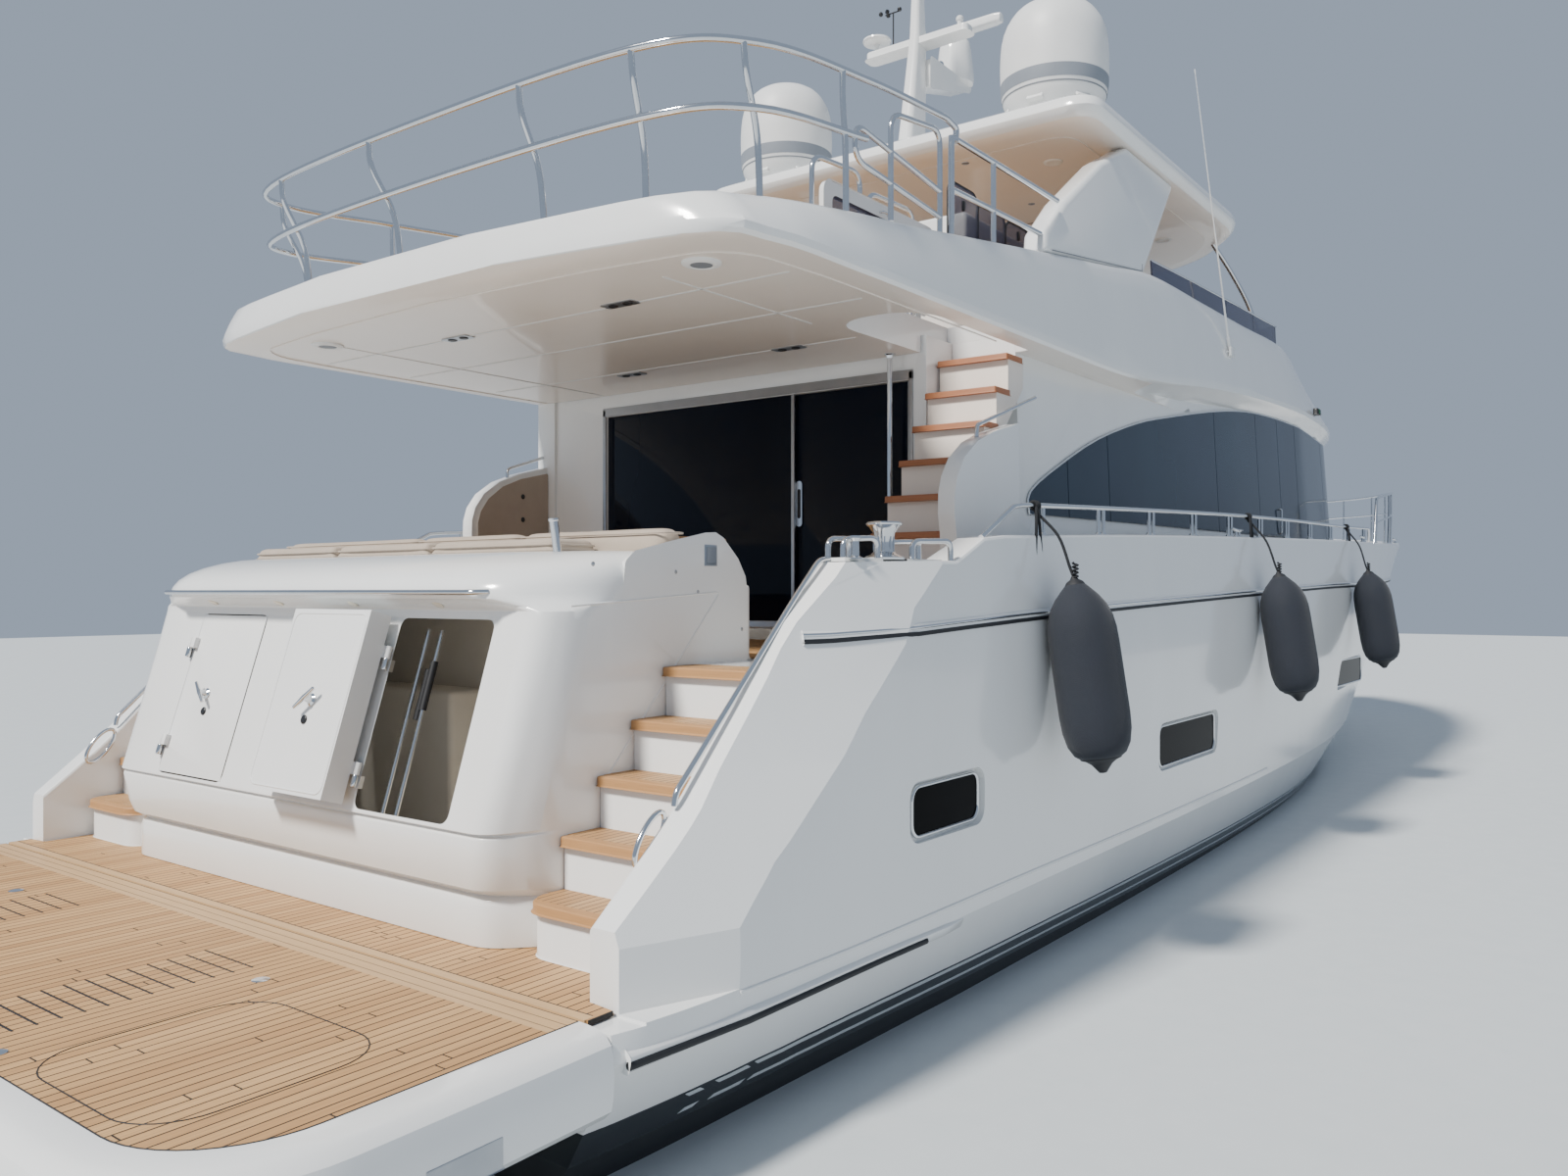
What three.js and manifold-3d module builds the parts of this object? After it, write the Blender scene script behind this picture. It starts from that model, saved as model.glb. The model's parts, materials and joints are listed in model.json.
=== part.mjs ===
// A 24 m flybridge motor yacht, built of named pieces. Millimetres, +X to the bow, +Y to port, +Z up.
// The origin is on the centreline at the waterline.
import * as THREE from 'three';
import { mergeVertices } from 'three/addons/utils/BufferGeometryUtils.js';
import Module from 'manifold-3d';

const wasm = await Module();
wasm.setup();

// Driving sizes
const GAP = 0.4;
const PLATFORM_TOP = 720;
const SOLE = 1930;
const HOUSE_TOP = 4100;
const CEILING = 3950;
const FLY_SOLE = 4220;
const HARDTOP_TOP = 6430;
const BULKHEAD_X = -5355;
const STAIR_TOP_X = -4980;
const STAIR_NOTCH_Z = 3300;
const STAIR_IN_Y = 1800;
const STAIR_OUT_Y = 2440;
const RISER = 242;

// Materials
function material(color, roughness, metalness = 0) {
  return new THREE.MeshStandardMaterial({ color, roughness, metalness });
}
const gelcoat = material(0xf1f2f1, 0.25);
const teak = material(0xb98a55, 0.6);
const steel = material(0xd4d7da, 0.18, 1);
const darkGlass = material(0x1b222b, 0.08);
const cushion = material(0xd6cdbf, 0.8);
const navyCloth = material(0x151a2e, 0.9);
const bronze = material(0xa9793f, 0.35, 1);
const greyPlastic = material(0x8d9196, 0.5);

const yacht = new THREE.Group();

function add(name, geometry, look) {
  const mesh = new THREE.Mesh(geometry, look);
  mesh.name = name;
  yacht.add(mesh);
  return mesh;
}

// Solids: geometry to manifold and back
function solid(geometry) {
  const bare = new THREE.BufferGeometry();
  bare.setAttribute('position', geometry.getAttribute('position').clone());
  if (geometry.index) bare.setIndex(geometry.index.clone());
  const merged = mergeVertices(bare, 1e-4);
  const mesh = new wasm.Mesh({
    numProp: 3,
    vertProperties: new Float32Array(merged.getAttribute('position').array),
    triVerts: new Uint32Array(merged.index.array),
  });
  return new wasm.Manifold(mesh);
}

function geometryOf(manifold) {
  const mesh = manifold.getMesh();
  const geometry = new THREE.BufferGeometry();
  geometry.setAttribute('position', new THREE.BufferAttribute(new Float32Array(mesh.vertProperties), 3));
  geometry.setIndex(new THREE.BufferAttribute(new Uint32Array(mesh.triVerts), 1));
  geometry.computeVertexNormals();
  return geometry;
}

function join(first, ...others) {
  return others.reduce((sum, other) => sum.add(other), first);
}

// A loft through rings of equal point count; each ring is a list of [x, y, z]. Its ends are flat
// caps, seen along x unless the two other axes are given
function loft(ringList, across = [1, 2]) {
  const flat = (ring) => ring.map((p) => new THREE.Vector2(p[across[0]], p[across[1]]));
  const clockwise = THREE.ShapeUtils.area(flat(ringList[0])) < 0;
  const rings = clockwise ? ringList.map((ring) => ring.slice().reverse()) : ringList;
  const count = rings[0].length;
  const points = rings.flat();
  const index = [];
  for (let ring = 0; ring < rings.length - 1; ring += 1) {
    for (let i = 0; i < count; i += 1) {
      const next = (i + 1) % count;
      const a = ring * count + i;
      const b = ring * count + next;
      index.push(a, b, a + count, b, b + count, a + count);
    }
  }
  const lastRing = rings.length - 1;
  for (const [a, b, c] of THREE.ShapeUtils.triangulateShape(flat(rings[0]), [])) {
    index.push(c, b, a);
  }
  for (const [a, b, c] of THREE.ShapeUtils.triangulateShape(flat(rings[lastRing]), [])) {
    index.push(lastRing * count + a, lastRing * count + b, lastRing * count + c);
  }
  const geometry = new THREE.BufferGeometry();
  geometry.setAttribute('position', new THREE.Float32BufferAttribute(points.flat(), 3));
  geometry.setIndex(index);
  return outward(solid(geometry));
}

// The loft's rings may turn either way, so an inside-out solid is turned over
function outward(manifold) {
  if (manifold.volume() >= 0) return manifold;
  const mesh = manifold.getMesh();
  const turned = new Uint32Array(mesh.triVerts);
  for (let i = 0; i < turned.length; i += 3) {
    [turned[i], turned[i + 1]] = [turned[i + 1], turned[i]];
  }
  return new wasm.Manifold(new wasm.Mesh({
    numProp: 3, vertProperties: mesh.vertProperties, triVerts: turned,
  }));
}

// A mirrored ring from the starboard half's points, given as [y, z] from keel to top
function mirroredRing(x, half) {
  const port = half.map(([y, z]) => [x, y, z]);
  const starboard = half.filter(([y]) => y !== 0).map(([y, z]) => [x, -y, z]).reverse();
  return [...port, ...starboard];
}

function shapeOf(points) {
  return new THREE.Shape(points.map(([a, b]) => new THREE.Vector2(a, b)));
}

// Prisms: a side outline in x and z, or a plan outline in x and y
function sidePrism(points, yFrom, yTo) {
  const geometry = new THREE.ExtrudeGeometry(shapeOf(points), { depth: yTo - yFrom, bevelEnabled: false });
  geometry.rotateX(Math.PI / 2);
  geometry.translate(0, yTo, 0);
  return solid(geometry);
}

function planPrism(points, zFrom, zTo) {
  const geometry = new THREE.ExtrudeGeometry(shapeOf(points), { depth: zTo - zFrom, bevelEnabled: false });
  geometry.translate(0, 0, zFrom);
  return solid(geometry);
}

function box(xFrom, xTo, yFrom, yTo, zFrom, zTo) {
  const geometry = new THREE.BoxGeometry(xTo - xFrom, yTo - yFrom, zTo - zFrom);
  geometry.translate((xFrom + xTo) / 2, (yFrom + yTo) / 2, (zFrom + zTo) / 2);
  return solid(geometry);
}

// A round bar along a path of [x, y, z] points, its corners rounded unless straight
function bar(points, radius, { steps = 8, sides = 8, closed = false, straight = false } = {}) {
  const vectors = points.map((p) => new THREE.Vector3(...p));
  let path = new THREE.CatmullRomCurve3(vectors, closed, 'centripetal');
  if (straight) path = new THREE.LineCurve3(vectors[0], vectors[vectors.length - 1]);
  const circle = [];
  for (let i = 0; i < sides; i += 1) {
    const turn = (2 * Math.PI * i) / sides;
    circle.push([radius * Math.cos(turn), radius * Math.sin(turn)]);
  }
  const geometry = new THREE.ExtrudeGeometry(shapeOf(circle), {
    steps: straight ? 1 : steps, extrudePath: path, bevelEnabled: false,
  });
  return outward(solid(geometry));
}

function post(x, y, zFrom, zTo, radius, sides = 8) {
  const geometry = new THREE.CylinderGeometry(radius, radius, zTo - zFrom, sides);
  geometry.rotateX(Math.PI / 2);
  geometry.translate(x, y, (zFrom + zTo) / 2);
  return solid(geometry);
}

// A turned solid about the vertical, from [radius, z] points that start and end on the axis
function turned(profile, x, y, segments = 20) {
  const geometry = new THREE.LatheGeometry(profile.map(([r, z]) => new THREE.Vector2(r, z)), segments);
  geometry.rotateX(Math.PI / 2);
  geometry.translate(x, y, 0);
  return outward(solid(geometry));
}

function lerpTable(table, x, column) {
  if (x <= table[0][0]) return table[0][column];
  for (let i = 1; i < table.length; i += 1) {
    if (x <= table[i][0]) {
      const t = (x - table[i - 1][0]) / (table[i][0] - table[i - 1][0]);
      return table[i - 1][column] + t * (table[i][column] - table[i - 1][column]);
    }
  }
  return table[table.length - 1][column];
}

// A table resampled along its first column by a smooth curve through its rows
function smoothTable(table, perSpan) {
  const rows = [];
  for (let i = 0; i < table.length - 1; i += 1) {
    const [before, from, to, after] = [table[Math.max(i - 1, 0)], table[i], table[i + 1],
      table[Math.min(i + 2, table.length - 1)]];
    for (let step = 0; step < perSpan; step += 1) {
      const t = step / perSpan;
      rows.push(from.map((value, column) => {
        const span = to[0] - from[0];
        const slopeFrom = ((to[column] - before[column]) / (to[0] - before[0] || 1)) * span;
        const slopeTo = ((after[column] - from[column]) / (after[0] - from[0] || 1)) * span;
        return value * (2 * t ** 3 - 3 * t ** 2 + 1) + slopeFrom * (t ** 3 - 2 * t ** 2 + t)
          + to[column] * (3 * t ** 2 - 2 * t ** 3) + slopeTo * (t ** 3 - t ** 2);
      }));
    }
  }
  rows.push(table[table.length - 1]);
  return rows;
}

// Hull stations: x, keel z, chine y, chine z, strake y, topside y, bulwark y, bulwark z
const hullStations = [
  [-9530, -760, 2380, -60, 2740, 2690, 2640, 900],
  [-9380, -765, 2390, -65, 2765, 2725, 2680, 1010],
  [-8900, -790, 2410, -85, 2795, 2790, 2740, 1410],
  [-7830, -830, 2440, -110, 2800, 2800, 2770, 2445],
  [-7010, -860, 2460, -130, 2815, 2815, 2775, 2467],
  [-6700, -870, 2470, -137, 2818, 2821, 2778, 2600],
  [-6450, -880, 2475, -140, 2820, 2825, 2780, 2622],
  [-4000, -940, 2500, -140, 2830, 2860, 2800, 2720],
  [-1000, -980, 2490, -110, 2800, 2880, 2830, 2810],
  [2000, -990, 2380, -10, 2680, 2860, 2840, 2890],
  [4500, -940, 2100, 150, 2400, 2740, 2800, 2945],
  [6500, -830, 1700, 330, 2020, 2510, 2680, 3000],
  [8300, -600, 1210, 530, 1520, 2110, 2430, 3070],
  [9800, -200, 760, 760, 1010, 1610, 2060, 3150],
  [10900, 330, 440, 1010, 610, 1130, 1630, 3220],
  [11700, 960, 220, 1400, 330, 720, 1170, 3280],
  [12300, 1680, 90, 1960, 150, 380, 680, 3330],
  [12720, 2480, 30, 2640, 50, 130, 260, 3360],
];
const STRAKE_Z = 590;
const hullRows = [...hullStations.slice(0, 6), ...smoothTable(hullStations.slice(6), 2)];

function hullRing([x, keelZ, chineY, chineZ, strakeY, topsideY, bulwarkY, bulwarkZ]) {
  const strakeZ = Math.max(STRAKE_Z, chineZ + (bulwarkZ - chineZ) * 0.12);
  const topsideZ = strakeZ + (bulwarkZ - strakeZ) * 0.62;
  return mirroredRing(x, [
    [0, keelZ], [chineY, chineZ], [chineY + 25, chineZ + 40], [strakeY, strakeZ],
    [(strakeY + topsideY) / 2 + 8, (strakeZ + topsideZ) / 2], [topsideY, topsideZ], [bulwarkY, bulwarkZ],
  ]);
}

// Each quarter is planed inwards aft of a slanting crease. Rows: z, crease x, slope inwards going aft
const quarterFacet = [
  [705, -8880, 0.37], [950, -8880, 0.37], [1560, -8125, 0.33], [2045, -7546, 0.31], [2470, -7030, 0.25],
  [3200, -6150, 0.2],
];
const CREASE_Y = 2800;
const FACET_AFT = 1200;
const FACET_AHEAD = 600;

function quarterCutter(side) {
  return loft(quarterFacet.map(([z, x, slope]) => [
    [x + FACET_AHEAD, side * (CREASE_Y + FACET_AHEAD * slope), z],
    [x - FACET_AFT, side * (CREASE_Y - FACET_AFT * slope), z],
    [x - FACET_AFT, side * 3600, z],
    [x + FACET_AHEAD, side * 3600, z],
  ]), [0, 1]);
}

// The quarter wings end here, ahead of the transom's ledge
const WING_AFT = -9380;

// Deck well stations: x, half width, floor z
const deckWell = [
  [-8000, 2440, SOLE],
  [-6450, 2620, SOLE],
  [-5300, 2660, SOLE],
  [2000, 2720, SOLE + 60],
  [4400, 2645, SOLE + 80],
];
const foredeckWell = [
  [4000, 2700, 2780],
  [6500, 2550, 2860],
  [8500, 2210, 2930],
  [10000, 1770, 2990],
  [11200, 1230, 3050],
  [12050, 640, 3090],
];

function wellSolid(table, top = 5000) {
  return loft(table.map(([x, y, z]) => [[x, -y, z], [x, y, z], [x, y, top], [x, -y, top]]));
}

// Stern capstans stand on round pads on the quarters
const CAPSTAN_X = -7450;
const CAPSTAN_Y = 2590;
const PAD_RADIUS = 110;
const CAPSTAN_Z = 2462;

// Hull side windows: aft x, fore x, low z, high z
const hullWindows = [
  [-7530, -6830, 1080, 1330],
  [-4060, -2730, 1020, 1315],
  [2300, 3900, 1180, 1480],
];
const WINDOW_DEPTH = 35;

// Above this level the hull is split into the deck and the two bulwarks round it
const DECK_SPLIT_Z = 1870;
const BOW_SPLIT_X = 12050;

function hullWithWells() {
  let hull = loft(hullRows.map(hullRing));
  hull = hull.subtract(box(-9700, -7990, -STAIR_OUT_Y, STAIR_OUT_Y, PLATFORM_TOP - 20, 5000));
  hull = hull.subtract(box(-9700, WING_AFT, -3000, 3000, PLATFORM_TOP - 20, 5000));
  hull = hull.subtract(quarterCutter(-1)).subtract(quarterCutter(1));
  hull = hull.subtract(wellSolid(deckWell));
  hull = hull.subtract(wellSolid(foredeckWell));
  const houseSeat = houseLoft(-3, HOUSE_FOOT - GAP, BROW_TOP);
  hull = hull.subtract(houseSeat.intersect(box(3900, 7453, -3000, 3000, 0, 5000)));
  for (const [aft, fore, low, high] of hullWindows) {
    for (const side of [-1, 1]) {
      const face = side * (lerpTable(hullStations, (aft + fore) / 2, 4) - WINDOW_DEPTH);
      const from = Math.min(face, side * 4000);
      const to = Math.max(face, side * 4000);
      hull = hull.subtract(box(aft, fore, from, to, low, high));
    }
  }
  return hull;
}

// The deck's plan: the wells' footprints down to the split, and all of the bow ahead of them
function deckFootprint(room) {
  const plan = (table) => loft(table.map(([x, y]) => {
    const half = y + room;
    return [[x, -half, DECK_SPLIT_Z], [x, half, DECK_SPLIT_Z], [x, half, 5000], [x, -half, 5000]];
  }));
  const bow = box(BOW_SPLIT_X - 2 - room, 13000, -2000, 2000, DECK_SPLIT_Z, 5000);
  return join(plan(deckWell), plan(foredeckWell).trimByPlane([1, 0, 0], foredeckWell[0][0] + 5), bow);
}

function makeHull() {
  const whole = hullWithWells();
  const upper = whole.trimByPlane([0, 0, 1], DECK_SPLIT_Z + GAP);
  let hull = whole.trimByPlane([0, 0, -1], -DECK_SPLIT_Z);
  for (const side of [-1, 1]) {
    hull = hull.subtract(shaftBar(side, SHAFT_RADIUS + GAP, PROP_X + 600, SHAFT_END_X + 50));
    hull = hull.subtract(shaftStrut(side, GAP));
    hull = hull.subtract(post(RUDDER_X, side * SHAFT_Y, -900, STOCK_TOP + 2, STOCK_RADIUS + 2 * GAP, 24));
  }
  add('hull', geometryOf(hull), gelcoat);
  add('deck', geometryOf(upper.intersect(deckFootprint(-1))), gelcoat);
  const walls = upper.subtract(deckFootprint(-1 + GAP));
  for (const [name, side] of [['bulwark_starboard', -1], ['bulwark_port', 1]]) {
    const wall = walls.trimByPlane([0, side, 0], 100);
    add(name, geometryOf(wall.add(post(CAPSTAN_X, side * CAPSTAN_Y, 2400, CAPSTAN_Z, PAD_RADIUS, 16))), gelcoat);
  }
  return whole;
}

// Swim platform: plan outline with rounded aft corners
const PLATFORM_AFT = -11200;
const PLATFORM_FORE = -9545;
const PLATFORM_Y = 2755;
const PLATFORM_UNDER = 380;

function roundedPlan(aft, fore, halfWidth, radius, arcSteps = 5) {
  const points = [[fore, -halfWidth], [fore, halfWidth]];
  for (let i = 0; i <= arcSteps; i += 1) {
    const turn = (Math.PI / 2) * (i / arcSteps);
    points.push([aft + radius - radius * Math.sin(turn), halfWidth - radius + radius * Math.cos(turn)]);
  }
  for (let i = arcSteps; i >= 0; i -= 1) {
    const turn = (Math.PI / 2) * (i / arcSteps);
    points.push([aft + radius - radius * Math.sin(turn), -halfWidth + radius - radius * Math.cos(turn)]);
  }
  return points;
}

function makePlatform() {
  const slab = planPrism(roundedPlan(PLATFORM_AFT, PLATFORM_FORE, PLATFORM_Y, 620),
    PLATFORM_UNDER, PLATFORM_TOP);
  const armY = 900;
  const arms = [-armY, armY].map((y) => sidePrism(
    [[PLATFORM_FORE - 900, PLATFORM_UNDER + 5], [-9530.5, 150], [-9530.5, -120],
      [PLATFORM_FORE - 400, -120], [PLATFORM_FORE - 1100, PLATFORM_UNDER + 5]], y - 70, y + 70));
  add('swim_platform', geometryOf(join(slab, ...arms)), teak);
}

// Stern moulding: the transom block between the stairs, with coaming, sofa base and crew space
const TRANSOM_TOP = 2425;
const CREW_SPACE_X = -8150;
const TRANSOM_FLAT_Y = 1725;

function makeSternMoulding() {
  const y = STAIR_IN_Y - GAP;
  const profile = [
    [-9020, PLATFORM_TOP + GAP], [-7990 - GAP, PLATFORM_TOP + GAP], [-7990 - GAP, 2340], [-8190, 2340],
    [-8420, TRANSOM_TOP], [-8790, TRANSOM_TOP], [-8905, 2345], [-8990, 2180], [FACE_FOOT_X, FACE_FOOT_Z],
    [FACE_FOOT_X + 15, FACE_FOOT_Z - 35],
  ];
  let block = sidePrism(profile, -y, y);
  const sofaBase = box(-7990 - 2 * GAP, -7480, -y, y, SOLE + GAP, 2340);
  block = block.add(sofaBase);
  for (const side of [-1, 1]) {
    const corner = [
      [-9400, side * 1300], [-9280, side * TRANSOM_FLAT_Y], [-8800, side * 1790], [-8800, side * 2000],
      [-9400, side * 2000],
    ];
    block = block.subtract(planPrism(side > 0 ? corner : corner.reverse(), 500, 2600));
  }
  block = block.subtract(box(-8880, CREW_SPACE_X, -1510, 1360, 900, 2240));
  for (const [, yFrom, yTo] of crewDoors) {
    block = block.subtract(onTransom(box(-60, 420, yFrom, yTo, CREW_DOOR_LOW, CREW_DOOR_HIGH)));
  }
  for (const [, , yTo] of crewDoors) {
    block = join(block, ...hingeLugs(yTo + HINGE_SIDE));
  }
  add('stern_moulding', geometryOf(block), gelcoat);
}

// The transom's raked face: x from its plane into the boat, z up along it from its foot
const FACE_FOOT_X = -9280;
const FACE_FOOT_Z = 1240;
const FACE_RAKE = (Math.atan2(290, 940) * 180) / Math.PI;
const onTransom = (manifold) => manifold.rotate([0, FACE_RAKE, 0]).translate([FACE_FOOT_X, 0, FACE_FOOT_Z]);

// Crew doors in the transom: name, starboard y, port y, turn at rest; heights are along the face
const CREW_DOOR_LOW = 25;
const CREW_DOOR_HIGH = 975;
const crewDoors = [
  ['crew_door_starboard', -1440, -730, -180],
  ['crew_door_port', 500, 1200, 0],
];
const DOOR_THICK = 120;
const DOOR_TAPER = 30;
const DOOR_PLAY = 8;

// Each leaf has two round hinge eyes ahead of the face, and the moulding a lug under each eye
const HINGE_OUT = 22;
const HINGE_SIDE = 8;
const HINGE_RADIUS = 15;
const HINGE_HEIGHTS = [180, 760];
const HINGE_LENGTH = 60;
const STRAP_HALF = 8;

function hingeLugs(hingeY) {
  return HINGE_HEIGHTS.map((z) => onTransom(
    post(-HINGE_OUT, hingeY, z - HINGE_LENGTH, z - GAP, HINGE_RADIUS, 16).add(
      box(-HINGE_OUT, 30, hingeY, hingeY + HINGE_RADIUS, z - HINGE_LENGTH, z - GAP))));
}

// A leaf about its own hinge line at x 0, y 0, as it lies closed
function crewLeaf(width) {
  const edge = -DOOR_PLAY - HINGE_SIDE;
  const [face, back] = [HINGE_OUT, HINGE_OUT + DOOR_THICK];
  const plan = [[face, edge], [back, edge], [back, edge - width + DOOR_TAPER], [face, edge - width]];
  const leaf = planPrism(plan, CREW_DOOR_LOW + DOOR_PLAY, CREW_DOOR_HIGH - DOOR_PLAY);
  const eyes = HINGE_HEIGHTS.map((z) => join(
    post(0, 0, z, z + HINGE_LENGTH, HINGE_RADIUS, 16),
    box(-STRAP_HALF, STRAP_HALF, 3 * edge, 0, z, z + HINGE_LENGTH),
    box(0, HINGE_OUT + 1, 3 * edge, edge - 2, z, z + HINGE_LENGTH)));
  return join(leaf, ...eyes);
}

// The starboard leaf stands open, turned half round its hinge line; the port leaf is closed
function makeCrewDoors() {
  for (const [name, yFrom, yTo, turn] of crewDoors) {
    const leaf = crewLeaf(yTo - yFrom - 2 * DOOR_PLAY).rotate([0, 0, turn]);
    add(name, geometryOf(onTransom(leaf.translate([-HINGE_OUT, yTo + HINGE_SIDE, 0]))), gelcoat);
  }
}

// Stern stairs: one stepped solid each side, treads from a loop
const STAIR_FOOT_X = -9130;
const STAIR_GOING = 225;
const STAIR_COUNT = 5;

function makeSternStairs() {
  for (const [name, side] of [['stern_stair_starboard', -1], ['stern_stair_port', 1]]) {
    const outline = [[-7990 - GAP, PLATFORM_TOP + GAP], [STAIR_FOOT_X, PLATFORM_TOP + GAP]];
    for (let step = 0; step < STAIR_COUNT; step += 1) {
      const x = STAIR_FOOT_X + step * STAIR_GOING;
      const z = PLATFORM_TOP + (step + 1) * RISER;
      outline.push([x, z]);
      if (step < STAIR_COUNT - 1) outline.push([x + STAIR_GOING, z]);
    }
    outline.push([-7990 - GAP, PLATFORM_TOP + STAIR_COUNT * RISER]);
    const inner = STAIR_IN_Y + GAP;
    const outer = STAIR_OUT_Y - GAP;
    const stair = side < 0 ? sidePrism(outline, -outer, -inner) : sidePrism(outline, inner, outer);
    add(name, geometryOf(stair), gelcoat);
  }
}

// Deckhouse: shell with arched side windows, windscreen and aft opening
// Columns: x, half width at the foot, half width at the top
const houseStations = [
  [-5355, 2210, 2110],
  [-3000, 2250, 2130],
  [0, 2290, 2150],
  [3000, 2290, 2130],
  [5000, 2170, 1980],
  [6500, 1840, 1600],
  [7500, 1380, 1120],
];
const HOUSE_FOOT = SOLE + 85;
const WALL = 90;
const BROW_TOP = 4600;
const houseProfile = [
  [BULKHEAD_X, HOUSE_FOOT], [7450, HOUSE_FOOT], [7450, 3480], [5750, BROW_TOP - GAP],
  [2900, BROW_TOP - GAP], [2650, HOUSE_TOP - GAP], [BULKHEAD_X, HOUSE_TOP - GAP],
];

// A slab along the windscreen's slope: from and to are shares of its length, then depths from its face
function alongWindscreen(from, to, depthLow, depthHigh) {
  const [foot, brow] = [houseProfile[2], houseProfile[3]];
  const length = Math.hypot(foot[0] - brow[0], foot[1] - brow[1]);
  const normal = [(brow[1] - foot[1]) / length, (foot[0] - brow[0]) / length];
  const at = (share, depth) => [
    brow[0] + share * (foot[0] - brow[0]) + depth * normal[0],
    brow[1] + share * (foot[1] - brow[1]) + depth * normal[1],
  ];
  const corners = [at(from, depthLow), at(to, depthLow), at(to, depthHigh), at(from, depthHigh)];
  return sidePrism(corners, -2500, 2500);
}

// The house wall's half width at x and z
function houseWall(x, z) {
  const foot = lerpTable(houseStations, x, 1);
  const top = lerpTable(houseStations, x, 2);
  return foot + (top - foot) * ((z - HOUSE_FOOT) / (BROW_TOP - HOUSE_FOOT));
}

function houseLoft(inset, zFrom, zTo) {
  return loft(houseStations.map(([x]) => {
    const [low, high] = [houseWall(x, zFrom) - inset, houseWall(x, zTo) - inset];
    return [[x, -low, zFrom], [x, low, zFrom], [x, high, zTo], [x, -high, zTo]];
  }));
}

// The side window arch in x and z
const sideArch = [
  [-4760, 2860], [-4730, 3020], [-4210, 3260], [-3460, 3520], [-1800, 3880], [-1200, 3940], [3300, 3940],
  [3600, 4300], [5300, 4290], [6300, 3560], [6300, 2990],
];

// The fairings and webs beside the bulkhead end just under the flybridge
const WEB_TOP = 3980 - GAP;
const FAIRING_IN = 2215;
const FAIRING_OUT = 2330;

// Over the starboard fairing the stair's side is open as far forward as here
const STAIR_SIDE_X = -4920;

function makeDeckhouse() {
  const outer = houseLoft(0, HOUSE_FOOT, BROW_TOP + 10).intersect(sidePrism(houseProfile, -3000, 3000));
  const innerProfile = [
    [BULKHEAD_X + WALL, HOUSE_FOOT + 60], [7200, HOUSE_FOOT + 60], [7200, 3440], [5680, BROW_TOP - 110],
    [2950, BROW_TOP - 110], [2740, CEILING], [BULKHEAD_X + WALL, CEILING],
  ];
  const inner = houseLoft(WALL, HOUSE_FOOT, BROW_TOP + 10).intersect(sidePrism(innerProfile, -3000, 3000))
    .subtract(box(BULKHEAD_X, STAIR_TOP_X + 60, -2400, -1580, STAIR_NOTCH_Z - 60, 4200));
  let house = outer.subtract(inner);
  house = house.subtract(sidePrism(sideArch, -3000, 3000));
  house = house.subtract(box(BULKHEAD_X - 50, BULKHEAD_X + WALL + 20, -1500, 1500, HOUSE_FOOT + 61, 3800));
  house = house.subtract(alongWindscreen(0.07, 0.93, -160, 200).intersect(houseLoft(150, 2000, 5000)));
  house = house.subtract(box(BULKHEAD_X - 20, STAIR_TOP_X, -2235, -1640, STAIR_NOTCH_Z, 4200));
  const fairing = [
    [-6180, HOUSE_FOOT], [BULKHEAD_X + 40, HOUSE_FOOT], [BULKHEAD_X + 40, 3427], [-5700, 3328],
    [-5920, 3245], [-6090, 3130], [-6180, 3010], [-6215, 2900], [-6220, 2780], [-6195, 2660],
  ];
  const wings = sidePrism(fairing, FAIRING_IN, FAIRING_OUT).add(
    sidePrism(fairing, -FAIRING_OUT, -FAIRING_IN));
  const portWeb = box(BULKHEAD_X - 30, BULKHEAD_X + 40, 2120, FAIRING_OUT, HOUSE_FOOT, WEB_TOP);
  const starboardWeb = box(BULKHEAD_X - 30, BULKHEAD_X + 40, -FAIRING_OUT, -2240, HOUSE_FOOT, WEB_TOP);
  const stairWeb = box(BULKHEAD_X, BULKHEAD_X + 40, -FAIRING_OUT, -2120, HOUSE_FOOT, STAIR_NOTCH_Z - 5);
  const stairOpening = [[-5460, 3390], [STAIR_SIDE_X, 3530], [STAIR_SIDE_X, 4300], [-5460, 4300]];
  house = join(house, wings, portWeb, starboardWeb, stairWeb).subtract(
    sidePrism(stairOpening, -3000, -2236));
  add('deckhouse', geometryOf(house), gelcoat);
}

// Glass panels lie just outside the arch, 14 thick, following the wall's rake
const GLASS = 14;
const glassOutline = [
  [-4870, 2850], [-4840, 3010], [-4330, 3240], [-3590, 3510], [-2700, 3740], [-1940, 3880], [-710, 4080],
  [300, 4210], [1130, 4280], [2200, 4325], [3420, 4340], [4700, 4325], [5690, 4285], [6450, 3890],
  [7190, 3490], [7150, 3150], [6900, 2990],
];

function makeHouseGlass() {
  const skin = houseLoft(-GLASS - GAP, HOUSE_FOOT, BROW_TOP + 10).subtract(
    houseLoft(-GAP, HOUSE_FOOT - 10, BROW_TOP + 20));
  for (const [name, from, to] of [['side_glass_starboard', -3000, -500], ['side_glass_port', 500, 3000]]) {
    add(name, geometryOf(skin.intersect(sidePrism(glassOutline, from, to))), darkGlass);
  }
}

function makeWindscreen() {
  const slab = alongWindscreen(0.03, 0.96, GAP, GAP + GLASS);
  add('windscreen', geometryOf(slab.intersect(houseLoft(60, 2000, 5000))), darkGlass);
}

function makeAftGlass() {
  const [low, high] = [HOUSE_FOOT + 62, 3800 - GAP];
  const pane = box(BULKHEAD_X + 20, BULKHEAD_X + 34, -470, 1500 - GAP, low, high);
  const door = box(BULKHEAD_X + 48, BULKHEAD_X + 68, -1490, -440, low, high);
  add('aft_glass', geometryOf(pane), darkGlass);
  add('saloon_door', geometryOf(door), darkGlass);
}

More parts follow.
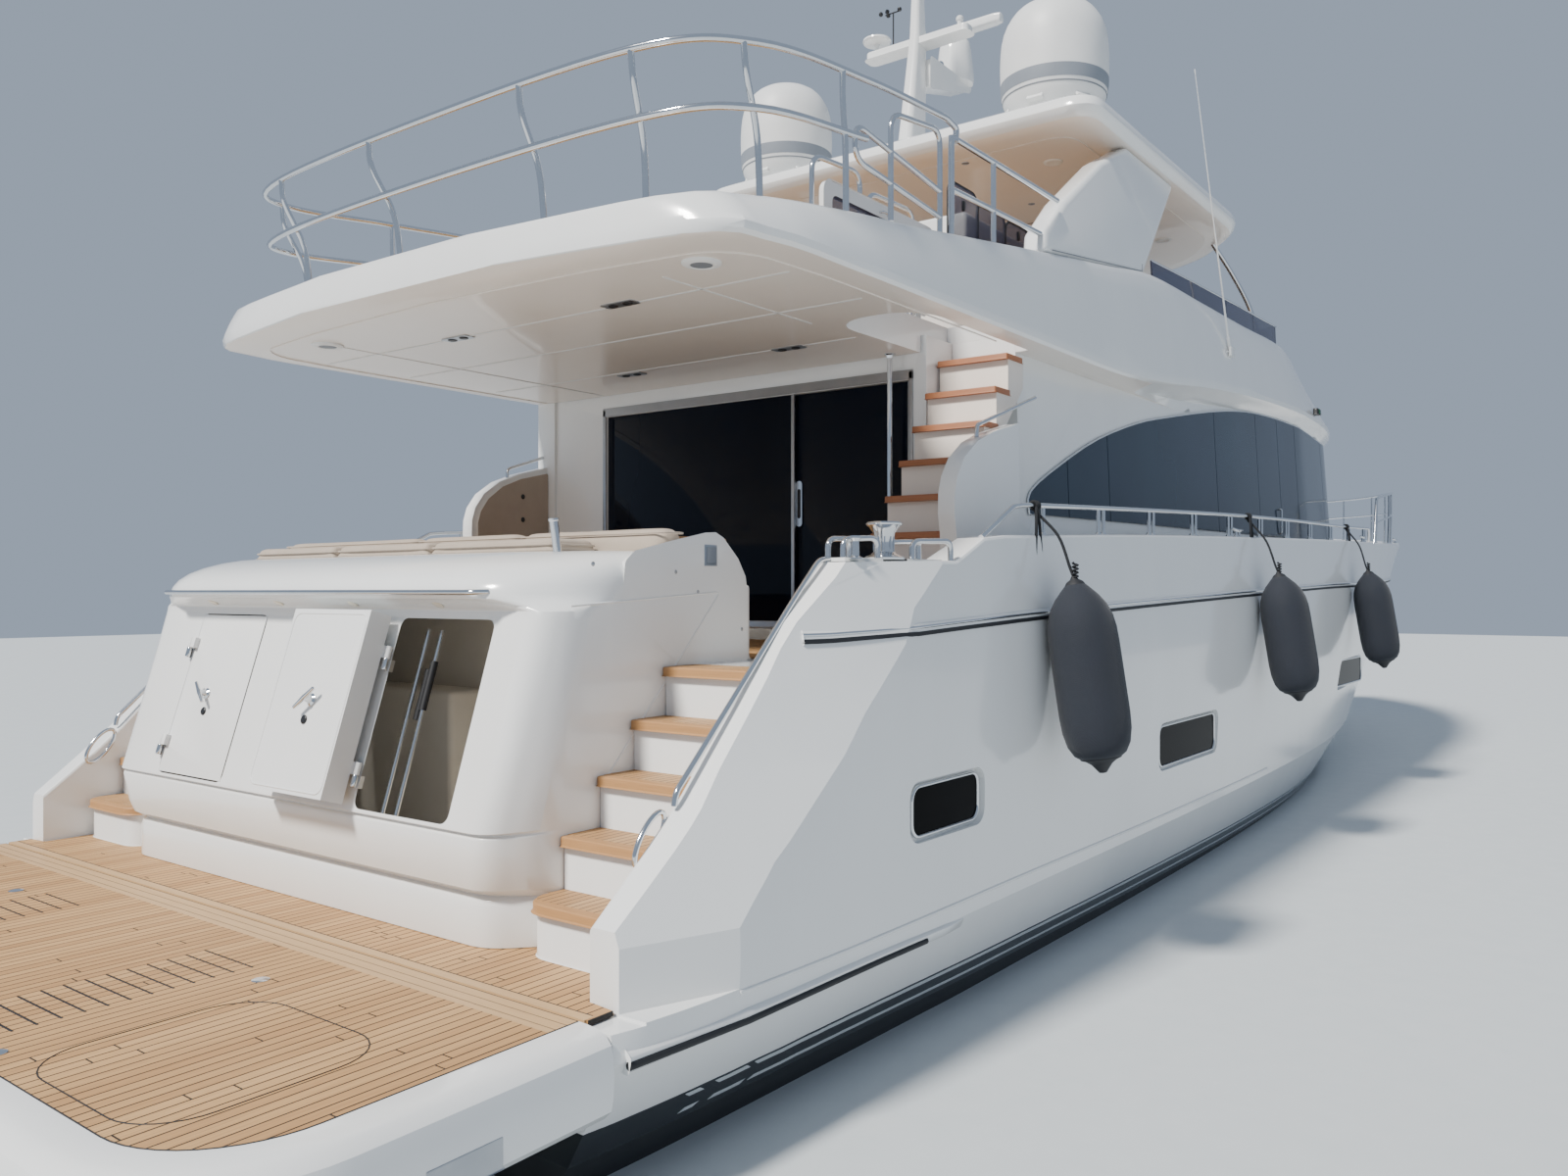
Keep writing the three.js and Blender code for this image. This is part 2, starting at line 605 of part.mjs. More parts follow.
// Flybridge moulding: overhang, coaming and well.
// Columns: x, foot z, hip y, hip z, brow y, brow z, knee y, knee z, top y, top z. Ahead of the
// bulkhead's overhang the hip y is 0 and the side stands flush on the house wall up to the hip
const flyStations = [
  [-8560, 4000, 885, 4002, 900, 4005, 915, 4060, 720, 4195],
  [-8400, 3985, 2020, 3988, 2060, 3992, 2090, 4050, 1910, 4205],
  [-8100, 3980, 2280, 3985, 2320, 3990, 2350, 4045, 2180, 4240],
  [-7400, 3980, 2330, 3985, 2370, 3990, 2395, 4045, 2255, 4340],
  [-6450, 3980, 2330, 3985, 2375, 3990, 2400, 4045, 2275, 4460],
  [-4800, 3980, 2330, 3985, 2380, 3990, 2405, 4045, 2285, 4700],
  [-3600, 3980, 2320, 3988, 2375, 4000, 2400, 4055, 2280, 4870],
  [-2600, 3980, 2230, 4010, 2365, 4060, 2397, 4120, 2265, 5020],
  [-1200, 3990, 0, 4110, 2335, 4200, 2378, 4270, 2245, 5070],
  [400, 4060, 0, 4240, 2300, 4320, 2355, 4392, 2220, 5120],
  [2000, 4090, 0, 4330, 2270, 4400, 2325, 4465, 2180, 5190],
  [2900, 4090, 0, 4350, 2240, 4425, 2295, 4490, 2090, 5150],
  [4300, 4090, 0, 4350, 2150, 4430, 2200, 4500, 1880, 4990],
  [5400, 4090, 0, 4330, 1980, 4430, 2010, 4490, 1570, 4800],
  [6000, 4330, 0, 4345, 1790, 4420, 1815, 4450, 1290, 4650],
];
const TOP_Y = 8;
const TOP_Z = 9;
const COAMING = 130;
const WELL_FRONT_X = 2130;
const WARP_ROOM = 5;

function flyLoft() {
  return loft(flyStations.map(([x, footZ, hipY, hipZ, browY, browZ, kneeY, kneeZ, topY, topZ]) => {
    const side = (z) => (hipY || houseWall(x, z) - WARP_ROOM);
    return mirroredRing(x, [
      [0, footZ], [side(footZ) - 40 * Math.sign(hipY), footZ], [side(hipZ), hipZ], [browY, browZ],
      [kneeY, kneeZ], [topY, topZ], [0, topZ],
    ]);
  }));
}

function makeFlybridge() {
  let fly = flyLoft();
  const bottom = [
    [BULKHEAD_X - 10, 3900], [BULKHEAD_X - 10, HOUSE_TOP], [2640, HOUSE_TOP], [2890, BROW_TOP],
    [6200, BROW_TOP], [6200, 3900],
  ];
  fly = fly.subtract(sidePrism(bottom, -3000, 3000).intersect(houseLoft(-GAP, HOUSE_FOOT, BROW_TOP + 10)));
  const well = loft(flyStations.slice(1, 12).map((row) => {
    const [x, y] = [row[0], row[TOP_Y] - COAMING];
    const shiftedX = x < -8000 ? x + 120 : Math.min(x, WELL_FRONT_X);
    return [[shiftedX, -y, FLY_SOLE], [shiftedX, y, FLY_SOLE], [shiftedX, y, 6000], [shiftedX, -y, 6000]];
  }));
  fly = fly.subtract(well);
  fly = fly.subtract(box(-6500, STAIR_TOP_X, -2240, -1600, 3900, 4400));
  const sill = box(-6460, -5000, LID_HINGE_Y - 15, LID_HINGE_Y + 60, FLY_SOLE - 5, LID_HINGE_Z - 40);
  const lugs = LID_HINGES.map((x) => lidEye(x - 60, x - GAP));
  fly = join(fly, sill, ...lugs);
  add('flybridge_moulding', geometryOf(fly), gelcoat);
  return fly;
}

// The stair hatch lid stands open; its hinge line runs fore and aft along a sill beside the stairwell
const LID_HINGE_Y = -1500;
const LID_HINGE_Z = FLY_SOLE + 80;
const LID_HINGES = [-6200, -5200];
const LID_REACH = 630;
const LID_HALF = 22;

// A round hinge eye from x to x, with a foot down to the sill's level
function lidEye(xFrom, xTo, zFoot = LID_HINGE_Z - 45) {
  const round = new THREE.CylinderGeometry(14, 14, xTo - xFrom, 16);
  round.rotateZ(Math.PI / 2);
  round.translate((xFrom + xTo) / 2, LID_HINGE_Y, LID_HINGE_Z);
  const foot = box(xFrom, xTo, LID_HINGE_Y - 8, LID_HINGE_Y + 8, Math.min(zFoot, LID_HINGE_Z),
    Math.max(zFoot, LID_HINGE_Z));
  return solid(round).add(foot);
}

function makeHatchLid() {
  const lid = box(-6440, -5020, LID_HINGE_Y - LID_HALF, LID_HINGE_Y + LID_HALF, LID_HINGE_Z + 30,
    LID_HINGE_Z + LID_REACH);
  const eyes = LID_HINGES.map((x) => lidEye(x, x + 60, LID_HINGE_Z + 35));
  add('stair_hatch_lid', geometryOf(join(lid, ...eyes)), gelcoat);
}

// Flybridge stair: treads carried by two stringers. Each tread steps 180 forward and 247 up
const FLY_TREADS = 8;
const FLY_TREAD_RISE = 250;
const FLY_TREAD_GOING = 176;

function makeFlyStair() {
  const firstX = -6470;
  const firstZ = SOLE + FLY_TREAD_RISE;
  const solids = [];
  for (let i = 0; i < FLY_TREADS; i += 1) {
    const x = firstX + i * FLY_TREAD_GOING;
    const z = firstZ + i * FLY_TREAD_RISE;
    solids.push(box(x, x + 230, -2200, -1660, z - 45, z));
  }
  const slope = [
    [firstX + 60, SOLE + GAP], [firstX + 260, SOLE + GAP],
    [firstX + 60 + 7.8 * FLY_TREAD_GOING, firstZ + 6.95 * FLY_TREAD_RISE],
    [firstX - 140 + 7.8 * FLY_TREAD_GOING, firstZ + 6.95 * FLY_TREAD_RISE],
  ];
  solids.push(sidePrism(slope, -2210, -2180));
  solids.push(sidePrism(slope, -1690, -1650));
  add('flybridge_stair', geometryOf(join(...solids)), gelcoat);
}

// Hardtop, its raked wings and front struts
const HARDTOP_Y = 2080;

// Hardtop layers: inset from the outline, z below the top
const hardtopLayers = [[150, 230], [30, 190], [0, 130], [20, 60], [160, 0]];

function hardtopOutline(inset) {
  const outline = roundedPlan(-3420 + inset, 1500, HARDTOP_Y - inset, 260, 3);
  outline.splice(0, 2, [1500 - inset / 2, -1500 + inset / 2], [1900 - inset, -900], [2000 - inset, 0],
    [1900 - inset, 900], [1500 - inset / 2, 1500 - inset / 2], [700, HARDTOP_Y - inset]);
  outline.push([700, -HARDTOP_Y + inset]);
  return outline;
}

const WING_LEAN = 0.18;
const HARDTOP_WING_IN = 75;

function makeHardtop() {
  const slab = loft(hardtopLayers.map(([inset, depth]) => hardtopOutline(inset).map(
    ([x, y]) => [x, y, HARDTOP_TOP - depth])), [0, 1]);
  const struts = [-1, 1].map((side) => bar(
    [[1500, side * 2070, 5182], [900, side * 1700, HARDTOP_TOP - 150]], 28, { straight: true }));
  add('hardtop', geometryOf(join(slab, ...struts)), gelcoat);
  const wing = [
    [-4790, 4712], [-2640, 5022], [-1330, 6120], [-1250, HARDTOP_TOP - 230 - GAP],
    [-2480, HARDTOP_TOP - 230 - GAP], [-3250, 5830], [-4230, 5230], [-4700, 4880],
  ];
  for (const [name, side] of [['hardtop_wing_starboard', -1], ['hardtop_wing_port', 1]]) {
    const face = (offset) => wing.map(([x, z]) => [x, side * (2165 + offset - (z - 4712) * WING_LEAN), z]);
    add(name, geometryOf(loft([face(-HARDTOP_WING_IN), face(115)], [0, 2])), gelcoat);
  }
}

// Domes, mast and radar
const RADAR_X = -1900;
const MAST_TOP = 8350;

function makeTopGear() {
  const dome = [
    [0, GAP], [330, GAP], [420, 140], [468, 330], [470, 600], [440, 800], [350, 950], [190, 1040], [0, 1070],
  ].map(([radius, height]) => [radius, HARDTOP_TOP + height]);
  add('dome_starboard', geometryOf(turned(dome, -2800, -1470)), gelcoat);
  add('dome_port', geometryOf(turned(dome, -2800, 1470)), gelcoat);
  const column = sidePrism([[-2950, HARDTOP_TOP + GAP], [-2600, HARDTOP_TOP + GAP], [-2560, 7660],
    [-2600, MAST_TOP], [-2700, MAST_TOP], [-2740, 7660]], -85, 85);
  const cross = box(-2720, -2560, -560, 560, 7560, 7640);
  const bracket = sidePrism([[-2590, 7180], [-1780, 7400], [-1780, 7450], [-2590, 7460]], -120, 120);
  const gearbox = turned([[0, 7440], [190, 7440], [150, 7900], [60, 7900], [60, 7940], [0, 7940]],
    RADAR_X, 0, 12);
  add('mast', geometryOf(join(column, cross, bracket, gearbox)), gelcoat);
  const scanner = box(RADAR_X - 60, RADAR_X + 60, -525, 525, 7940 + GAP, 8050);
  add('radar_scanner', geometryOf(scanner), gelcoat);
  for (const [name, side] of [['antenna_starboard', -1], ['antenna_port', 1]]) {
    const whip = bar([[-530, side * 2330, 4690], [-1500, side * 2290, 7160]], 14,
      { straight: true, sides: 6 });
    const [near, far] = side < 0 ? [-2345, -2260] : [2260, 2345];
    const bracket = box(-600, -480, near, far, 4640, 4720);
    add(name, geometryOf(join(whip, bracket).subtract(flySolid.translate([0, side * GAP, 0]))), gelcoat);
  }
}

// Rails: stainless bars on posts
function railSolid(top, mid, feet, radius) {
  const bars = [bar(top, radius, { steps: 3 * top.length })];
  if (mid) bars.push(bar(mid, radius * 0.8, { steps: 2 * mid.length, sides: 6 }));
  for (const [x, y, zFrom, zTo] of feet) bars.push(post(x, y, zFrom, zTo, radius * 0.9, 6));
  return join(...bars);
}

const bulwarkTop = (x, reach) => lerpTable(hullRows, x + reach, 7);

function makeRails() {
  const railZ = (x) => lerpTable([[-8400, 5000], [-7000, 5170], [-5900, 5270], [-4900, 5240]], x, 1);
  const topPath = [];
  const midPath = [];
  const corner = [[-4900, 2218], [-5900, 2212], [-7000, 2198], [-7900, 2130], [-8310, 1640]];
  const whole = [...corner, [-8400, 0], ...corner.slice().reverse().map(([x, y]) => [x, -y])];
  for (const [x, y] of whole) {
    topPath.push([x, y, railZ(x)]);
    midPath.push([x, y, railZ(x) - 330]);
  }
  const coamingTop = (x) => lerpTable(flyStations, x, TOP_Z);
  const feet = whole.map(([x, y]) => [x, y, coamingTop(x + 18) + GAP, railZ(x)]);
  add('flybridge_rail', geometryOf(railSolid(topPath, midPath, feet, 20)), steel);
  for (const [name, side] of [['side_rail_starboard', -1], ['side_rail_port', 1]]) {
    const points = sideRail.map(([x, y, z]) => [x, side * y, z]);
    const posts = sideRail.map(([x, y, z]) => [x, side * y, bulwarkTop(x, 15) + GAP, z]);
    add(name, geometryOf(railSolid(points, null, posts, 16)), steel);
  }
  const bowHalf = bowRail.map(([x, y, z]) => [x, -y, z]);
  const bowWhole = [...bowHalf, [12480, 0, 4060], ...bowRail.slice().reverse()];
  const bowMid = bowWhole.map(([x, y, z]) => [x, y, z - 330]);
  const bowFeet = bowWhole.map(([x, y, z]) => [x, y, bulwarkTop(x, 17) + GAP, z]);
  add('bow_rail', geometryOf(railSolid(bowWhole, bowMid, bowFeet, 18)), steel);
  add('cockpit_pole', geometryOf(post(-5450, -1400, SOLE + GAP, 3980 - GAP, 19)), steel);
}

// Side handrail on the bulwark, then the bow rail: x, y, z
const sideRail = [
  [-5900, 2730, 2830], [-4000, 2745, 2900], [-2000, 2765, 2970], [0, 2775, 3020], [2200, 2780, 3060],
  [4000, 2765, 3110],
];
const bowRail = [
  [4900, 2700, 3560], [6400, 2600, 3720], [8000, 2360, 3850], [9500, 2020, 3950], [10800, 1580, 4010],
  [11900, 900, 4050],
];

function makeDeckGear() {
  const trunk = loft([[7480, 1250, 3020], [7700, 1250, 3330], [9300, 1050, 3330], [10100, 820, 3120]].map(
    ([x, y, z]) => [[x, -y, 3060], [x, y, 3060], [x, y - 40, z + 60], [x, -y + 40, z + 60]]));
  add('foredeck_trunk', geometryOf(trunk), gelcoat);
  add('sunpad', geometryOf(box(7900, 9200, -900, 900, 3390 + GAP, 3480)), cushion);
  const windlass = join(box(11000, 11300, -160, 160, 3055, 3180), post(11150, 0, 3170, 3330, 90, 12));
  add('windlass', geometryOf(windlass), steel);
  const shank = sidePrism([[12560, 3335], [12930, 3345], [12930, 3430], [12560, 3410]], -35, 35);
  const fluke = loft([[12780, 30, 3200], [12960, 210, 3300], [13020, 40, 3420]].map(
    ([x, y, z]) => [[x, -y, z - 25], [x, y, z - 25], [x, y, z + 25], [x, -y, z + 25]]));
  const stock = box(12860, 12990, -40, 40, 3290, 3400);
  add('anchor', geometryOf(join(shank, stock, fluke).subtract(hullSolid.translate([GAP, 0, GAP]))), steel);
  for (const [name, side] of [['stern_capstan_starboard', -1], ['stern_capstan_port', 1]]) {
    add(name, geometryOf(turned([[0, CAPSTAN_Z + GAP], [100, CAPSTAN_Z + GAP], [100, 2500], [60, 2535],
      [55, 2600], [95, 2650], [0, 2660]], CAPSTAN_X, side * CAPSTAN_Y, 16)), steel);
  }
}

// Fenders: name, x, top z; each hangs on a lanyard from the side rail, its foot standing off the hull
const FENDER_RADIUS = 205;
const FENDER_LENGTH = 1100;
const FENDER_LEAN = 9;
const fenders = [
  ['fender_aft', -5950, 2330],
  ['fender_mid', -1500, 2420],
  ['fender_fore', 2600, 2500],
];

function makeFenders() {
  const radius = FENDER_RADIUS;
  for (const [name, x, top] of fenders) {
    const y = -(lerpTable(hullRows, x, 5) + radius - 52);
    const low = -FENDER_LENGTH;
    const profile = [[0, low], [radius * 0.6, low + 90], [radius, low + 240], [radius, -190],
      [radius * 0.55, -50], [45, 40], [0, 60]];
    const body = turned(profile, 0, 0, 16).rotate([-FENDER_LEAN, 0, 0]).translate([x, y, top]);
    const lanyard = bar([[x, y, top + 30], [x, y + radius * 0.55, 2860], [x, y + radius * 0.9, 2890]], 9,
      { steps: 6, sides: 6 });
    add(name, geometryOf(join(body, lanyard).subtract(hullSolid.translate([0, -GAP, 0]))), navyCloth);
  }
}

// Cockpit: sofa across the transom, and the table ahead of it
const SOFA_SEAT_Z = 2340;

function makeCockpitSeats() {
  add('sofa_seat', geometryOf(box(-7960, -7480, -1700, 1700, SOFA_SEAT_Z + GAP, 2420)), cushion);
  add('sofa_back', geometryOf(box(-8180, -7990, -1750, 1750, SOFA_SEAT_Z + GAP, 2640)), cushion);
  const table = join(box(-7150, -6350, -700, 700, 2620, 2660), post(-6750, 0, SOLE + GAP, 2630, 60, 12));
  add('cockpit_table', geometryOf(table), teak);
}

// Flybridge furniture: helm console and seat to starboard, sofa to port, bar aft
function makeFlyFurniture() {
  const foot = FLY_SOLE + GAP;
  const face = [[1300, foot], [2100, foot], [2100, 5150], [1650, 5150], [1450, 4950]];
  add('fly_console', geometryOf(sidePrism(face, -1500, -300)), gelcoat);
  const seat = join(box(300, 850, -1450, -350, foot, 4750), box(200, 320, -1450, -350, 4500, 5250));
  add('fly_helm_seat', geometryOf(seat), cushion);
  const sofa = join(box(-3900, -900, 1000, 1650, foot, 4650), box(-3900, -900, 1600, 1880, foot, 4900));
  add('fly_sofa', geometryOf(sofa), cushion);
  add('fly_bar', geometryOf(box(-4700, -3600, -1600, -1100, foot, 5150)), gelcoat);
}

// Saloon sofa to port and the lower helm ahead of it
function makeSaloonFurniture() {
  const foot = HOUSE_FOOT + 60 + GAP;
  const sofa = join(box(-4400, -1500, 1300, 1950, foot, 2500), box(-4400, -1500, 1800, 2000, 2400, 2800));
  add('saloon_sofa', geometryOf(sofa), cushion);
  const helm = sidePrism([[5400, foot], [6000, foot], [6000, 3250], [5500, 3150]], -1300, 100);
  add('helm_console', geometryOf(helm), greyPlastic);
}

// Low tinted screen standing on the flybridge coaming, open aft. Columns: x, y, top z
const flyScreen = [
  [-2400, 2196, 5195], [-1200, 2180, 5260], [400, 2160, 5340], [2000, 2106, 5434], [2100, 2100, 5440],
];

function makeFlyWindscreen() {
  const rows = flyScreen.map(([x, y, high]) => [x, y, lerpTable(flyStations, x, TOP_Z) + GAP, high]);
  const sides = [-1, 1].map((side) => loft(rows.map(([x, y, low, high]) => [
    [x, side * y, low], [x, side * (y + 14), low], [x, side * (y + 4), high], [x, side * (y - 10), high]])));
  const [x, y, low, high] = rows[rows.length - 1];
  const plan = [[-y, x], [-1500, x + 300], [0, x + 380], [1500, x + 300], [y, x]];
  const front = loft(plan.map(([across, ahead]) => [
    [ahead, across, low + 13], [ahead + 14, across, low + 13],
    [ahead - 26, across, high], [ahead - 40, across, high],
  ]), [0, 2]);
  add('fly_windscreen', geometryOf(join(front, ...sides)), darkGlass);
}

// Propellers, shafts, brackets and rudders
const SHAFT_Y = 1150;
const PROP_X = -7000;
const PROP_Z = -1180;
const SHAFT_SLOPE = 0.19;
const RUDDER_X = -7750;
const shaftZ = (x) => PROP_Z + (x - PROP_X) * SHAFT_SLOPE;

function propellerSolid() {
  const hub = new THREE.CylinderGeometry(70, 85, 260, 16);
  hub.rotateZ(Math.PI / 2);
  let prop = solid(hub);
  for (let blade = 0; blade < 4; blade += 1) {
    const plate = new THREE.CylinderGeometry(190, 190, 24, 14);
    plate.scale(1, 1, 1.15);
    plate.rotateZ(Math.PI / 2);
    plate.translate(0, 0, 225);
    plate.rotateZ(0.45);
    plate.rotateX((Math.PI / 2) * blade);
    prop = prop.add(solid(plate));
  }
  return prop;
}

function shaftBar(side, radius, fromX, toX) {
  return bar([[fromX, side * SHAFT_Y, shaftZ(fromX)], [toX, side * SHAFT_Y, shaftZ(toX)]], radius,
    { straight: true });
}

const SHAFT_RADIUS = 40;
const SHAFT_END_X = -3700;
const STOCK_RADIUS = 42;
const STOCK_TOP = -400;
const HUB_REACH = 130;

// The strut that carries the shaft, its head let into the hull; grow widens it for the hull's cut
function shaftStrut(side, grow) {
  const half = 25 + grow;
  const outline = [
    [-6800 - grow, shaftZ(-6800) - 20], [-6500 + grow, shaftZ(-6500)], [-6380 + grow, -440 + grow],
    [-6640 - grow, -440 + grow],
  ];
  return sidePrism(outline, side * SHAFT_Y - half, side * SHAFT_Y + half);
}

function makeUnderwater() {
  const slope = Math.atan(SHAFT_SLOPE);
  for (const [name, side] of [['starboard', -1], ['port', 1]]) {
    const prop = propellerSolid().rotate([0, (-slope * 180) / Math.PI, 0])
      .translate([PROP_X, side * SHAFT_Y, PROP_Z]);
    add('propeller_' + name, geometryOf(prop), bronze);
    const shaft = shaftBar(side, SHAFT_RADIUS, PROP_X + (HUB_REACH + GAP) * Math.cos(slope), SHAFT_END_X);
    add('shaft_' + name, geometryOf(join(shaft, shaftStrut(side, 0))), bronze);
    const blade = sidePrism([[-7950, -780], [-7500, -760], [-7560, -1500], [-7860, -1500]],
      side * SHAFT_Y - 40, side * SHAFT_Y + 40);
    const stock = post(RUDDER_X, side * SHAFT_Y, -800, STOCK_TOP, STOCK_RADIUS, 24);
    add('rudder_' + name, geometryOf(join(blade, stock)), bronze);
  }
}

const hullSolid = makeHull();
makePlatform();
makeSternMoulding();
makeCrewDoors();
makeSternStairs();
makeDeckhouse();
makeHouseGlass();
makeWindscreen();
makeAftGlass();
const flySolid = makeFlybridge();
makeFlyStair();
makeHardtop();
makeTopGear();
makeRails();
makeDeckGear();
makeFenders();
makeCockpitSeats();
makeHatchLid();
makeFlyFurniture();
makeFlyWindscreen();
makeSaloonFurniture();
makeUnderwater();

export default yacht;
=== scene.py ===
import bpy
import bmesh
import json
import math
from mathutils import Vector, Matrix

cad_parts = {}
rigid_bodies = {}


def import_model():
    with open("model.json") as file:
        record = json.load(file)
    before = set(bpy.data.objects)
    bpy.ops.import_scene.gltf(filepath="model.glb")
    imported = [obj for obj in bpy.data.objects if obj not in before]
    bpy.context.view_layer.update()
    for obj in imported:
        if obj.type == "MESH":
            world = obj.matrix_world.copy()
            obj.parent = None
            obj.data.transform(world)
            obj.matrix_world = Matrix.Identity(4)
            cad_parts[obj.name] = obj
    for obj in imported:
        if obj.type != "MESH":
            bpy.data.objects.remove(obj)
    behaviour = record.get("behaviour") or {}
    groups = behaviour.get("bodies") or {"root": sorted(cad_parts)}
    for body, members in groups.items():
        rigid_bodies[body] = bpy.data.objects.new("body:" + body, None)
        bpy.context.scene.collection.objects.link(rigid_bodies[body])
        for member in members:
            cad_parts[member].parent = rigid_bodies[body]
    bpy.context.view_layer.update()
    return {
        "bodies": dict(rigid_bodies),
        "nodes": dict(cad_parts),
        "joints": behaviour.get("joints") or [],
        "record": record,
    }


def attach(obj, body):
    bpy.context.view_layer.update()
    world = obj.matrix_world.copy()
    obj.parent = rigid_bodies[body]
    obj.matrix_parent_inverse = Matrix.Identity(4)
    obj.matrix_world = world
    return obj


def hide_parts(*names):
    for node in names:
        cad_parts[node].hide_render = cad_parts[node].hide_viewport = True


# A white flybridge motor yacht afloat, in metres: +X to the bow, +Y to port, waterline at Z 0
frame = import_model()
nodes = frame["nodes"]
scene = bpy.context.scene
bothSides = (("starboard", -1), ("port", 1))
print("stage: frame loaded,", len(nodes), "nodes")


# Shader maths: a socket that Python's operators work on
class Wire:
    def __init__(self, finish, socket):
        self.finish = finish
        self.socket = socket

    def step(self, operation, first, second=None):
        values = [v for v in (first, second) if v is not None]
        return self.finish.node("ShaderNodeMath", {"operation": operation}, values)

    def __add__(self, other):
        return self.step("ADD", self, other)

    def __radd__(self, other):
        return self.step("ADD", other, self)

    def __sub__(self, other):
        return self.step("SUBTRACT", self, other)

    def __rsub__(self, other):
        return self.step("SUBTRACT", other, self)

    def __mul__(self, other):
        return self.step("MULTIPLY", self, other)

    def __rmul__(self, other):
        return self.step("MULTIPLY", other, self)

    def __truediv__(self, other):
        return self.step("DIVIDE", self, other)

    def __gt__(self, other):
        return self.step("GREATER_THAN", self, other)

    def __lt__(self, other):
        return self.step("LESS_THAN", self, other)

    def floor(self):
        return self.step("FLOOR", self)

    def fract(self):
        return self.step("FRACT", self)

    def size(self):
        return self.step("ABSOLUTE", self)

    def sine(self):
        return self.step("SINE", self)

    def over(self, other):
        return self.step("MAXIMUM", self, other)


# One material: its shader, its place vector, and short ways to noise, colour mixes and bumps
class Finish:
    def __init__(self, name, color, roughness=0.4, metallic=0.0, **sockets):
        self.material = bpy.data.materials.new(name)
        self.material.use_nodes = True
        self.tree = self.material.node_tree
        self.shader = self.tree.nodes["Principled BSDF"]
        self.material.diffuse_color = tint(color)
        self.shader.inputs["Base Color"].default_value = tint(color)
        self.shader.inputs["Roughness"].default_value = roughness
        self.shader.inputs["Metallic"].default_value = metallic
        for key, value in sockets.items():
            self.shader.inputs[key.replace("_", " ")].default_value = value
        self.coords = self.node("ShaderNodeTexCoord", output="Object")
        self.parts = self.node("ShaderNodeSeparateXYZ", values=[self.coords])
        self.lastBump = None

    def node(self, kind, settings=None, values=(), output=0):
        made = self.tree.nodes.new(kind)
        for key, value in (settings or {}).items():
            if key == "stops":
                while len(made.color_ramp.elements) < len(value):
                    made.color_ramp.elements.new(0.5)
                for element, (at, color) in zip(made.color_ramp.elements, value):
                    element.position = at
                    element.color = tint(color)
            else:
                setattr(made, key, value)
        pairs = values.items() if isinstance(values, dict) else enumerate(values)
        for key, value in pairs:
            if isinstance(value, Wire):
                self.tree.links.new(value.socket, made.inputs[key])
            else:
                made.inputs[key].default_value = value
        return Wire(self, made.outputs[output])

    def axis(self, index):
        return Wire(self, self.parts.socket.node.outputs[index])

    def noise(self, scale, detail=3.0, stretch=(1, 1, 1), roughness=0.5):
        place = self.node("ShaderNodeMapping", {}, {"Vector": self.coords, "Scale": stretch})
        return self.node("ShaderNodeTexNoise", {},
                         {"Vector": place, "Scale": scale, "Detail": detail, "Roughness": roughness})

    def mix(self, factor, first, second):
        first = tint(first) if isinstance(first, str) else first
        second = tint(second) if isinstance(second, str) else second
        return self.node("ShaderNodeMix", {"data_type": "RGBA"}, {0: factor, 6: first, 7: second}, output=2)

    def bump(self, height, strength, distance):
        values = {"Height": height, "Strength": strength, "Distance": distance}
        if self.lastBump is not None:
            values["Normal"] = self.lastBump
        self.lastBump = self.node("ShaderNodeBump", {}, values)
        return self.feed("Normal", self.lastBump)

    def feed(self, socket, wire):
        self.tree.links.new(wire.socket, self.shader.inputs[socket])
        return self


def tint(code):  # "#rrggbb" as the eye sees it, to linear colour
    parts = [int(code[i:i + 2], 16) / 255 for i in (1, 3, 5)]
    linear = [c / 12.92 if c <= 0.04045 else ((c + 0.055) / 1.055) ** 2.4 for c in parts]
    return (*linear, 1.0)


# Gelcoat: glossy, faintly uneven, a breath of grey grime
gelcoatLook = {"white": "#f0f1f0", "grime": "#dfe1e0", "roughness": 0.12, "peel": 0.012}


def gelcoatFinish(name, look, stripes=False):
    finish = Finish(name, look["white"], look["roughness"], Coat_Weight=0.35, Coat_Roughness=0.04)
    cloud = finish.noise(0.9, 4.0)
    streak = finish.noise(2.2, 3.0, (1, 1, 0.12))
    color = finish.mix((cloud * streak) * 0.9, look["white"], look["grime"])
    rough = look["roughness"] + cloud * 0.08
    if stripes:
        x, z = finish.axis(0), finish.axis(2)
        level = z + (x + 6.65) * 0.0135
        aft = x + (level - 0.19).size() * 1.7
        black = level < bootLook["top"]
        pale = black * 0.0
        for low, high, end in bootLook["bands"]:
            run = aft > end
            for start, stop in ((0.26, 0.05), (0.44, 0.35)):
                run = run + (aft > end - start) * (aft < end - stop)
            pale = pale + (level > low) * (level < high) * run
        antifoul = level < bootLook["antifoul"]
        stain = finish.noise(5.0, 5.0, (1, 1, 2.5))
        blackColor = finish.mix(stain, bootLook["black"], bootLook["blackWorn"])
        color = finish.mix(black, color, blackColor)
        color = finish.mix(pale, color, bootLook["pale"])
        rough = rough + antifoul * 0.5
    finish.feed("Base Color", color)
    finish.feed("Roughness", rough)
    finish.bump(finish.noise(60, 2.0), look["peel"], 0.002)
    return finish.material


bootLook = {"top": 0.257, "antifoul": 0.11, "black": "#0d1014", "blackWorn": "#1a1e22", "pale": "#c9cfd2",
            "bands": [(0.221, 0.243, -8.47), (0.144, 0.163, -8.47)]}

# Teak: planks along X with dark caulk, each plank of its own tone, fine grain along it
teakLook = {"plank": 0.055, "caulk": 0.12, "light": "#cfa571", "dark": "#ae8353", "grain": "#8f6840",
            "seam": "#1d1813", "length": 2.1}


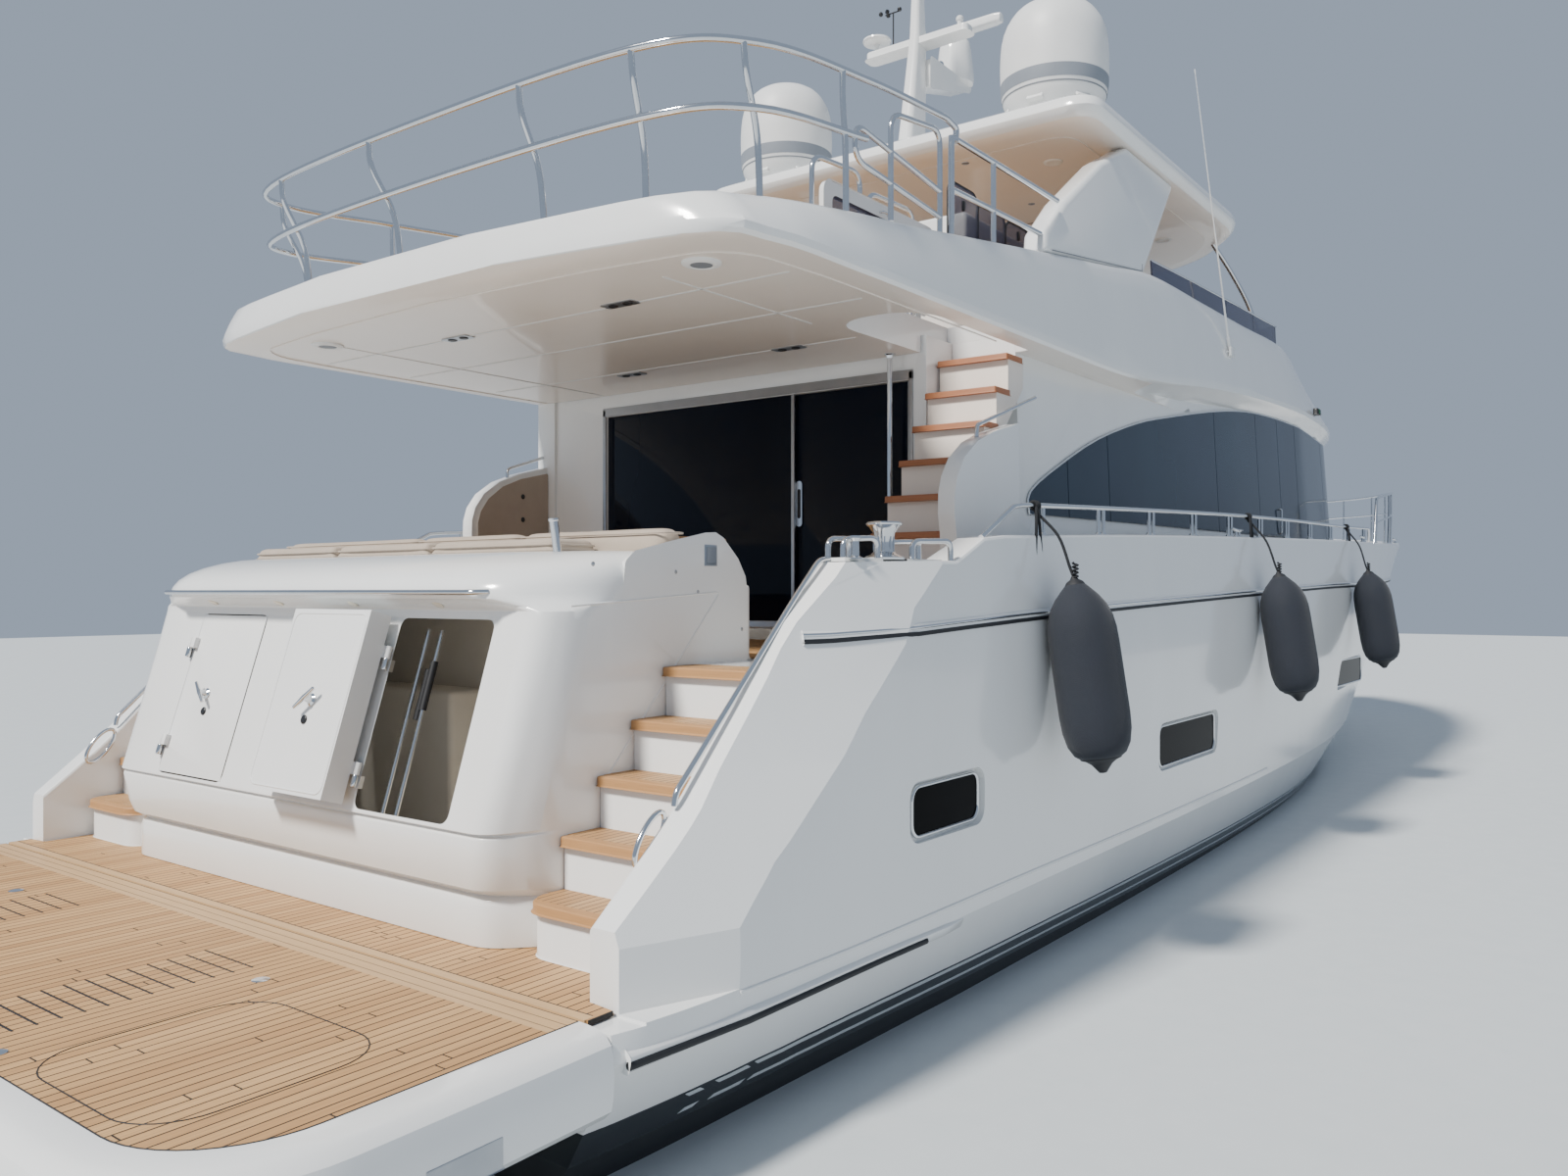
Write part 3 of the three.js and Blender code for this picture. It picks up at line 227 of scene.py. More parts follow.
def teakFinish(name, look, joined=True):
    finish = Finish(name, look["light"], 0.55)
    run, across = finish.axis(0), finish.axis(1)
    count = (across + 40) / look["plank"]
    row = count.floor()
    chance = finish.node("ShaderNodeTexWhiteNoise", {"noise_dimensions": "1D"}, {"W": row})
    stretch = (0.6, 22, 22)
    grain = finish.noise(6.0, 6.0, stretch, 0.65)
    pores = finish.noise(34.0, 2.0, stretch)
    patch = finish.noise(1.3, 3.0)
    color = finish.mix(chance * 0.75 + patch * 0.25, look["light"], look["dark"])
    color = finish.mix((grain - 0.42).over(0.0) * 1.5, color, look["grain"])
    seam = count.fract() < look["caulk"]
    if joined:
        joint = ((run + chance * look["length"] + 40) / look["length"]).fract() < 0.003
        seam = seam.over(joint)
    color = finish.mix(seam, color, look["seam"])
    finish.feed("Base Color", color)
    finish.feed("Roughness", 0.5 + grain * 0.2 + seam * 0.1)
    finish.bump(pores * 0.2 + (1 - seam), 0.5, 0.002)
    return finish.material


# Solid teak boards: nosings, table
def boardFinish(name, look):
    finish = Finish(name, look["light"], 0.45)
    grain = finish.noise(7.0, 6.0, (16, 0.7, 16), 0.6)
    finish.feed("Base Color", finish.mix(grain, look["light"], look["dark"]))
    finish.feed("Roughness", 0.38 + grain * 0.2)
    finish.bump(grain, 0.15, 0.002)
    return finish.material


# Glass: nearly mirror, with a very faint haze and waviness
def glassFinish(name, color, haze, alpha=1.0, roughness=0.03, shine=0.3):
    finish = Finish(name, color, roughness, Specular_IOR_Level=shine)
    film = finish.noise(1.1, 3.0)
    finish.feed("Base Color", finish.mix(film, color, haze))
    finish.feed("Roughness", roughness + film * 0.03)
    if alpha < 1:
        finish.feed("Alpha", alpha + film * 0.05)
    finish.bump(finish.noise(0.8, 1.0), 0.03, 0.01)
    return finish.material


# Polished metal: fine polish lines, small smears
def metalFinish(name, color, worn, roughness):
    finish = Finish(name, color, roughness, 1.0)
    smear = finish.noise(9.0, 4.0)
    lines = finish.noise(50, 2.0, (1, 1, 6))
    finish.feed("Base Color", finish.mix(smear * 0.6, color, worn))
    finish.feed("Roughness", roughness + smear * 0.12)
    finish.bump(lines, 0.015, 0.001)
    return finish.material


# Soft covers: a two-way weave with colour mottle
def clothFinish(name, color, shade, thread=0.004, depth=0.35, sheen=0.25):
    finish = Finish(name, color, 0.85, Sheen_Weight=sheen, Sheen_Roughness=0.5)
    x, y, z = finish.axis(0), finish.axis(1), finish.axis(2)
    warp = ((x + y) * (math.pi / thread)).sine()
    weft = ((z + x - y) * (math.pi / thread)).sine()
    weave = warp * weft
    mottle = finish.noise(7.0, 4.0)
    finish.feed("Base Color", finish.mix(mottle * 0.7 + weave * 0.12, color, shade))
    finish.feed("Roughness", 0.72 + mottle * 0.2)
    finish.bump(weave, depth, 0.0008)
    finish.bump(finish.noise(14.0, 4.0), 0.25, 0.004)
    return finish.material


# Moulded plastic and rubber: satin with a fine tooth
def plasticFinish(name, color, shade, roughness=0.4, tooth=0.12):
    finish = Finish(name, color, roughness)
    mottle = finish.noise(5.0, 4.0)
    finish.feed("Base Color", finish.mix(mottle, color, shade))
    finish.feed("Roughness", roughness + mottle * 0.12)
    finish.bump(finish.noise(160, 2.0), tooth, 0.0006)
    return finish.material


# Moulded non-slip: small raised diamonds
def gripFinish(name, color, shade):
    finish = Finish(name, color, 0.55)
    x, y = finish.axis(0), finish.axis(1)
    pitch = 0.018
    first = ((x + y) * (math.pi / pitch)).sine()
    second = ((x - y) * (math.pi / pitch)).sine()
    dots = (first * second) > 0.15
    grime = finish.noise(3.0, 5.0)
    finish.feed("Base Color", finish.mix(grime * 0.8, color, shade))
    finish.feed("Roughness", 0.5 + dots * 0.12)
    finish.bump(dots, 0.6, 0.0015)
    return finish.material


gel = gelcoatFinish("gelcoat", gelcoatLook)
hullGel = gelcoatFinish("hull_gelcoat", gelcoatLook, stripes=True)
warmGel = gelcoatFinish("ceiling_gelcoat", {**gelcoatLook, "white": "#ebe3da", "grime": "#dfd4c8",
                                            "roughness": 0.3})
lining = plasticFinish("crew_lining", "#efe9de", "#e4dccf", 0.5)
teakX = teakFinish("teak_deck", teakLook)
teakTread = teakFinish("teak_tread", {**teakLook, "plank": 0.045, "light": "#c8a173"}, joined=False)
nosing = boardFinish("teak_nosing", {"light": "#bd9060", "dark": "#9f7446"})
teakBoard = boardFinish("teak_board", {"light": "#cfab7c", "dark": "#b8946a"})
redTread = boardFinish("teak_inside", {"light": "#b07550", "dark": "#925a3a"})
darkGlass = glassFinish("dark_glass", "#0a0f1a", "#111927", shine=0.14)
filmGlass = glassFinish("film_glass", "#2a3542", "#364453", roughness=0.06, shine=0.16)
violetGlass = glassFinish("tinted_glass", "#2a2a44", "#34355a", 0.78)
smokedPanel = glassFinish("smoked_panel", "#4a4b63", "#5a5c78", 0.55, 0.12)
blackGlass = glassFinish("window_glass", "#040507", "#08090d", shine=0.02)
stainless = metalFinish("stainless", "#dfe1e3", "#c2c6ca", 0.06)
satinSteel = metalFinish("satin_steel", "#b9bdc2", "#9da2a8", 0.28)
bronze = metalFinish("bronze", "#a8783f", "#6f5a36", 0.35)
blackRubber = plasticFinish("black_rubber", "#15161a", "#222429", 0.55)
blackPlastic = plasticFinish("black_plastic", "#101114", "#1b1c20", 0.35)
greyPlastic = plasticFinish("grey_plastic", "#7f858c", "#6b7178", 0.5)
whitePlastic = plasticFinish("white_plastic", "#e9eae9", "#d9dbdb", 0.4, 0.05)
greyBand = plasticFinish("dome_band", "#8b929b", "#7d848d", 0.45, 0.05)
taupeCloth = clothFinish("cushion", "#b8aa9a", "#a39484")
paleCloth = clothFinish("pale_cushion", "#cfc5b8", "#bbb0a2")
navyCloth = clothFinish("navy_cloth", "#171c26", "#222833", 0.006, 0.6, 0.1)
ropeBlack = clothFinish("black_rope", "#0d0f13", "#191c23", 0.01, 0.9, 0.05)
grip = gripFinish("nonslip", "#e3e4e2", "#cfd1cf")
lampLens = plasticFinish("lamp_lens", "#f4efe2", "#e6dfcd", 0.2, 0.02)
redLens = plasticFinish("red_lens", "#7c1512", "#5f0f0d", 0.15, 0.02)
greenLens = plasticFinish("green_lens", "#0e5a34", "#0a4227", 0.15, 0.02)
screenBlack = glassFinish("screen", "#05070b", "#0a0f18")
walnut = boardFinish("saloon_wood", {"light": "#6b4a33", "dark": "#4a3122"})

print("stage: finishes made")


# Mesh helpers
def settle(piece, material, body="yacht", replaces=(), slot=None, smooth=35):
    mesh = cleaned(piece, 0.00005, flat=0).data
    mesh.polygons.foreach_set("use_smooth", [True] * len(mesh.polygons))
    mesh.set_sharp_from_angle(angle=math.radians(smooth))
    mesh.materials.clear()
    mesh.materials.append(material)
    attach(piece, body)
    if replaces:
        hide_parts(*replaces)
    return piece


def pieceOf(name, data):
    piece = bpy.data.objects.new(name, data)
    scene.collection.objects.link(piece)
    return piece


def meshPiece(name, points, faces=(), edges=()):
    mesh = bpy.data.meshes.new(name)
    mesh.from_pydata([tuple(p) for p in points], list(edges), list(faces))
    mesh.update()
    return pieceOf(name, mesh)


def loftPiece(name, rings):  # rings of equal counts, capped at both ends
    count = len(rings[0])
    points = [p for ring in rings for p in ring]
    faces = []
    for a in range(0, len(points) - count, count):
        b = a + count
        for i in range(count):
            j = (i + 1) % count
            faces.append((a + i, a + j, b + j, b + i))
    faces.append(tuple(range(count)))
    faces.append(tuple(range(len(points) - count, len(points))))
    return meshPiece(name, points, faces)


def prismPiece(name, outline, low, high, axis="z"):  # outline in the two other axes, in their order
    order = {"x": (2, 0, 1), "y": (0, 2, 1), "z": (0, 1, 2)}[axis]
    return loftPiece(name, [[[(a, b, c)[i] for i in order] for a, b in outline] for c in (low, high)])


def blockPiece(name, low, high):
    outline = [(low[0], low[1]), (high[0], low[1]), (high[0], high[1]), (low[0], high[1])]
    return prismPiece(name, outline, low[2], high[2])


def roundedRect(x0, x1, y0, y1, radius, steps=6):
    points = []
    for cx, cy, start in ((x1 - radius, y1 - radius, 0), (x0 + radius, y1 - radius, 90),
                          (x0 + radius, y0 + radius, 180), (x1 - radius, y0 + radius, 270)):
        for i in range(steps + 1):
            turn = math.radians(start + 90 * i / steps)
            points.append((cx + radius * math.cos(turn), cy + radius * math.sin(turn)))
    return points


def roundedAft(aft, y0, y1, radius, steps=8):  # the two after corners, from y0 to y1
    turns = [math.pi / 2 * i / steps for i in range(steps + 1)]
    corner = [(aft + radius - radius * math.sin(turn), radius - radius * math.cos(turn)) for turn in turns]
    return [(x, y0 + y) for x, y in corner] + [(x, y1 - y) for x, y in reversed(corner)]


def lathePiece(name, profile, segments, centre=(0, 0, 0), axis=(0, 0, 1)):  # profile: radius, height
    turnTo = Vector((0, 0, 1)).rotation_difference(Vector(axis)).to_matrix()
    turns = [2 * math.pi * i / segments for i in range(segments)]
    rings = []
    for radius, height in profile:
        ring = [Vector((radius * math.cos(turn), radius * math.sin(turn), height)) for turn in turns]
        rings.append([Vector(centre) + turnTo @ local for local in ring])
    return loftPiece(name, rings)


def applyAll(piece):  # freezes the modifiers into the mesh
    graph = bpy.context.evaluated_depsgraph_get()
    mesh = bpy.data.meshes.new_from_object(piece.evaluated_get(graph), depsgraph=graph)
    old = piece.data
    piece.modifiers.clear()
    piece.data = mesh
    bpy.data.meshes.remove(old)
    return piece


def bevelled(piece, width, segments=3, angle=30):
    edge = piece.modifiers.new("edge", "BEVEL")
    edge.width = width
    edge.segments = segments
    edge.limit_method = "ANGLE"
    edge.angle_limit = math.radians(angle)
    edge.use_clamp_overlap = True
    edge.harden_normals = False
    edge.miter_outer = "MITER_ARC"
    return applyAll(piece)


def cleaned(piece, distance=0.0001, flat=0.5):
    bm = bmesh.new()
    bm.from_mesh(piece.data)
    bmesh.ops.remove_doubles(bm, verts=bm.verts, dist=distance)
    bmesh.ops.recalc_face_normals(bm, faces=bm.faces)
    if flat:
        bmesh.ops.dissolve_limit(bm, angle_limit=math.radians(flat), verts=bm.verts, edges=bm.edges)
    bm.to_mesh(piece.data)
    bm.free()
    return piece


def cut(piece, *cutters, operation="DIFFERENCE"):
    for cutter in cutters:
        cleaned(cutter, flat=0)
        step = piece.modifiers.new("cut", "BOOLEAN")
        step.operation = operation
        step.solver = "EXACT"
        step.object = cutter
        applyAll(piece)
        bpy.data.objects.remove(cutter)
    return piece


def fromNode(node, name, width=0.0, segments=3, angle=30):  # a finer piece made from a CAD node's own shape
    piece = pieceOf(name, nodes[node].data.copy())
    piece.data.materials.clear()
    cleaned(piece)
    return bevelled(piece, width, segments, angle) if width else piece


def joined(name, pieces):
    bm = bmesh.new()
    for piece in pieces:
        bm.from_mesh(piece.data)
    mesh = bpy.data.meshes.new(name)
    bm.to_mesh(mesh)
    bm.free()
    for piece in pieces:
        bpy.data.objects.remove(piece)
    return pieceOf(name, mesh)


def smoothRows(table, perSpan):  # a table resampled along its first column by a smooth curve
    rows = []
    for i in range(len(table) - 1):
        before, start, end, after = table[max(i - 1,
                                              0)], table[i], table[i + 1], table[min(i + 2, len(table) - 1)]
        for step in range(perSpan):
            t = step / perSpan
            row = []
            for c in range(len(start)):
                span = end[0] - start[0]
                first = (end[c] - before[c]) / ((end[0] - before[0]) or 1) * span
                last = (after[c] - start[c]) / ((after[0] - start[0]) or 1) * span
                row.append(start[c] * (2 * t ** 3 - 3 * t ** 2 + 1) + first * (t ** 3 - 2 * t ** 2 + t)
                           + end[c] * (3 * t ** 2 - 2 * t ** 3) + last * (t ** 3 - t ** 2))
            rows.append(row)
    rows.append(list(table[-1]))
    return rows


def lerpRow(table, x, column):
    if x <= table[0][0]:
        return table[0][column]
    for before, after in zip(table, table[1:]):
        if x <= after[0]:
            t = (x - before[0]) / ((after[0] - before[0]) or 1)
            return before[column] + t * (after[column] - before[column])
    return table[-1][column]


def smoothPath(points, perSpan=6):  # a rounded run of points through the given ones
    vectors = [Vector(p) for p in points]
    ends = [vectors[0] * 2 - vectors[1], *vectors, vectors[-1] * 2 - vectors[-2]]
    run = []
    for i in range(1, len(ends) - 2):
        p0, p1, p2, p3 = ends[i - 1:i + 3]
        for step in range(perSpan):
            t = step / perSpan
            run.append(0.5 * ((2 * p1) + (p2 - p0) * t + (2 * p0 - 5 * p1 + 4 * p2 - p3) * t ** 2
                              + (3 * p1 - p0 - 3 * p2 + p3) * t ** 3))
    run.append(vectors[-1])
    return run


def bentPath(points, radius=0.06, steps=5):  # straight runs with rounded corners, as bent tube has
    vectors = [Vector(p) for p in points]
    run = [vectors[0]]
    for before, corner, after in zip(vectors, vectors[1:], vectors[2:]):
        inward, outward = (before - corner), (after - corner)
        reach = min(radius, inward.length * 0.49, outward.length * 0.49)
        start, end = corner + inward.normalized() * reach, corner + outward.normalized() * reach
        for i in range(steps + 1):
            t = i / steps
            run.append((1 - t) ** 2 * start + 2 * t * (1 - t) * corner + t ** 2 * end)
    run.append(vectors[-1])
    return run


# Geometry Nodes: both trees end by realizing and painting what their own nodes made
def treeOf(name, inputs, kinds, links):
    tree = bpy.data.node_groups.new(name, "GeometryNodeTree")
    tree.interface.new_socket("Geometry", in_out="INPUT", socket_type="NodeSocketGeometry")
    for label, kind, value in inputs:
        socket = tree.interface.new_socket(label, in_out="INPUT", socket_type="NodeSocket" + kind)
        if value is not None:
            socket.default_value = value
    tree.interface.new_socket("Geometry", in_out="OUTPUT", socket_type="NodeSocketGeometry")
    made = {"start": tree.nodes.new("NodeGroupInput"), "end": tree.nodes.new("NodeGroupOutput")}
    for label, kind in {**kinds, "real": "RealizeInstances", "paint": "SetMaterial"}.items():
        made[label] = tree.nodes.new("GeometryNode" + kind)
    tail = [("real", "Geometry", "paint", "Geometry"), ("start", "Finish", "paint", "Material"),
            ("paint", "Geometry", "end", "Geometry")]
    for source, output, target, entry in links + tail:
        tree.links.new(made[source].outputs[output], made[target].inputs[entry])
    return tree, made


def barTree():  # round bar along the paths of a mesh of edges
    tree, made = treeOf(
        "bar_along_path", [("Radius", "Float", 0.02), ("Sides", "Int", 12), ("Finish", "Material", None)],
        {"curve": "MeshToCurve", "circle": "CurvePrimitiveCircle", "sweep": "CurveToMesh"},
        [("start", "Geometry", "curve", "Mesh"), ("start", "Radius", "circle", "Radius"),
         ("start", "Sides", "circle", "Resolution"), ("curve", "Curve", "sweep", "Curve"),
         ("circle", "Curve", "sweep", "Profile Curve"), ("sweep", "Mesh", "real", "Geometry")])
    made["sweep"].inputs["Fill Caps"].default_value = True
    return tree


def fittingTree():  # one fitting set on each point, turned by the point's own "turn"
    tree, made = treeOf(
        "fitting_on_points", [("Fitting", "Object", None), ("Finish", "Material", None)],
        {"info": "ObjectInfo", "place": "InstanceOnPoints", "turn": "InputNamedAttribute"},
        [("start", "Geometry", "place", "Points"), ("start", "Fitting", "info", "Object"),
         ("info", "Geometry", "place", "Instance"), ("place", "Instances", "real", "Geometry")])
    made["turn"].data_type = "FLOAT_VECTOR"
    made["turn"].inputs["Name"].default_value = "turn"
    tree.links.new(made["turn"].outputs["Attribute"], made["place"].inputs["Rotation"])
    return tree


bars = barTree()
fittings = fittingTree()


def grown(piece, tree, **values):  # sets the tree's inputs by identifier, then freezes the result
    step = piece.modifiers.new("tree", "NODES")
    step.node_group = tree
    for item in tree.interface.items_tree:
        if item.in_out == "INPUT" and item.name in values:
            step[item.identifier] = values[item.name]
    return applyAll(piece)


def barPiece(name, paths, radius, material=None, sides=12, **settings):
    points, edges = [], []
    for path in paths:
        first = len(points)
        points.extend(tuple(p) for p in path)
        edges.extend((i, i + 1) for i in range(first, len(points) - 1))
    piece = meshPiece(name, points, edges=edges)
    material = material or stainless
    grown(piece, bars, Radius=radius, Sides=sides, Finish=material)
    return settle(piece, material, smooth=50, **settings)


def fittingPiece(name, fitting, places, material, **settings):  # places: (x, y, z), or that and its turns
    places = [place if len(place) == 2 else (place, (0, 0, 0)) for place in places]
    piece = meshPiece(name, [place for place, _ in places])
    turn = piece.data.attributes.new("turn", "FLOAT_VECTOR", "POINT")
    turn.data.foreach_set("vector", [angle for _, turns in places for angle in turns])
    grown(piece, fittings, Fitting=fitting, Finish=material)
    bpy.data.objects.remove(fitting)
    return settle(piece, material, **settings)


def surfaceBand(name, path, width, proud, depth):  # a strip along points on the hull's side, proud outwards
    rings = []
    for point in path:
        out = hullOut(point)
        p = Vector(point)
        up = (Vector((0, 0, 1)) - out * out.z) * (width / 2)
        rings.append([p - up - out * depth, p + up - out * depth, p + up * 0.75 + out * proud,
                      p - up * 0.75 + out * proud])
    return loftPiece(name, rings)


# Hull: x, keel z, chine y, chine z, strake y, topside y, bulwark y, bulwark z
hullLook = {
    "stations": [
        (-9.53, -0.76, 2.38, -0.06, 2.74, 2.69, 2.64, 0.90),
        (-9.38, -0.765, 2.39, -0.065, 2.765, 2.725, 2.68, 1.01),
        (-8.90, -0.79, 2.41, -0.085, 2.795, 2.79, 2.74, 1.41),
        (-7.83, -0.83, 2.44, -0.11, 2.80, 2.80, 2.77, 2.445),
        (-7.01, -0.86, 2.46, -0.13, 2.815, 2.815, 2.775, 2.467),
        (-6.70, -0.87, 2.47, -0.137, 2.818, 2.821, 2.778, 2.600),
        (-6.45, -0.88, 2.475, -0.14, 2.82, 2.825, 2.78, 2.622),
        (-4.00, -0.94, 2.50, -0.14, 2.83, 2.86, 2.80, 2.72),
        (-1.00, -0.98, 2.49, -0.11, 2.80, 2.88, 2.83, 2.81),
        (2.00, -0.99, 2.38, -0.01, 2.68, 2.86, 2.84, 2.89), (4.50, -0.94, 2.10, 0.15, 2.40, 2.74, 2.80, 2.945),
        (6.50, -0.83, 1.70, 0.33, 2.02, 2.51, 2.68, 3.00), (8.30, -0.60, 1.21, 0.53, 1.52, 2.11, 2.43, 3.07),
        (9.80, -0.20, 0.76, 0.76, 1.01, 1.61, 2.06, 3.15), (10.90, 0.33, 0.44, 1.01, 0.61, 1.13, 1.63, 3.22),
        (11.70, 0.96, 0.22, 1.40, 0.33, 0.72, 1.17, 3.28), (12.30, 1.68, 0.09, 1.96, 0.15, 0.38, 0.68, 3.33),
        (12.72, 2.48, 0.03, 2.64, 0.05, 0.13, 0.26, 3.36),
    ],
    "strakeZ": 0.59,
    # quarters planed inwards aft of a slanting crease: z, crease x, slope inwards
    "facet": [(0.705, -8.88, 0.37), (0.95, -8.88, 0.37), (1.56, -8.125, 0.33), (2.045, -7.546, 0.31),
              (2.47, -7.03, 0.25), (3.2, -6.15, 0.2)],
    "creaseY": 2.80,
    # inner wall: x, half width, floor z
    "well": [(-9.53, 2.46, 0.70), (-7.9905, 2.46, 0.70), (-7.99, 2.44, 1.93), (-6.45, 2.62, 1.93),
             (-5.30, 2.66, 1.93),
             (2.00, 2.71, 1.99), (4.20, 2.66, 2.008), (4.202, 2.69, 2.786), (6.50, 2.55, 2.86),
             (8.50, 2.21, 2.93),
             (10.00, 1.77, 2.99), (11.20, 1.23, 3.05), (12.05, 0.64, 3.09), (12.25, 0.40, 3.10)],
    "capRadius": 0.018,
}
hullRows = smoothRows(hullLook["stations"][:5], 3)[:-1] + smoothRows(hullLook["stations"][4:], 5)

# the quarter's top is flat and then rises straight to the bulwark
for hullStation in hullRows:
    if -7.83 < hullStation[0] < -6.45:
        hullStation[7] = lerpRow(hullLook["stations"], hullStation[0], 7)


def hullRow(x):
    return [lerpRow(hullRows, x, c) for c in range(8)]


def sideCurve(row):  # the topside from the chine up to the bulwark's top, as (y, z)
    chineY, chineZ, strakeY, topsideY, bulwarkY, bulwarkZ = row[2:]
    strakeZ = max(hullLook["strakeZ"], chineZ + (bulwarkZ - chineZ) * 0.12)
    topsideZ = strakeZ + (bulwarkZ - strakeZ) * 0.62
    middle = (strakeZ + topsideZ) / 2
    controls = [(strakeZ, strakeY), (middle, (strakeY + topsideY) / 2 + 0.008), (topsideZ, topsideY),
                (bulwarkZ, bulwarkY)]
    return [(chineZ, chineY), (chineZ + 0.04, chineY + 0.025)], controls


def hullSide(x, z):  # the topside's half width at x and z
    lower, controls = sideCurve(hullRow(x))
    table = lower + controls
    if z <= controls[0][0]:
        return lerpRow(table, z, 1)
    side = lerpRow(smoothRows(controls, 4), z, 1)
    crease, slope = lerpRow(hullLook["facet"], z, 1), lerpRow(hullLook["facet"], z, 2)
    return min(side, hullLook["creaseY"] - (crease - x) * slope) if z > 0.705 else side


def hullOut(point):  # outward direction of the side at a point
    x, y, z = point
    side = -1 if y < 0 else 1
    dx = (hullSide(x + 0.05, z) - hullSide(x - 0.05, z)) / 0.1
    dz = (hullSide(x, z + 0.03) - hullSide(x, z - 0.03)) / 0.06
    return Vector((-dx, side, -dz)).normalized()


def mirroredRing(x, half):  # from one half's (y, z), centreline to centreline
    return [(x, y, z) for y, z in half] + [(x, -y, z) for y, z in reversed(half[1:-1])]


def hullRing(x, well):
    row = hullRow(x)
    controls = sideCurve(row)[1]
    keelZ, chineY, chineZ = row[1:4]
    wellY, floorZ = lerpRow(well, x, 1), lerpRow(well, x, 2)
    top = controls[-1][0]
    outer = [(0, keelZ), (chineY * 0.5, keelZ + (chineZ - keelZ) * 0.44), (chineY, chineZ),
             (chineY + 0.025, chineZ + 0.04)]
    outer += [(y, z) for z, y in smoothRows(controls, 3)]
    r = hullLook["capRadius"]
    topY = outer[-1][0]
    wellY = min(wellY, topY - 0.05)
    outer = outer[:-1] + [(topY, top - r), (topY - r * 0.3, top - r * 0.3), (topY - r, top)]
    floorZ = min(floorZ, top - 0.05)
    inner = [(wellY + r, top), (wellY + r * 0.3, top - r * 0.3), (wellY, top - r), (wellY, floorZ + r),
             (wellY - r, floorZ), (0, floorZ)]
    return mirroredRing(x, outer + inner)


def quarterCutter(side):
    rings = []
    for z, x, slope in hullLook["facet"]:
        crease = hullLook["creaseY"]
        rings.append([(x + 0.6, side * (crease + 0.6 * slope), z), (x - 1.2, side * (crease - 1.2 * slope), z),
                      (x - 1.2, side * 3.6, z),
                      (x + 0.6, side * 3.6, z)])
    return loftPiece("quarter_cut", rings)


def makeHull():
    well = hullLook["well"]
    xs = sorted({round(r[0], 4) for r in hullRows if r[0] < 12.24} | {w[0] for w in well[:-1]})
    rings = [hullRing(x, well) for x in xs]
    solidEnd = [(12.26, 0.2, 3.3), (13.0, 0.02, 3.3)]
    bow = [hullRing(x, solidEnd) for x in (12.26, 12.3, 12.45, 12.6, 12.72)]
    hull = loftPiece("hull_shell", rings)
    stem = loftPiece("stem", bow)
    aftTop = blockPiece("aft_top", (-9.7, -3, 0.695), (-9.38, 3, 2))
    houseSeat = houseBlock("house_seat", 0.003, 2.0, 4.6, 3.9, 7.453)
    cut(hull, aftTop, houseSeat, quarterCutter(-1), quarterCutter(1))
    windows = []
    for aft, fore, low, high in windowLook["places"]:
        for side in (-1, 1):
            y = hullSide((aft + fore) / 2, (low + high) / 2) - 0.035
            outline = roundedRect(aft - 0.035, fore + 0.035, low - 0.03, high + 0.03, 0.09)
            span = (side * y, side * 3.2) if side > 0 else (side * 3.2, side * y)
            windows.append(prismPiece("window_cut", outline, *span, axis="y"))
    cut(hull, *windows)
    return settle(joined("hull_shell", [hull, stem]), hullGel, smooth=13,
                  replaces=("hull", "deck", "bulwark_starboard", "bulwark_port"))


houseLook = {
    # x, half width at the foot, half width at the top
    "stations": [(-5.355, 2.21, 2.11), (-3.0, 2.25, 2.13), (0.0, 2.29, 2.15), (3.0, 2.29, 2.13),
                 (5.0, 2.17, 1.98),
                 (6.5, 1.84, 1.60), (7.5, 1.38, 1.12)],
    "foot": 2.015, "brow": 4.6,
}


def houseWall(x, z):
    t = (z - houseLook["foot"]) / (houseLook["brow"] - houseLook["foot"])
    foot, top = lerpRow(houseLook["stations"], x, 1), lerpRow(houseLook["stations"], x, 2)
    return foot + (top - foot) * t


def houseBlock(name, grow, low, high, aft=-6.0, fore=8.0):
    xs = [aft] + [s[0] for s in houseLook["stations"] if aft < s[0] < fore] + [fore]
    return loftPiece(name, [[(x, -houseWall(x, low) - grow, low), (x, houseWall(x, low) + grow, low),
                             (x, houseWall(x, high) + grow, high),
                             (x, -houseWall(x, high) - grow, high)] for x in xs])


# Hull windows, in recesses: aft x, fore x, low z, high z
windowLook = {"places": [(-7.53, -6.83, 1.08, 1.33), (-4.06, -2.73, 1.02, 1.315), (2.30, 3.90, 1.18, 1.48)],
              "rim": 0.010}


def makeHullWindows():
    panes, rims = [], []
    for aft, fore, low, high in windowLook["places"]:
        for side in (-1, 1):
            y = hullSide((aft + fore) / 2, (low + high) / 2) - 0.034
            outline = roundedRect(aft, fore, low, high, 0.07)
            near, far = sorted((side * y, side * (y + 0.012)))
            panes.append(prismPiece("pane", outline, near, far, axis="y"))
            loop = [(a, side * (y + 0.014), b) for a, b in outline]
            rims.append(loop + [loop[0], loop[1]])
    settle(bevelled(joined("hull_window_panes", panes), 0.003, 2), blackGlass)
    barPiece("hull_window_rims", rims, windowLook["rim"])


makeHull()
makeHullWindows()
print("stage: hull")

# Rub rail, lower strake and knuckle line on the hull side: x, z
trimLook = {
    "rubRail": [(-8.17, 2.088), (-7.98, 2.09), (-5.94, 2.17), (-2.14, 2.28), (1.0, 2.36), (3.2, 2.40),
                (6.0, 2.47),
                (8.5, 2.56), (10.5, 2.66), (11.8, 2.76), (12.35, 2.82)],
    "strake": [(-9.48, 0.585), (-8.2, 0.572), (-7.41, 0.562)],
    "railWidth": 0.080, "railProud": 0.007,
}


def sideRun(table, side, spacing=0.25, lift=0.0):
    run = []
    rows = smoothRows(table, max(2, int((table[-1][0] - table[0][0]) / len(table) / spacing)))
    for x, z in rows:
        run.append((x, side * (hullSide(x, z) + lift), z))
    return run


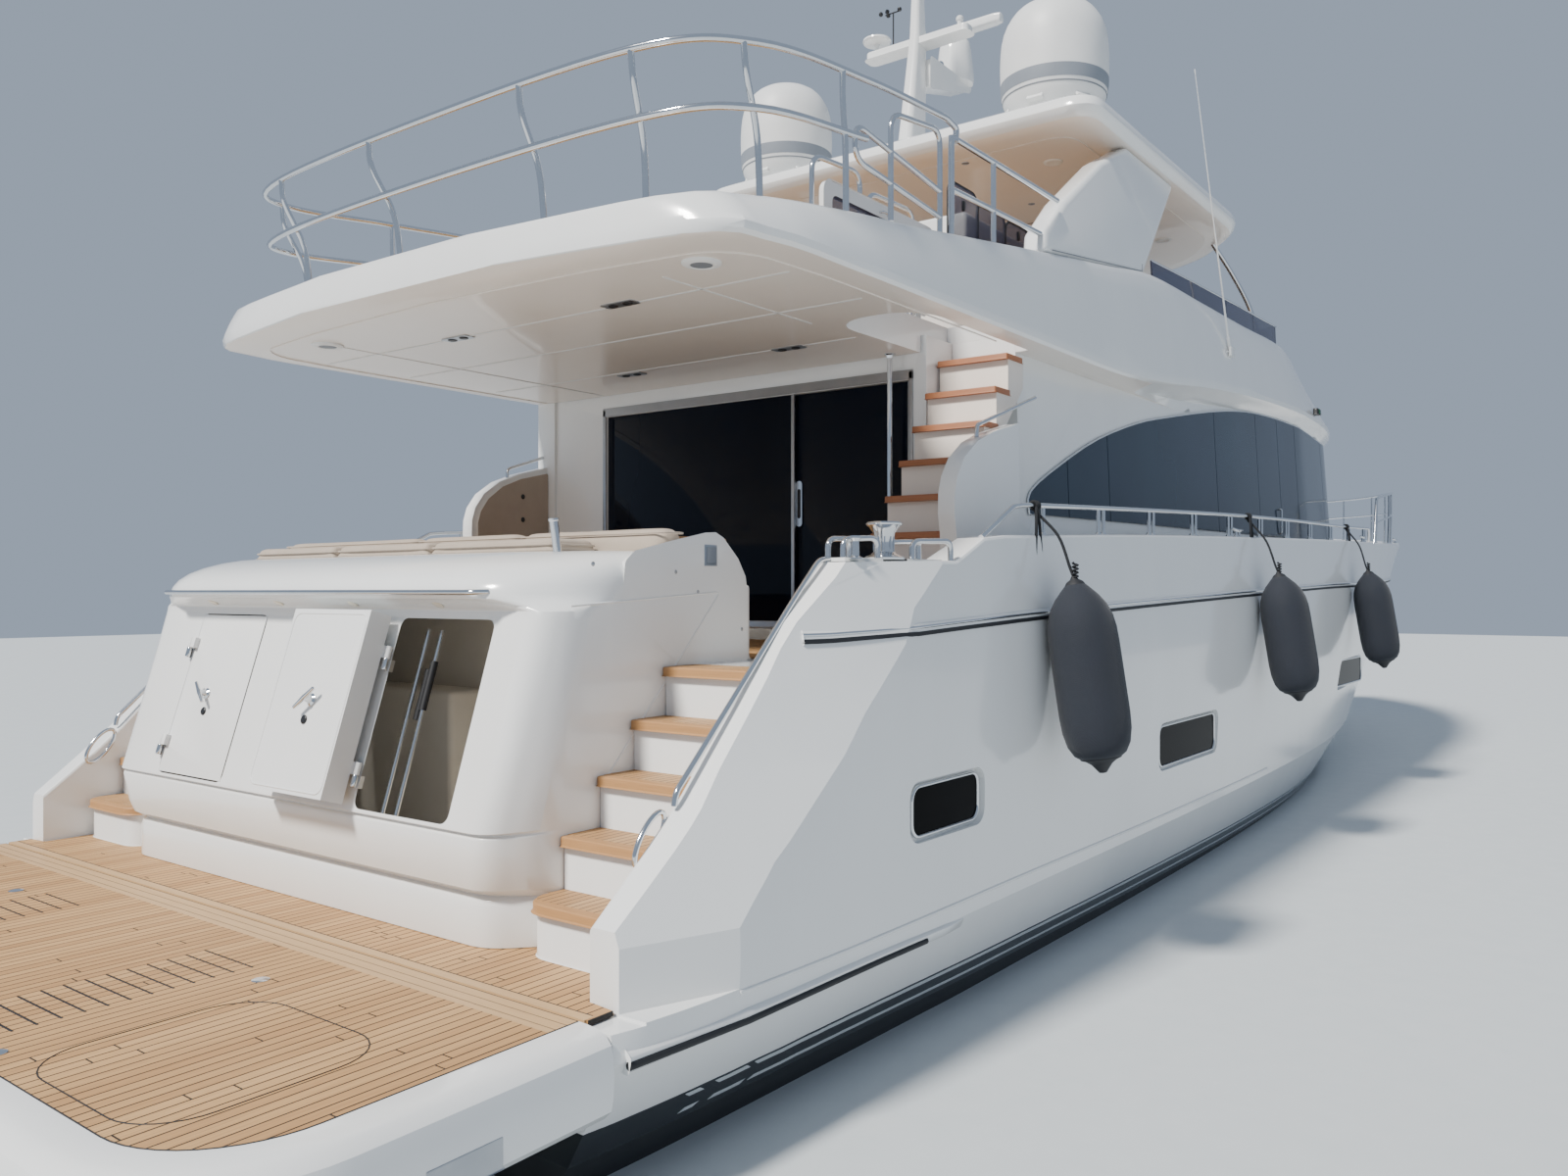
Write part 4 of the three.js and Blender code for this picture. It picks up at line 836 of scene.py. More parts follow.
def alongSide(point, rise):  # a step up the side's surface
    out = hullOut(point)
    return (Vector((0, 0, 1)) - out * out.z) * rise


def makeHullTrim():
    rails, insertsAndShadow, wires, strakes, strakeShadowLines = [], [], [], [], []
    for side in (-1, 1):
        run = sideRun(trimLook["rubRail"], side, 0.06)
        rails.append(surfaceBand("rail", run, trimLook["railWidth"], trimLook["railProud"], 0.02))
        # the black insert on the rail's lower half is partly a real rubber insert and partly painted shadow
        # under the rail
        insertsAndShadow.append(surfaceBand("insert",
                                   [Vector(p) + hullOut(p) * 0.004 - alongSide(p, 0.020) for p in run], 0.026,
                                   0.006, 0.005))
        wires.append([Vector(p) + hullOut(p) * 0.001 + alongSide(p, 0.012) for p in run])
        low = sideRun(trimLook["strake"], side)
        strakes.append(surfaceBand("strake", low + [(-7.2, side * hullSide(-7.2, 0.559), 0.559),
                                                    (-7.0, side * (hullSide(-7.0, 0.558) - 0.018), 0.558)],
                                                    0.085, 0.022, 0.02))
        # a black bar along the strake's face is painted shadow under the raised strake
        strakeShadowLines.append([Vector(p) + hullOut(p) * 0.022 for p in low])
    settle(bevelled(joined("rub_rail", rails), 0.006, 2), gel)
    settle(joined("rub_rail_insert", insertsAndShadow), blackRubber)
    barPiece("rub_rail_wire", wires, 0.010, sides=8)
    settle(bevelled(joined("lower_strake", strakes), 0.008, 2), gel)
    beads = [sideRun([(-8.88, 0.69), (-7.96, 0.669), (-6.54, 0.672), (-4.0, 0.66), (-1.0, 0.65)], side,
                     lift=-0.004) for side in (-1, 1)]
    barPiece("hull_knuckle", beads, 0.011, gel, sides=8, slot="hull_gelcoat")
    barPiece("strake_insert", strakeShadowLines, 0.017, blackRubber, sides=8)


makeHullTrim()


# Decks: teak laid over the side decks and cockpit, non-slip over the foredeck
deckLook = {"proud": 0.006, "margin": 0.05}


def makeDecks():
    proud, margin = deckLook["proud"], deckLook["margin"]
    sides = []
    for side in (-1, 1):
        inner = [(x, side * (houseWall(max(x, -5.355), 2.02) + 0.16)) for x in (-5.2, -3, 0, 2.2, 4.1)]
        outer = [(x, side * (lerpRow(hullLook["well"], x, 1) - margin)) for x in (4.1, 2.0, 0, -3, -5.2)]
        pads = [(x, y, lerpRow(hullLook["well"], x, 2)) for x, y in inner + outer]
        rings = [[(x, y, z + 0.001) for x, y, z in pads], [(x, y, z + proud) for x, y, z in pads]]
        sides.append(loftPiece("side_deck", rings))
    cockpit = [(-7.42, -2.38), (-6.45, -2.55), (-5.42, -2.58), (-5.42, 2.58), (-6.45, 2.55), (-7.42, 2.38)]
    sides.append(prismPiece("cockpit_deck", cockpit, 1.931, 1.93 + proud))
    settle(joined("deck_teak", sides), teakX)
    bow = []
    for x in (4.45, 5.5, 6.5, 7.6, 8.5, 9.5, 10.6, 11.5):
        half = lerpRow(hullLook["well"], x, 1) - 0.12
        z = lerpRow(hullLook["well"], x, 2)
        bow.append([(x, -half, z + 0.001), (x, half, z + 0.001), (x, half, z + proud), (x, -half, z + proud)])
    fore = loftPiece("foredeck_nonslip", bow)
    cut(fore, houseBlock("house_gap", 0.06, 2.0, 4.6, 3.9, 7.5),
        blockPiece("trunk_gap", (7.4, -1.3, 2.5), (10.2, 1.3, 3.6)))
    settle(fore, grip)


makeDecks()
print("stage: hull trim and decks")


# Stern moulding: plan sections from the foot up: z, aft x, width of the flat face, flank start x, flank y
sternLook = {
    "sections": [
        (0.722, -9.195, 1.60, -9.00, 1.799), (0.90, -9.195, 1.60, -9.00, 1.799),
        (0.930, -9.185, 1.60, -8.99, 1.799),
        (0.945, -9.160, 1.58, -8.97, 1.799), (0.958, -9.185, 1.60, -8.99, 1.799),
        (0.985, -9.225, 1.63, -9.02, 1.799),
        (1.05, -9.245, 1.66, -9.03, 1.799), (1.215, -9.270, 1.68, -9.04, 1.799),
        (1.226, -9.266, 1.68, -9.04, 1.799),
        (1.231, -9.250, 1.67, -9.03, 1.799), (1.239, -9.250, 1.67, -9.03, 1.799),
        (1.245, -9.276, 1.69, -9.04, 1.799),
        (1.60, -9.166, 1.70, -8.96, 1.799), (1.95, -9.058, 1.71, -8.88, 1.799),
        (2.17, -8.990, 1.72, -8.83, 1.799),
        (2.212, -8.982, 1.72, -8.82, 1.799), (2.232, -9.000, 1.66, -8.80, 1.799),
        (2.252, -9.050, 1.58, -8.78, 1.799),
        (2.268, -9.088, 1.52, -8.76, 1.799), (2.292, -9.105, 1.49, -8.75, 1.799),
        (2.330, -9.100, 1.48, -8.74, 1.799),
        (2.370, -9.072, 1.46, -8.72, 1.797), (2.410, -9.020, 1.43, -8.68, 1.790),
        (2.445, -8.945, 1.39, -8.62, 1.778),
        (2.475, -8.850, 1.33, -8.56, 1.760), (2.495, -8.740, 1.27, -8.50, 1.735),
        (2.503, -8.620, 1.20, -8.42, 1.700),
    ],
    "front": -7.9905, "rake": math.atan2(0.29, 0.94), "foot": (-9.28, 0, 1.24),
    "doors": [("crew_door_starboard", -1.44, -0.73), ("crew_door_port", 0.50, 1.20)],
}


def onTransom(piece):  # from the raked face's own directions into place
    piece.data.transform(Matrix.Translation(sternLook["foot"]) @ Matrix.Rotation(sternLook["rake"], 4, "Y"))
    return piece


def facePoint(out, y, up):  # a point out from the raked face, up along it
    rake = sternLook["rake"]
    foot = sternLook["foot"]
    return Vector((foot[0] - out * math.cos(rake) + up * math.sin(rake), y,
                   foot[2] + out * math.sin(rake) + up * math.cos(rake)))


def sternPlan(z, aftX, flat, flankX, flankY):
    half = [(aftX, 0), (aftX, flat), (flankX, flankY), (sternLook["front"], flankY)]
    run = bentPath([(x, y, 0) for x, y in half], 0.10 + 1.2 * max(0.0, z - 2.2), 8)
    side = [(p.x, p.y) for p in run]
    return [(x, y, z) for x, y in side] + [(x, -y, z) for x, y in reversed(side) if y > 0]


def makeStern():
    rings = [sternPlan(*section) for section in sternLook["sections"]]
    block = loftPiece("stern_block", rings)
    room = blockPiece("room", (-8.88, -1.51, 0.90), (-8.15, 1.36, 2.24))
    notch = blockPiece("notch", (-8.188, -1.752, 2.424), (-7.9, 1.752, 2.6))
    holes = []
    for _, low, high in sternLook["doors"]:
        outline = roundedRect(low, high, 0.025, 0.975, 0.05)
        holes.append(onTransom(prismPiece("hole", outline, -0.12, 0.45, axis="x")))
    cut(block, room, notch, *holes)
    block = bevelled(cleaned(block, flat=0.2), 0.012, 3, 40)
    base = bevelled(blockPiece("sofa_base", (-7.992, -1.75, 1.932), (-7.48, 1.75, 2.34)), 0.02, 3)
    parts = [block, base]
    arm = [(-8.52, 2.22), (-8.50, 2.44), (-8.44, 2.488), (-8.20, 2.54), (-7.92, 2.595), (-7.84, 2.60),
           (-7.78, 2.575), (-7.66, 2.47), (-7.60, 2.38), (-7.584, 2.30),
           (-7.582, 1.932), (-8.10, 1.932)]
    for side in (-1, 1):
        near, far = sorted((side * 1.7525, side * 1.7998))
        parts.append(bevelled(prismPiece("arm", arm, near, far, axis="y"), 0.012, 3))
    settle(joined("stern_shell", parts), gel, replaces=("stern_moulding",), smooth=30)
    back = bevelled(blockPiece("lining_back", (-8.165, -1.49, 0.905), (-8.152, 1.34, 2.235)), 0.004, 2)
    floor = bevelled(blockPiece("lining_floor", (-8.87, -1.50, 0.902), (-8.16, 1.35, 0.925)), 0.004, 2)
    inner = blockPiece("lining_side", (-8.87, -1.509, 0.92), (-8.16, -1.499, 2.23))
    locker = bevelled(blockPiece("lining_locker", (-8.45, -0.40, 0.93), (-8.17, 1.30, 1.75)), 0.03, 3)
    settle(joined("crew_space_lining", [back, floor, inner, locker]), lining)
    # hinge lugs stand where the solids have them
    lugs = []
    for _, low, high in sternLook["doors"]:
        for up in (0.18, 0.76):
            lug = lathePiece("lug", [(0.003, -0.06), (0.013, -0.058), (0.015, -0.054), (0.015, -0.006),
                                     (0.013, -0.0006), (0.003, -0.0004)], 24)
            lug.data.transform(Matrix.Translation((-0.022, high + 0.008, up)))
            foot = blockPiece("foot", (-0.022, high + 0.008, up - 0.06), (0.03, high + 0.023, up - 0.0005))
            lugs += [onTransom(lug), onTransom(foot)]
    settle(joined("crew_door_lugs", lugs), stainless)


def makeSternFittings():
    rod = [(-9.060, -1.47, 2.300), (-9.122, -1.42, 2.298), (-9.124, 0, 2.298), (-9.122, 1.42, 2.298),
           (-9.060, 1.47, 2.300)]
    barPiece("transom_grab_tube", [bentPath(rod, 0.04)], 0.013)
    # lamps in the lip's soffit
    lamp = lathePiece("lamp", [(0.001, 0.0), (0.028, 0.0), (0.030, -0.004), (0.024, -0.008), (0.001, -0.008)],
                      20)
    places = [((-9.02, y, 2.240), (0, math.radians(28), 0)) for y in (-1.05, -0.35, 0.35, 1.05)]
    fittingPiece("transom_lamps", lamp, places, lampLens)
    socket = bevelled(blockPiece("socket_plate", (-7.93, -1.8035, 2.435), (-7.83, -1.796, 2.545)), 0.004, 2)
    settle(socket, satinSteel)
    inset = bevelled(blockPiece("socket_cover", (-7.918, -1.808, 2.447), (-7.842, -1.802, 2.533)), 0.003, 2)
    settle(inset, greyBand)
    holder = lathePiece("rod_holder", [(0.021, -0.10), (0.021, 0.10), (0.026, 0.105), (0.026, 0.115),
                                       (0.019, 0.115), (0.019, -0.1)], 24, (-8.62, -1.44, 2.545),
                                       (-0.12, 0.05, 1))
    settle(holder, stainless)
    studs = [((x, -1.7995, z), (math.radians(90), 0,
                                0)) for x, z in ((-8.72, 2.43), (-8.15, 2.40), (-7.98, 2.30), (-7.62, 2.10),
                                                 (-8.35, 1.62))]
    stud = lathePiece("stud", [(0.001, 0.004), (0.008, 0.003), (0.011, 0.0), (0.011, -0.004), (0.001, -0.004)],
                      12)
    fittingPiece("flank_studs", stud, studs, satinSteel)
    # the flank's soft crease, down beside the stair
    for label, side in bothSides:
        crease = bentPath([(-8.86, side * 1.7985, 2.235), (-7.80, side * 1.7985, 2.30),
                           (-8.64, side * 1.7985, 1.42)], 0.05)
        barPiece("flank_crease_" + label, [crease], 0.0055, gel, 8)
    # inside the crew space: grab rail, and the struts beside the opening
    grab = [(-8.62, -1.505, 1.76), (-8.62, -1.46, 1.74), (-8.42, -1.46, 1.55), (-8.42, -1.505, 1.53)]
    posts = [[facePoint(-0.158, -0.752, 0.02), facePoint(-0.158, -0.752, 0.96)],
             [facePoint(-0.18, -0.83, 0.0), facePoint(-0.18, -0.83, 0.96)]]
    barPiece("crew_grab_rail", [bentPath(grab, 0.04), posts[0], posts[1]], 0.011)
    struts = [[facePoint(-0.18, -0.83, 0.55), facePoint(-0.18, -0.83, 0.80)],
              [facePoint(-0.20, -0.775, 0.50), facePoint(-0.20, -0.775, 0.76)]]
    barPiece("crew_door_struts", struts, 0.018, blackRubber)


makeStern()
makeSternFittings()


# Crew doors: thick moulded leaves; each has a T handle and a round lock on both faces
doorLook = {"thick": 0.12, "hingeOut": 0.022, "hingeSide": 0.008,
            "turns": {"crew_door_starboard": -180, "crew_door_port": 0}}


def makeCrewDoors():
    for name, low, high in sternLook["doors"]:
        leaf = fromNode(name, name + "_leaf", 0.009, 3, 30)
        settle(leaf, gel, body=name, replaces=(name,), smooth=32)
        turn = Matrix.Rotation(math.radians(doorLook["turns"][name]), 4, "Z")
        hinge = Matrix.Translation((-doorLook["hingeOut"], high + doorLook["hingeSide"], 0))
        width = high - low - 0.016
        parts, dark = [], []
        for face, sign in ((doorLook["hingeOut"], -1), (doorLook["hingeOut"] + doorLook["thick"], 1)):
            y = -0.016 - width * 0.42
            boss = lathePiece("boss", [(0.002, -0.002), (0.030, -0.002), (0.032, 0.006), (0.020, 0.014),
                                       (0.014, 0.04), (0.016, 0.052), (0.002, 0.054)], 24, (face, y, 0.50),
                                       (sign, 0, 0))
            lock = lathePiece("lock", [(0.002, -0.002), (0.021, -0.002), (0.023, 0.005), (0.018, 0.009),
                                       (0.002, 0.009)], 24, (face, y - 0.02, 0.40), (sign, 0, 0))
            grab = lathePiece("grab", [(0.004, -0.085), (0.009, -0.08), (0.011, -0.03), (0.013, 0.0),
                                       (0.011, 0.03), (0.009, 0.08), (0.004, 0.085)], 16,
                                       (face + sign * 0.048, y, 0.50), (0, 0.76, 0.65))
            parts += [boss, grab]
            dark.append(lock)
        for group, look, label in ((parts, stainless, "_handle"), (dark, blackPlastic, "_lock")):
            made = joined(name + label, group)
            made.data.transform(hinge @ turn)
            onTransom(made)
            settle(made, look, body=name, slot="stainless" if look is stainless else "grey_plastic")
        around = roundedRect(-0.016 - width + 0.05, -0.03, 0.055, 0.945, 0.05)
        seal = [(doorLook["hingeOut"] + 0.118, y, z) for y, z in around]
        loop = barPiece(name + "_seal", [[hinge @ turn @ Vector(p) for p in seal + seal[:1]]], 0.006, gel, 8,
                        body=name)
        onTransom(loop)


makeCrewDoors()


# Stern stairs: white steps, planked teak inside boards at their noses; the lowest step's corner is round
stairLook = {"foot": -9.13, "going": 0.225, "riser": 0.242, "count": 5, "inner": 1.8005, "outer": 2.4395,
             "base": 0.7205, "front": -7.9905, "nose": 0.05, "lip": 0.024}


def stepPlan(aft, fore, side, grow, radius):
    look = stairLook
    corners = [(fore, look["outer"] - 0.002), (aft - grow, look["outer"] - 0.002),
               (aft - grow, look["inner"] + 0.002), (fore, look["inner"] + 0.002)]
    run = bentPath([(x, y, 0) for x, y in corners], radius,
                   8) if radius else [Vector((x, y, 0)) for x, y in corners]
    plan = [(p.x, side * p.y) for p in run]
    return plan if side < 0 else plan[::-1]


def makeSternStairs():
    look = stairLook
    for label, side in bothSides:
        bodies, treads, noses = [], [], []
        for step in range(look["count"]):
            x = look["foot"] + step * look["going"]
            top = 0.72 + (step + 1) * look["riser"]
            end = x + look["going"] + 0.06 if step < look["count"] - 1 else look["front"]
            radius = 0.0 if step else 0.14
            plan = stepPlan(x, look["front"], side, 0.0, radius)
            bodies.append(bevelled(prismPiece("riser", plan, look["base"], top - 0.046), 0.006, 2))
            board = prismPiece("board", stepPlan(x, end, side, look["lip"], radius), top - 0.0465, top - 0.0005)
            noses.append(bevelled(board, 0.009, 3))
            treads.append(prismPiece("tread", stepPlan(x, end, side, look["lip"] - look["nose"], radius * 0.6),
                                     top - 0.004, top))
        body = joined("stern_steps_" + label, bodies)
        settle(body, gel, replaces=("stern_stair_" + label,))
        settle(joined("stern_treads_" + label, treads), teakTread, smooth=20)
        settle(joined("stern_noses_" + label, noses), nosing)
        lamp = lathePiece("lamp", [(0.001, 0.004), (0.012, 0.003), (0.015, 0.0), (0.001, -0.002)], 14)
        turn = math.radians(90 if side > 0 else -90)
        wall = [((look["foot"] + 0.12 + look["going"] * i, side * 2.4385, 0.84 + look["riser"] * i),
                 (turn, 0, 0))
                for i in range(1, look["count"])]
        fittingPiece("stair_lamps_" + label, lamp, wall, lampLens)


makeSternStairs()


# Quarter wings: stainless strips on the inner edge, fairleads and the low rails round the capstans
quarterLook = {"capstan": (-7.45, 2.59, 2.462), "strip": [(-8.93, 1.40), (-8.92, 1.455), (-8.45, 1.905),
                                                          (-8.05, 2.29), (-7.88, 2.445), (-7.80, 2.45)],
               "plate": [(-7.80, 2.485), (-7.12, 2.515), (-7.12, 2.745), (-7.45, 2.675), (-7.80, 2.585)]}


def makeQuarters():
    for label, side in bothSides:
        strip = bentPath([(x, side * 2.49, z + 0.012) for x, z in quarterLook["strip"]], 0.05)
        barPiece("wing_rail_" + label, [strip], 0.014)
        # closed fairlead set into the wing
        ring = [(-9.02 + 0.12 * math.cos(t) * 0.74 - 0.02, side * 2.455,
                 1.29 + 0.12 * math.sin(t) * 0.62 + 0.07 * math.cos(t))
                for t in [i * math.pi / 12 for i in range(25)]]
        barPiece("wing_fairlead_" + label, [ring], 0.012)
        cx, cy, cz = quarterLook["capstan"]
        profile = [(0.002, 0.0005), (0.108, 0.0006), (0.109, 0.012), (0.098, 0.02), (0.080, 0.026),
                   (0.056, 0.042), (0.050, 0.07), (0.050, 0.10),
                   (0.058, 0.14), (0.078, 0.168), (0.092, 0.178), (0.094, 0.186), (0.086, 0.194),
                   (0.040, 0.197), (0.002, 0.198)]
        drum = lathePiece("capstan_" + label, profile, 40, (cx, side * cy, cz))
        settle(drum, stainless, replaces=("stern_capstan_" + label,))
        ribs = [((cx + 0.052 * math.cos(a), side * cy + 0.052 * math.sin(a), cz + 0.085), (0, 0, a)) for a in
                [i * math.pi / 5 for i in range(10)]]
        rib = bevelled(blockPiece("rib", (-0.004, -0.004, -0.035), (0.004, 0.004, 0.035)), 0.002, 2)
        fittingPiece("capstan_ribs_" + label, rib, ribs, stainless)
        plate = bevelled(prismPiece("quarter_plate_" + label, [(x, side * y) for x, y in quarterLook["plate"]],
                                    cz - 0.012, cz + 0.006), 0.004, 2)
        cut(plate, lathePiece("gap", [(0.002, -0.1), (0.118, -0.1), (0.118, 0.1), (0.002, 0.1)], 32,
                              (cx, side * cy, cz)))
        settle(plate, grip)
        loops = []
        for x0, y0, x1, y1 in ((-7.78, 2.56, -7.56, 2.62), (-7.33, 2.685, -7.03, 2.745),
                               (-7.80, 2.485, -7.62, 2.49), (-7.28, 2.51, -7.04, 2.54)):
            foot = lerpRow(hullRows, (x0 + x1) / 2, 7) - 0.01
            path = bentPath([(x0, side * y0, foot), (x0, side * y0, 2.560), (x1, side * y1, 2.570),
                             (x1, side * y1, foot)], 0.05)
            loops.append(path)
        barPiece("quarter_rails_" + label, loops, 0.015)
        pins = [(x, side * 2.62, 2.462) for x in (-7.76, -7.16)]
        bollard = lathePiece("bollard", [(0.002, 0), (0.034, 0), (0.034, 0.006), (0.020, 0.014), (0.018, 0.085),
                                         (0.028, 0.10), (0.026, 0.112), (0.002, 0.116)], 24)
        fittingPiece("quarter_bollards_" + label, bollard, pins, stainless)


makeQuarters()
print("stage: stern")


# Swim platform: rounded edge profile of inset and height, teak set in, slots and a hatch in the teak
platformLook = {
    "aft": -11.20, "fore": -9.545, "halfWidth": 2.755, "radius": 0.62,
    "edge": [(0.12, 0.380), (0.05, 0.395), (0.015, 0.43), (0.004, 0.48), (0.0, 0.55), (0.002, 0.62),
             (0.014, 0.668),
             (0.045, 0.700), (0.09, 0.714), (0.15, 0.719), (0.19, 0.7195)],
    "teakInset": 0.185, "armY": 0.90,
}


def platformPlan(inset, foreInset=0.0):
    look = platformLook
    aft, fore, half = look["aft"] + inset, look["fore"] - foreInset, look["halfWidth"] - inset
    radius = max(look["radius"] - inset, 0.1)
    return [(fore, -half), (fore, half)] + [(x, -y) for x, y in roundedAft(aft, -half, half, radius, 12)]


def makePlatform():
    look = platformLook
    rings = [[(x, y, z) for x, y in platformPlan(inset)] for inset, z in look["edge"]]
    slab = loftPiece("platform_slab", rings)
    arms = []
    for y in (-look["armY"], look["armY"]):
        outline = [(-10.445, 0.385), (-9.5305, 0.15), (-9.5305, -0.12), (-9.945, -0.12), (-10.645, 0.385)]
        arms.append(bevelled(prismPiece("arm", outline, y - 0.07, y + 0.07, axis="y"), 0.012, 2))
    settle(joined("platform_slab", [slab] + arms), gel, body="swim_platform", replaces=("swim_platform",),
           smooth=30)
    teakTop = 0.7215
    field = prismPiece("platform_teak", platformPlan(look["teakInset"], 0.15), 0.712, teakTop)
    slots = []
    for i in range(13):
        x = -10.92 + i * 0.082
        for y in (-1.02, 0.62):
            slots.append(prismPiece("slot", roundedRect(x, x + 0.012, y, y + 0.40, 0.005, 3), 0.70, 0.74))
    cut(field, joined("slots", slots))
    settle(field, teakX, body="swim_platform", smooth=20)
    # a black sheet just under the slots is painted shade, standing in for the darkness down deep slots
    slotShadeSheets = [blockPiece("slot_floor", (-10.95, y, 0.7190),
                            (-9.90, y + 0.46, 0.7203)) for y in (-1.05, 0.59)]
    settle(joined("platform_slot_floor", slotShadeSheets), blackRubber, body="swim_platform")
    margin = [blockPiece("margin", (aft, -2.57, 0.712), (fore, 2.57, teakTop))
              for aft, fore in ((-9.60, -9.552), (-9.655, -9.605), (-9.695, -9.66))]
    under = blockPiece("platform_margin_caulk", (-9.698, -2.57, 0.7185), (-9.553, 2.57, 0.7205))
    settle(under, blackRubber, body="swim_platform")
    settle(joined("platform_margin_boards", margin), teakBoard, body="swim_platform")
    border = platformPlan(look["teakInset"] - 0.002, 0.004)
    loop = [(x, y, 0.7185) for x, y in border] + [(border[0][0], border[0][1], 0.7185)]
    barPiece("platform_caulk_line", [loop], 0.0035, blackRubber, 6, body="swim_platform")
    hatch = [(x, y, 0.7212) for x, y in roundedRect(-10.95, -10.10, -2.25, -1.35, 0.22, 8)]
    port = [(x, -y, z) for x, y, z in hatch]
    barPiece("platform_hatch_seams", [hatch + hatch[:1], port + port[:1]], 0.003, blackRubber, 6,
             body="swim_platform")
    strips = []
    for inset, z in ((0.016, 0.578), (0.008, 0.601)):
        plan = platformPlan(inset)
        strips.append([(x, y, z) for x, y in plan[1:] + plan[:1]])
    barPiece("platform_rubber_strip", strips[:1], 0.015, blackRubber, 8, body="swim_platform")
    barPiece("platform_steel_strip", strips[1:], 0.006, stainless, 8, body="swim_platform")
    pads = [(x, y, teakTop) for y in (-1.20, 1.20) for x in (-10.95, -10.0)]
    eye = lathePiece("eye", [(0.002, 0), (0.036, 0), (0.036, 0.003), (0.026, 0.006), (0.002, 0.006)], 20)
    fittingPiece("platform_lashing_plates", eye, pads, stainless, body="swim_platform")
    box = bevelled(blockPiece("platform_side_box", (-10.35, -2.757, 0.43), (-10.05, -2.72, 0.535)), 0.006, 2)
    settle(box, satinSteel, body="swim_platform")


def makeAfterDeck():  # the fixed strip of teak between the platform's gap and the stairs
    outline = [(-9.52, -2.60), (-9.395, -2.60), (-9.375, -2.44), (-8.90, -2.44), (-8.90, 2.44), (-9.375, 2.44),
               (-9.395, 2.60), (-9.52, 2.60)]
    deck = prismPiece("after_deck_teak", outline, 0.7005, 0.7200)
    settle(deck, teakX, smooth=20)
    board = blockPiece("after_deck_board", (-9.530, -2.585, 0.698), (-9.480, 2.585, 0.7208))
    settle(board, teakBoard)
    barPiece("after_deck_caulk", [[(-9.478, -2.575, 0.7195), (-9.478, 2.575, 0.7195)]], 0.003, blackRubber, 6)
    sill = bevelled(blockPiece("after_deck_edge", (-9.531, -2.60, 0.56), (-9.505, 2.60, 0.6975)), 0.006, 2)
    settle(sill, gel)


makePlatform()
makeAfterDeck()
print("stage: platform")


# Deckhouse shell, its glass and frames
glassLook = {
    "outline": [(-4.87, 2.85), (-4.84, 3.01), (-4.33, 3.24), (-3.59, 3.51), (-2.7, 3.74), (-1.94, 3.88),
                (-0.71, 4.08),
                (0.3, 4.21), (1.13, 4.28), (2.2, 4.325), (3.42, 4.34), (4.7, 4.325), (5.69, 4.285),
                (6.45, 3.89),
                (7.19, 3.49), (7.15, 3.15), (6.9, 2.99)],
    "seams": [-4.2, -3.4, -0.59, 0.93, 1.86, 2.70, 4.6, 5.9], "gap": 0.005, "thick": 0.0135, "room": 0.0006,
}


def makeDeckhouse():
    house = fromNode("deckhouse", "deckhouse_shell", 0.028, 4, 50)
    settle(house, gel, replaces=("deckhouse",), smooth=32)


def splitAt(bm, x):
    geom = bm.verts[:] + bm.edges[:] + bm.faces[:]
    bmesh.ops.bisect_plane(bm, geom=geom, plane_co=(x, 0, 0), plane_no=(1, 0, 0))


def sideSheet(name, outline, side, near, far, step=0.2, seams=()):
    # a plate on the house wall, cut from its side outline; the wall's rake and curve give it its place
    bm = bmesh.new()
    bm.faces.new([bm.verts.new((x, 0, z)) for x, z in outline])
    low, high = min(p[0] for p in outline), max(p[0] for p in outline)
    for i in range(1, int((high - low) / step) + 1):
        splitAt(bm, low + step * i)
    for seam in seams:
        for x in (seam - glassLook["gap"], seam + glassLook["gap"]):
            splitAt(bm, x)
        between = [f for f in bm.faces if abs(f.calc_center_median().x - seam) < glassLook["gap"] * 0.9]
        bmesh.ops.delete(bm, geom=between, context="FACES")
    result = bmesh.ops.extrude_face_region(bm, geom=bm.faces[:])
    for vert in [v for v in result["geom"] if isinstance(v, bmesh.types.BMVert)]:
        vert.co.y = 1
    for vert in bm.verts:
        wall = houseWall(vert.co.x, vert.co.z)
        vert.co.y = side * (wall + (far if vert.co.y > 0.5 else near))
    bmesh.ops.delete(bm, geom=[v for v in bm.verts if not v.link_faces], context="VERTS")
    mesh = bpy.data.meshes.new(name)
    bm.to_mesh(mesh)
    bm.free()
    return pieceOf(name, mesh)


def makeSideGlass():
    arch = [(p.x, p.z) for p in smoothPath([(x, 0, z) for x, z in glassLook["outline"]], 3)]
    room, thick = glassLook["room"], glassLook["thick"]
    for label, side in bothSides:
        panes = sideSheet("side_panes_" + label, arch, side, room, room + thick, 0.2, glassLook["seams"])
        settle(bevelled(cleaned(panes, flat=0), 0.002, 2, 40), filmGlass,
               replaces=("side_glass_" + label,), smooth=20)
        backing = [sideSheet("backing", [(s - 0.03, zLow), (s - 0.03, zHigh), (s + 0.03, zHigh),
                                         (s + 0.03, zLow)], side,
                             room * 0.2, room + thick * 0.6, 0.1)
                   for s, zLow, zHigh in seamSpans(arch)]
        settle(joined("side_seams_" + label, backing), blackRubber)
        trim = []
        for x, z in arch + arch[:1]:
            trim.append((x, side * (houseWall(x, z) + 0.008), z))
        barPiece("side_glass_trim_" + label, [trim], 0.008, stainless, 8)
        # the sliding side door's handle
        x = 1.72
        z0 = 3.25
        wall = houseWall(x, z0) + 0.05
        handle = bentPath([(x, side * (wall - 0.045), z0), (x, side * wall, z0), (x, side * wall, z0 - 0.28),
                           (x, side * (wall - 0.045), z0 - 0.28)], 0.03)
        barPiece("side_door_handle_" + label, [handle], 0.011)


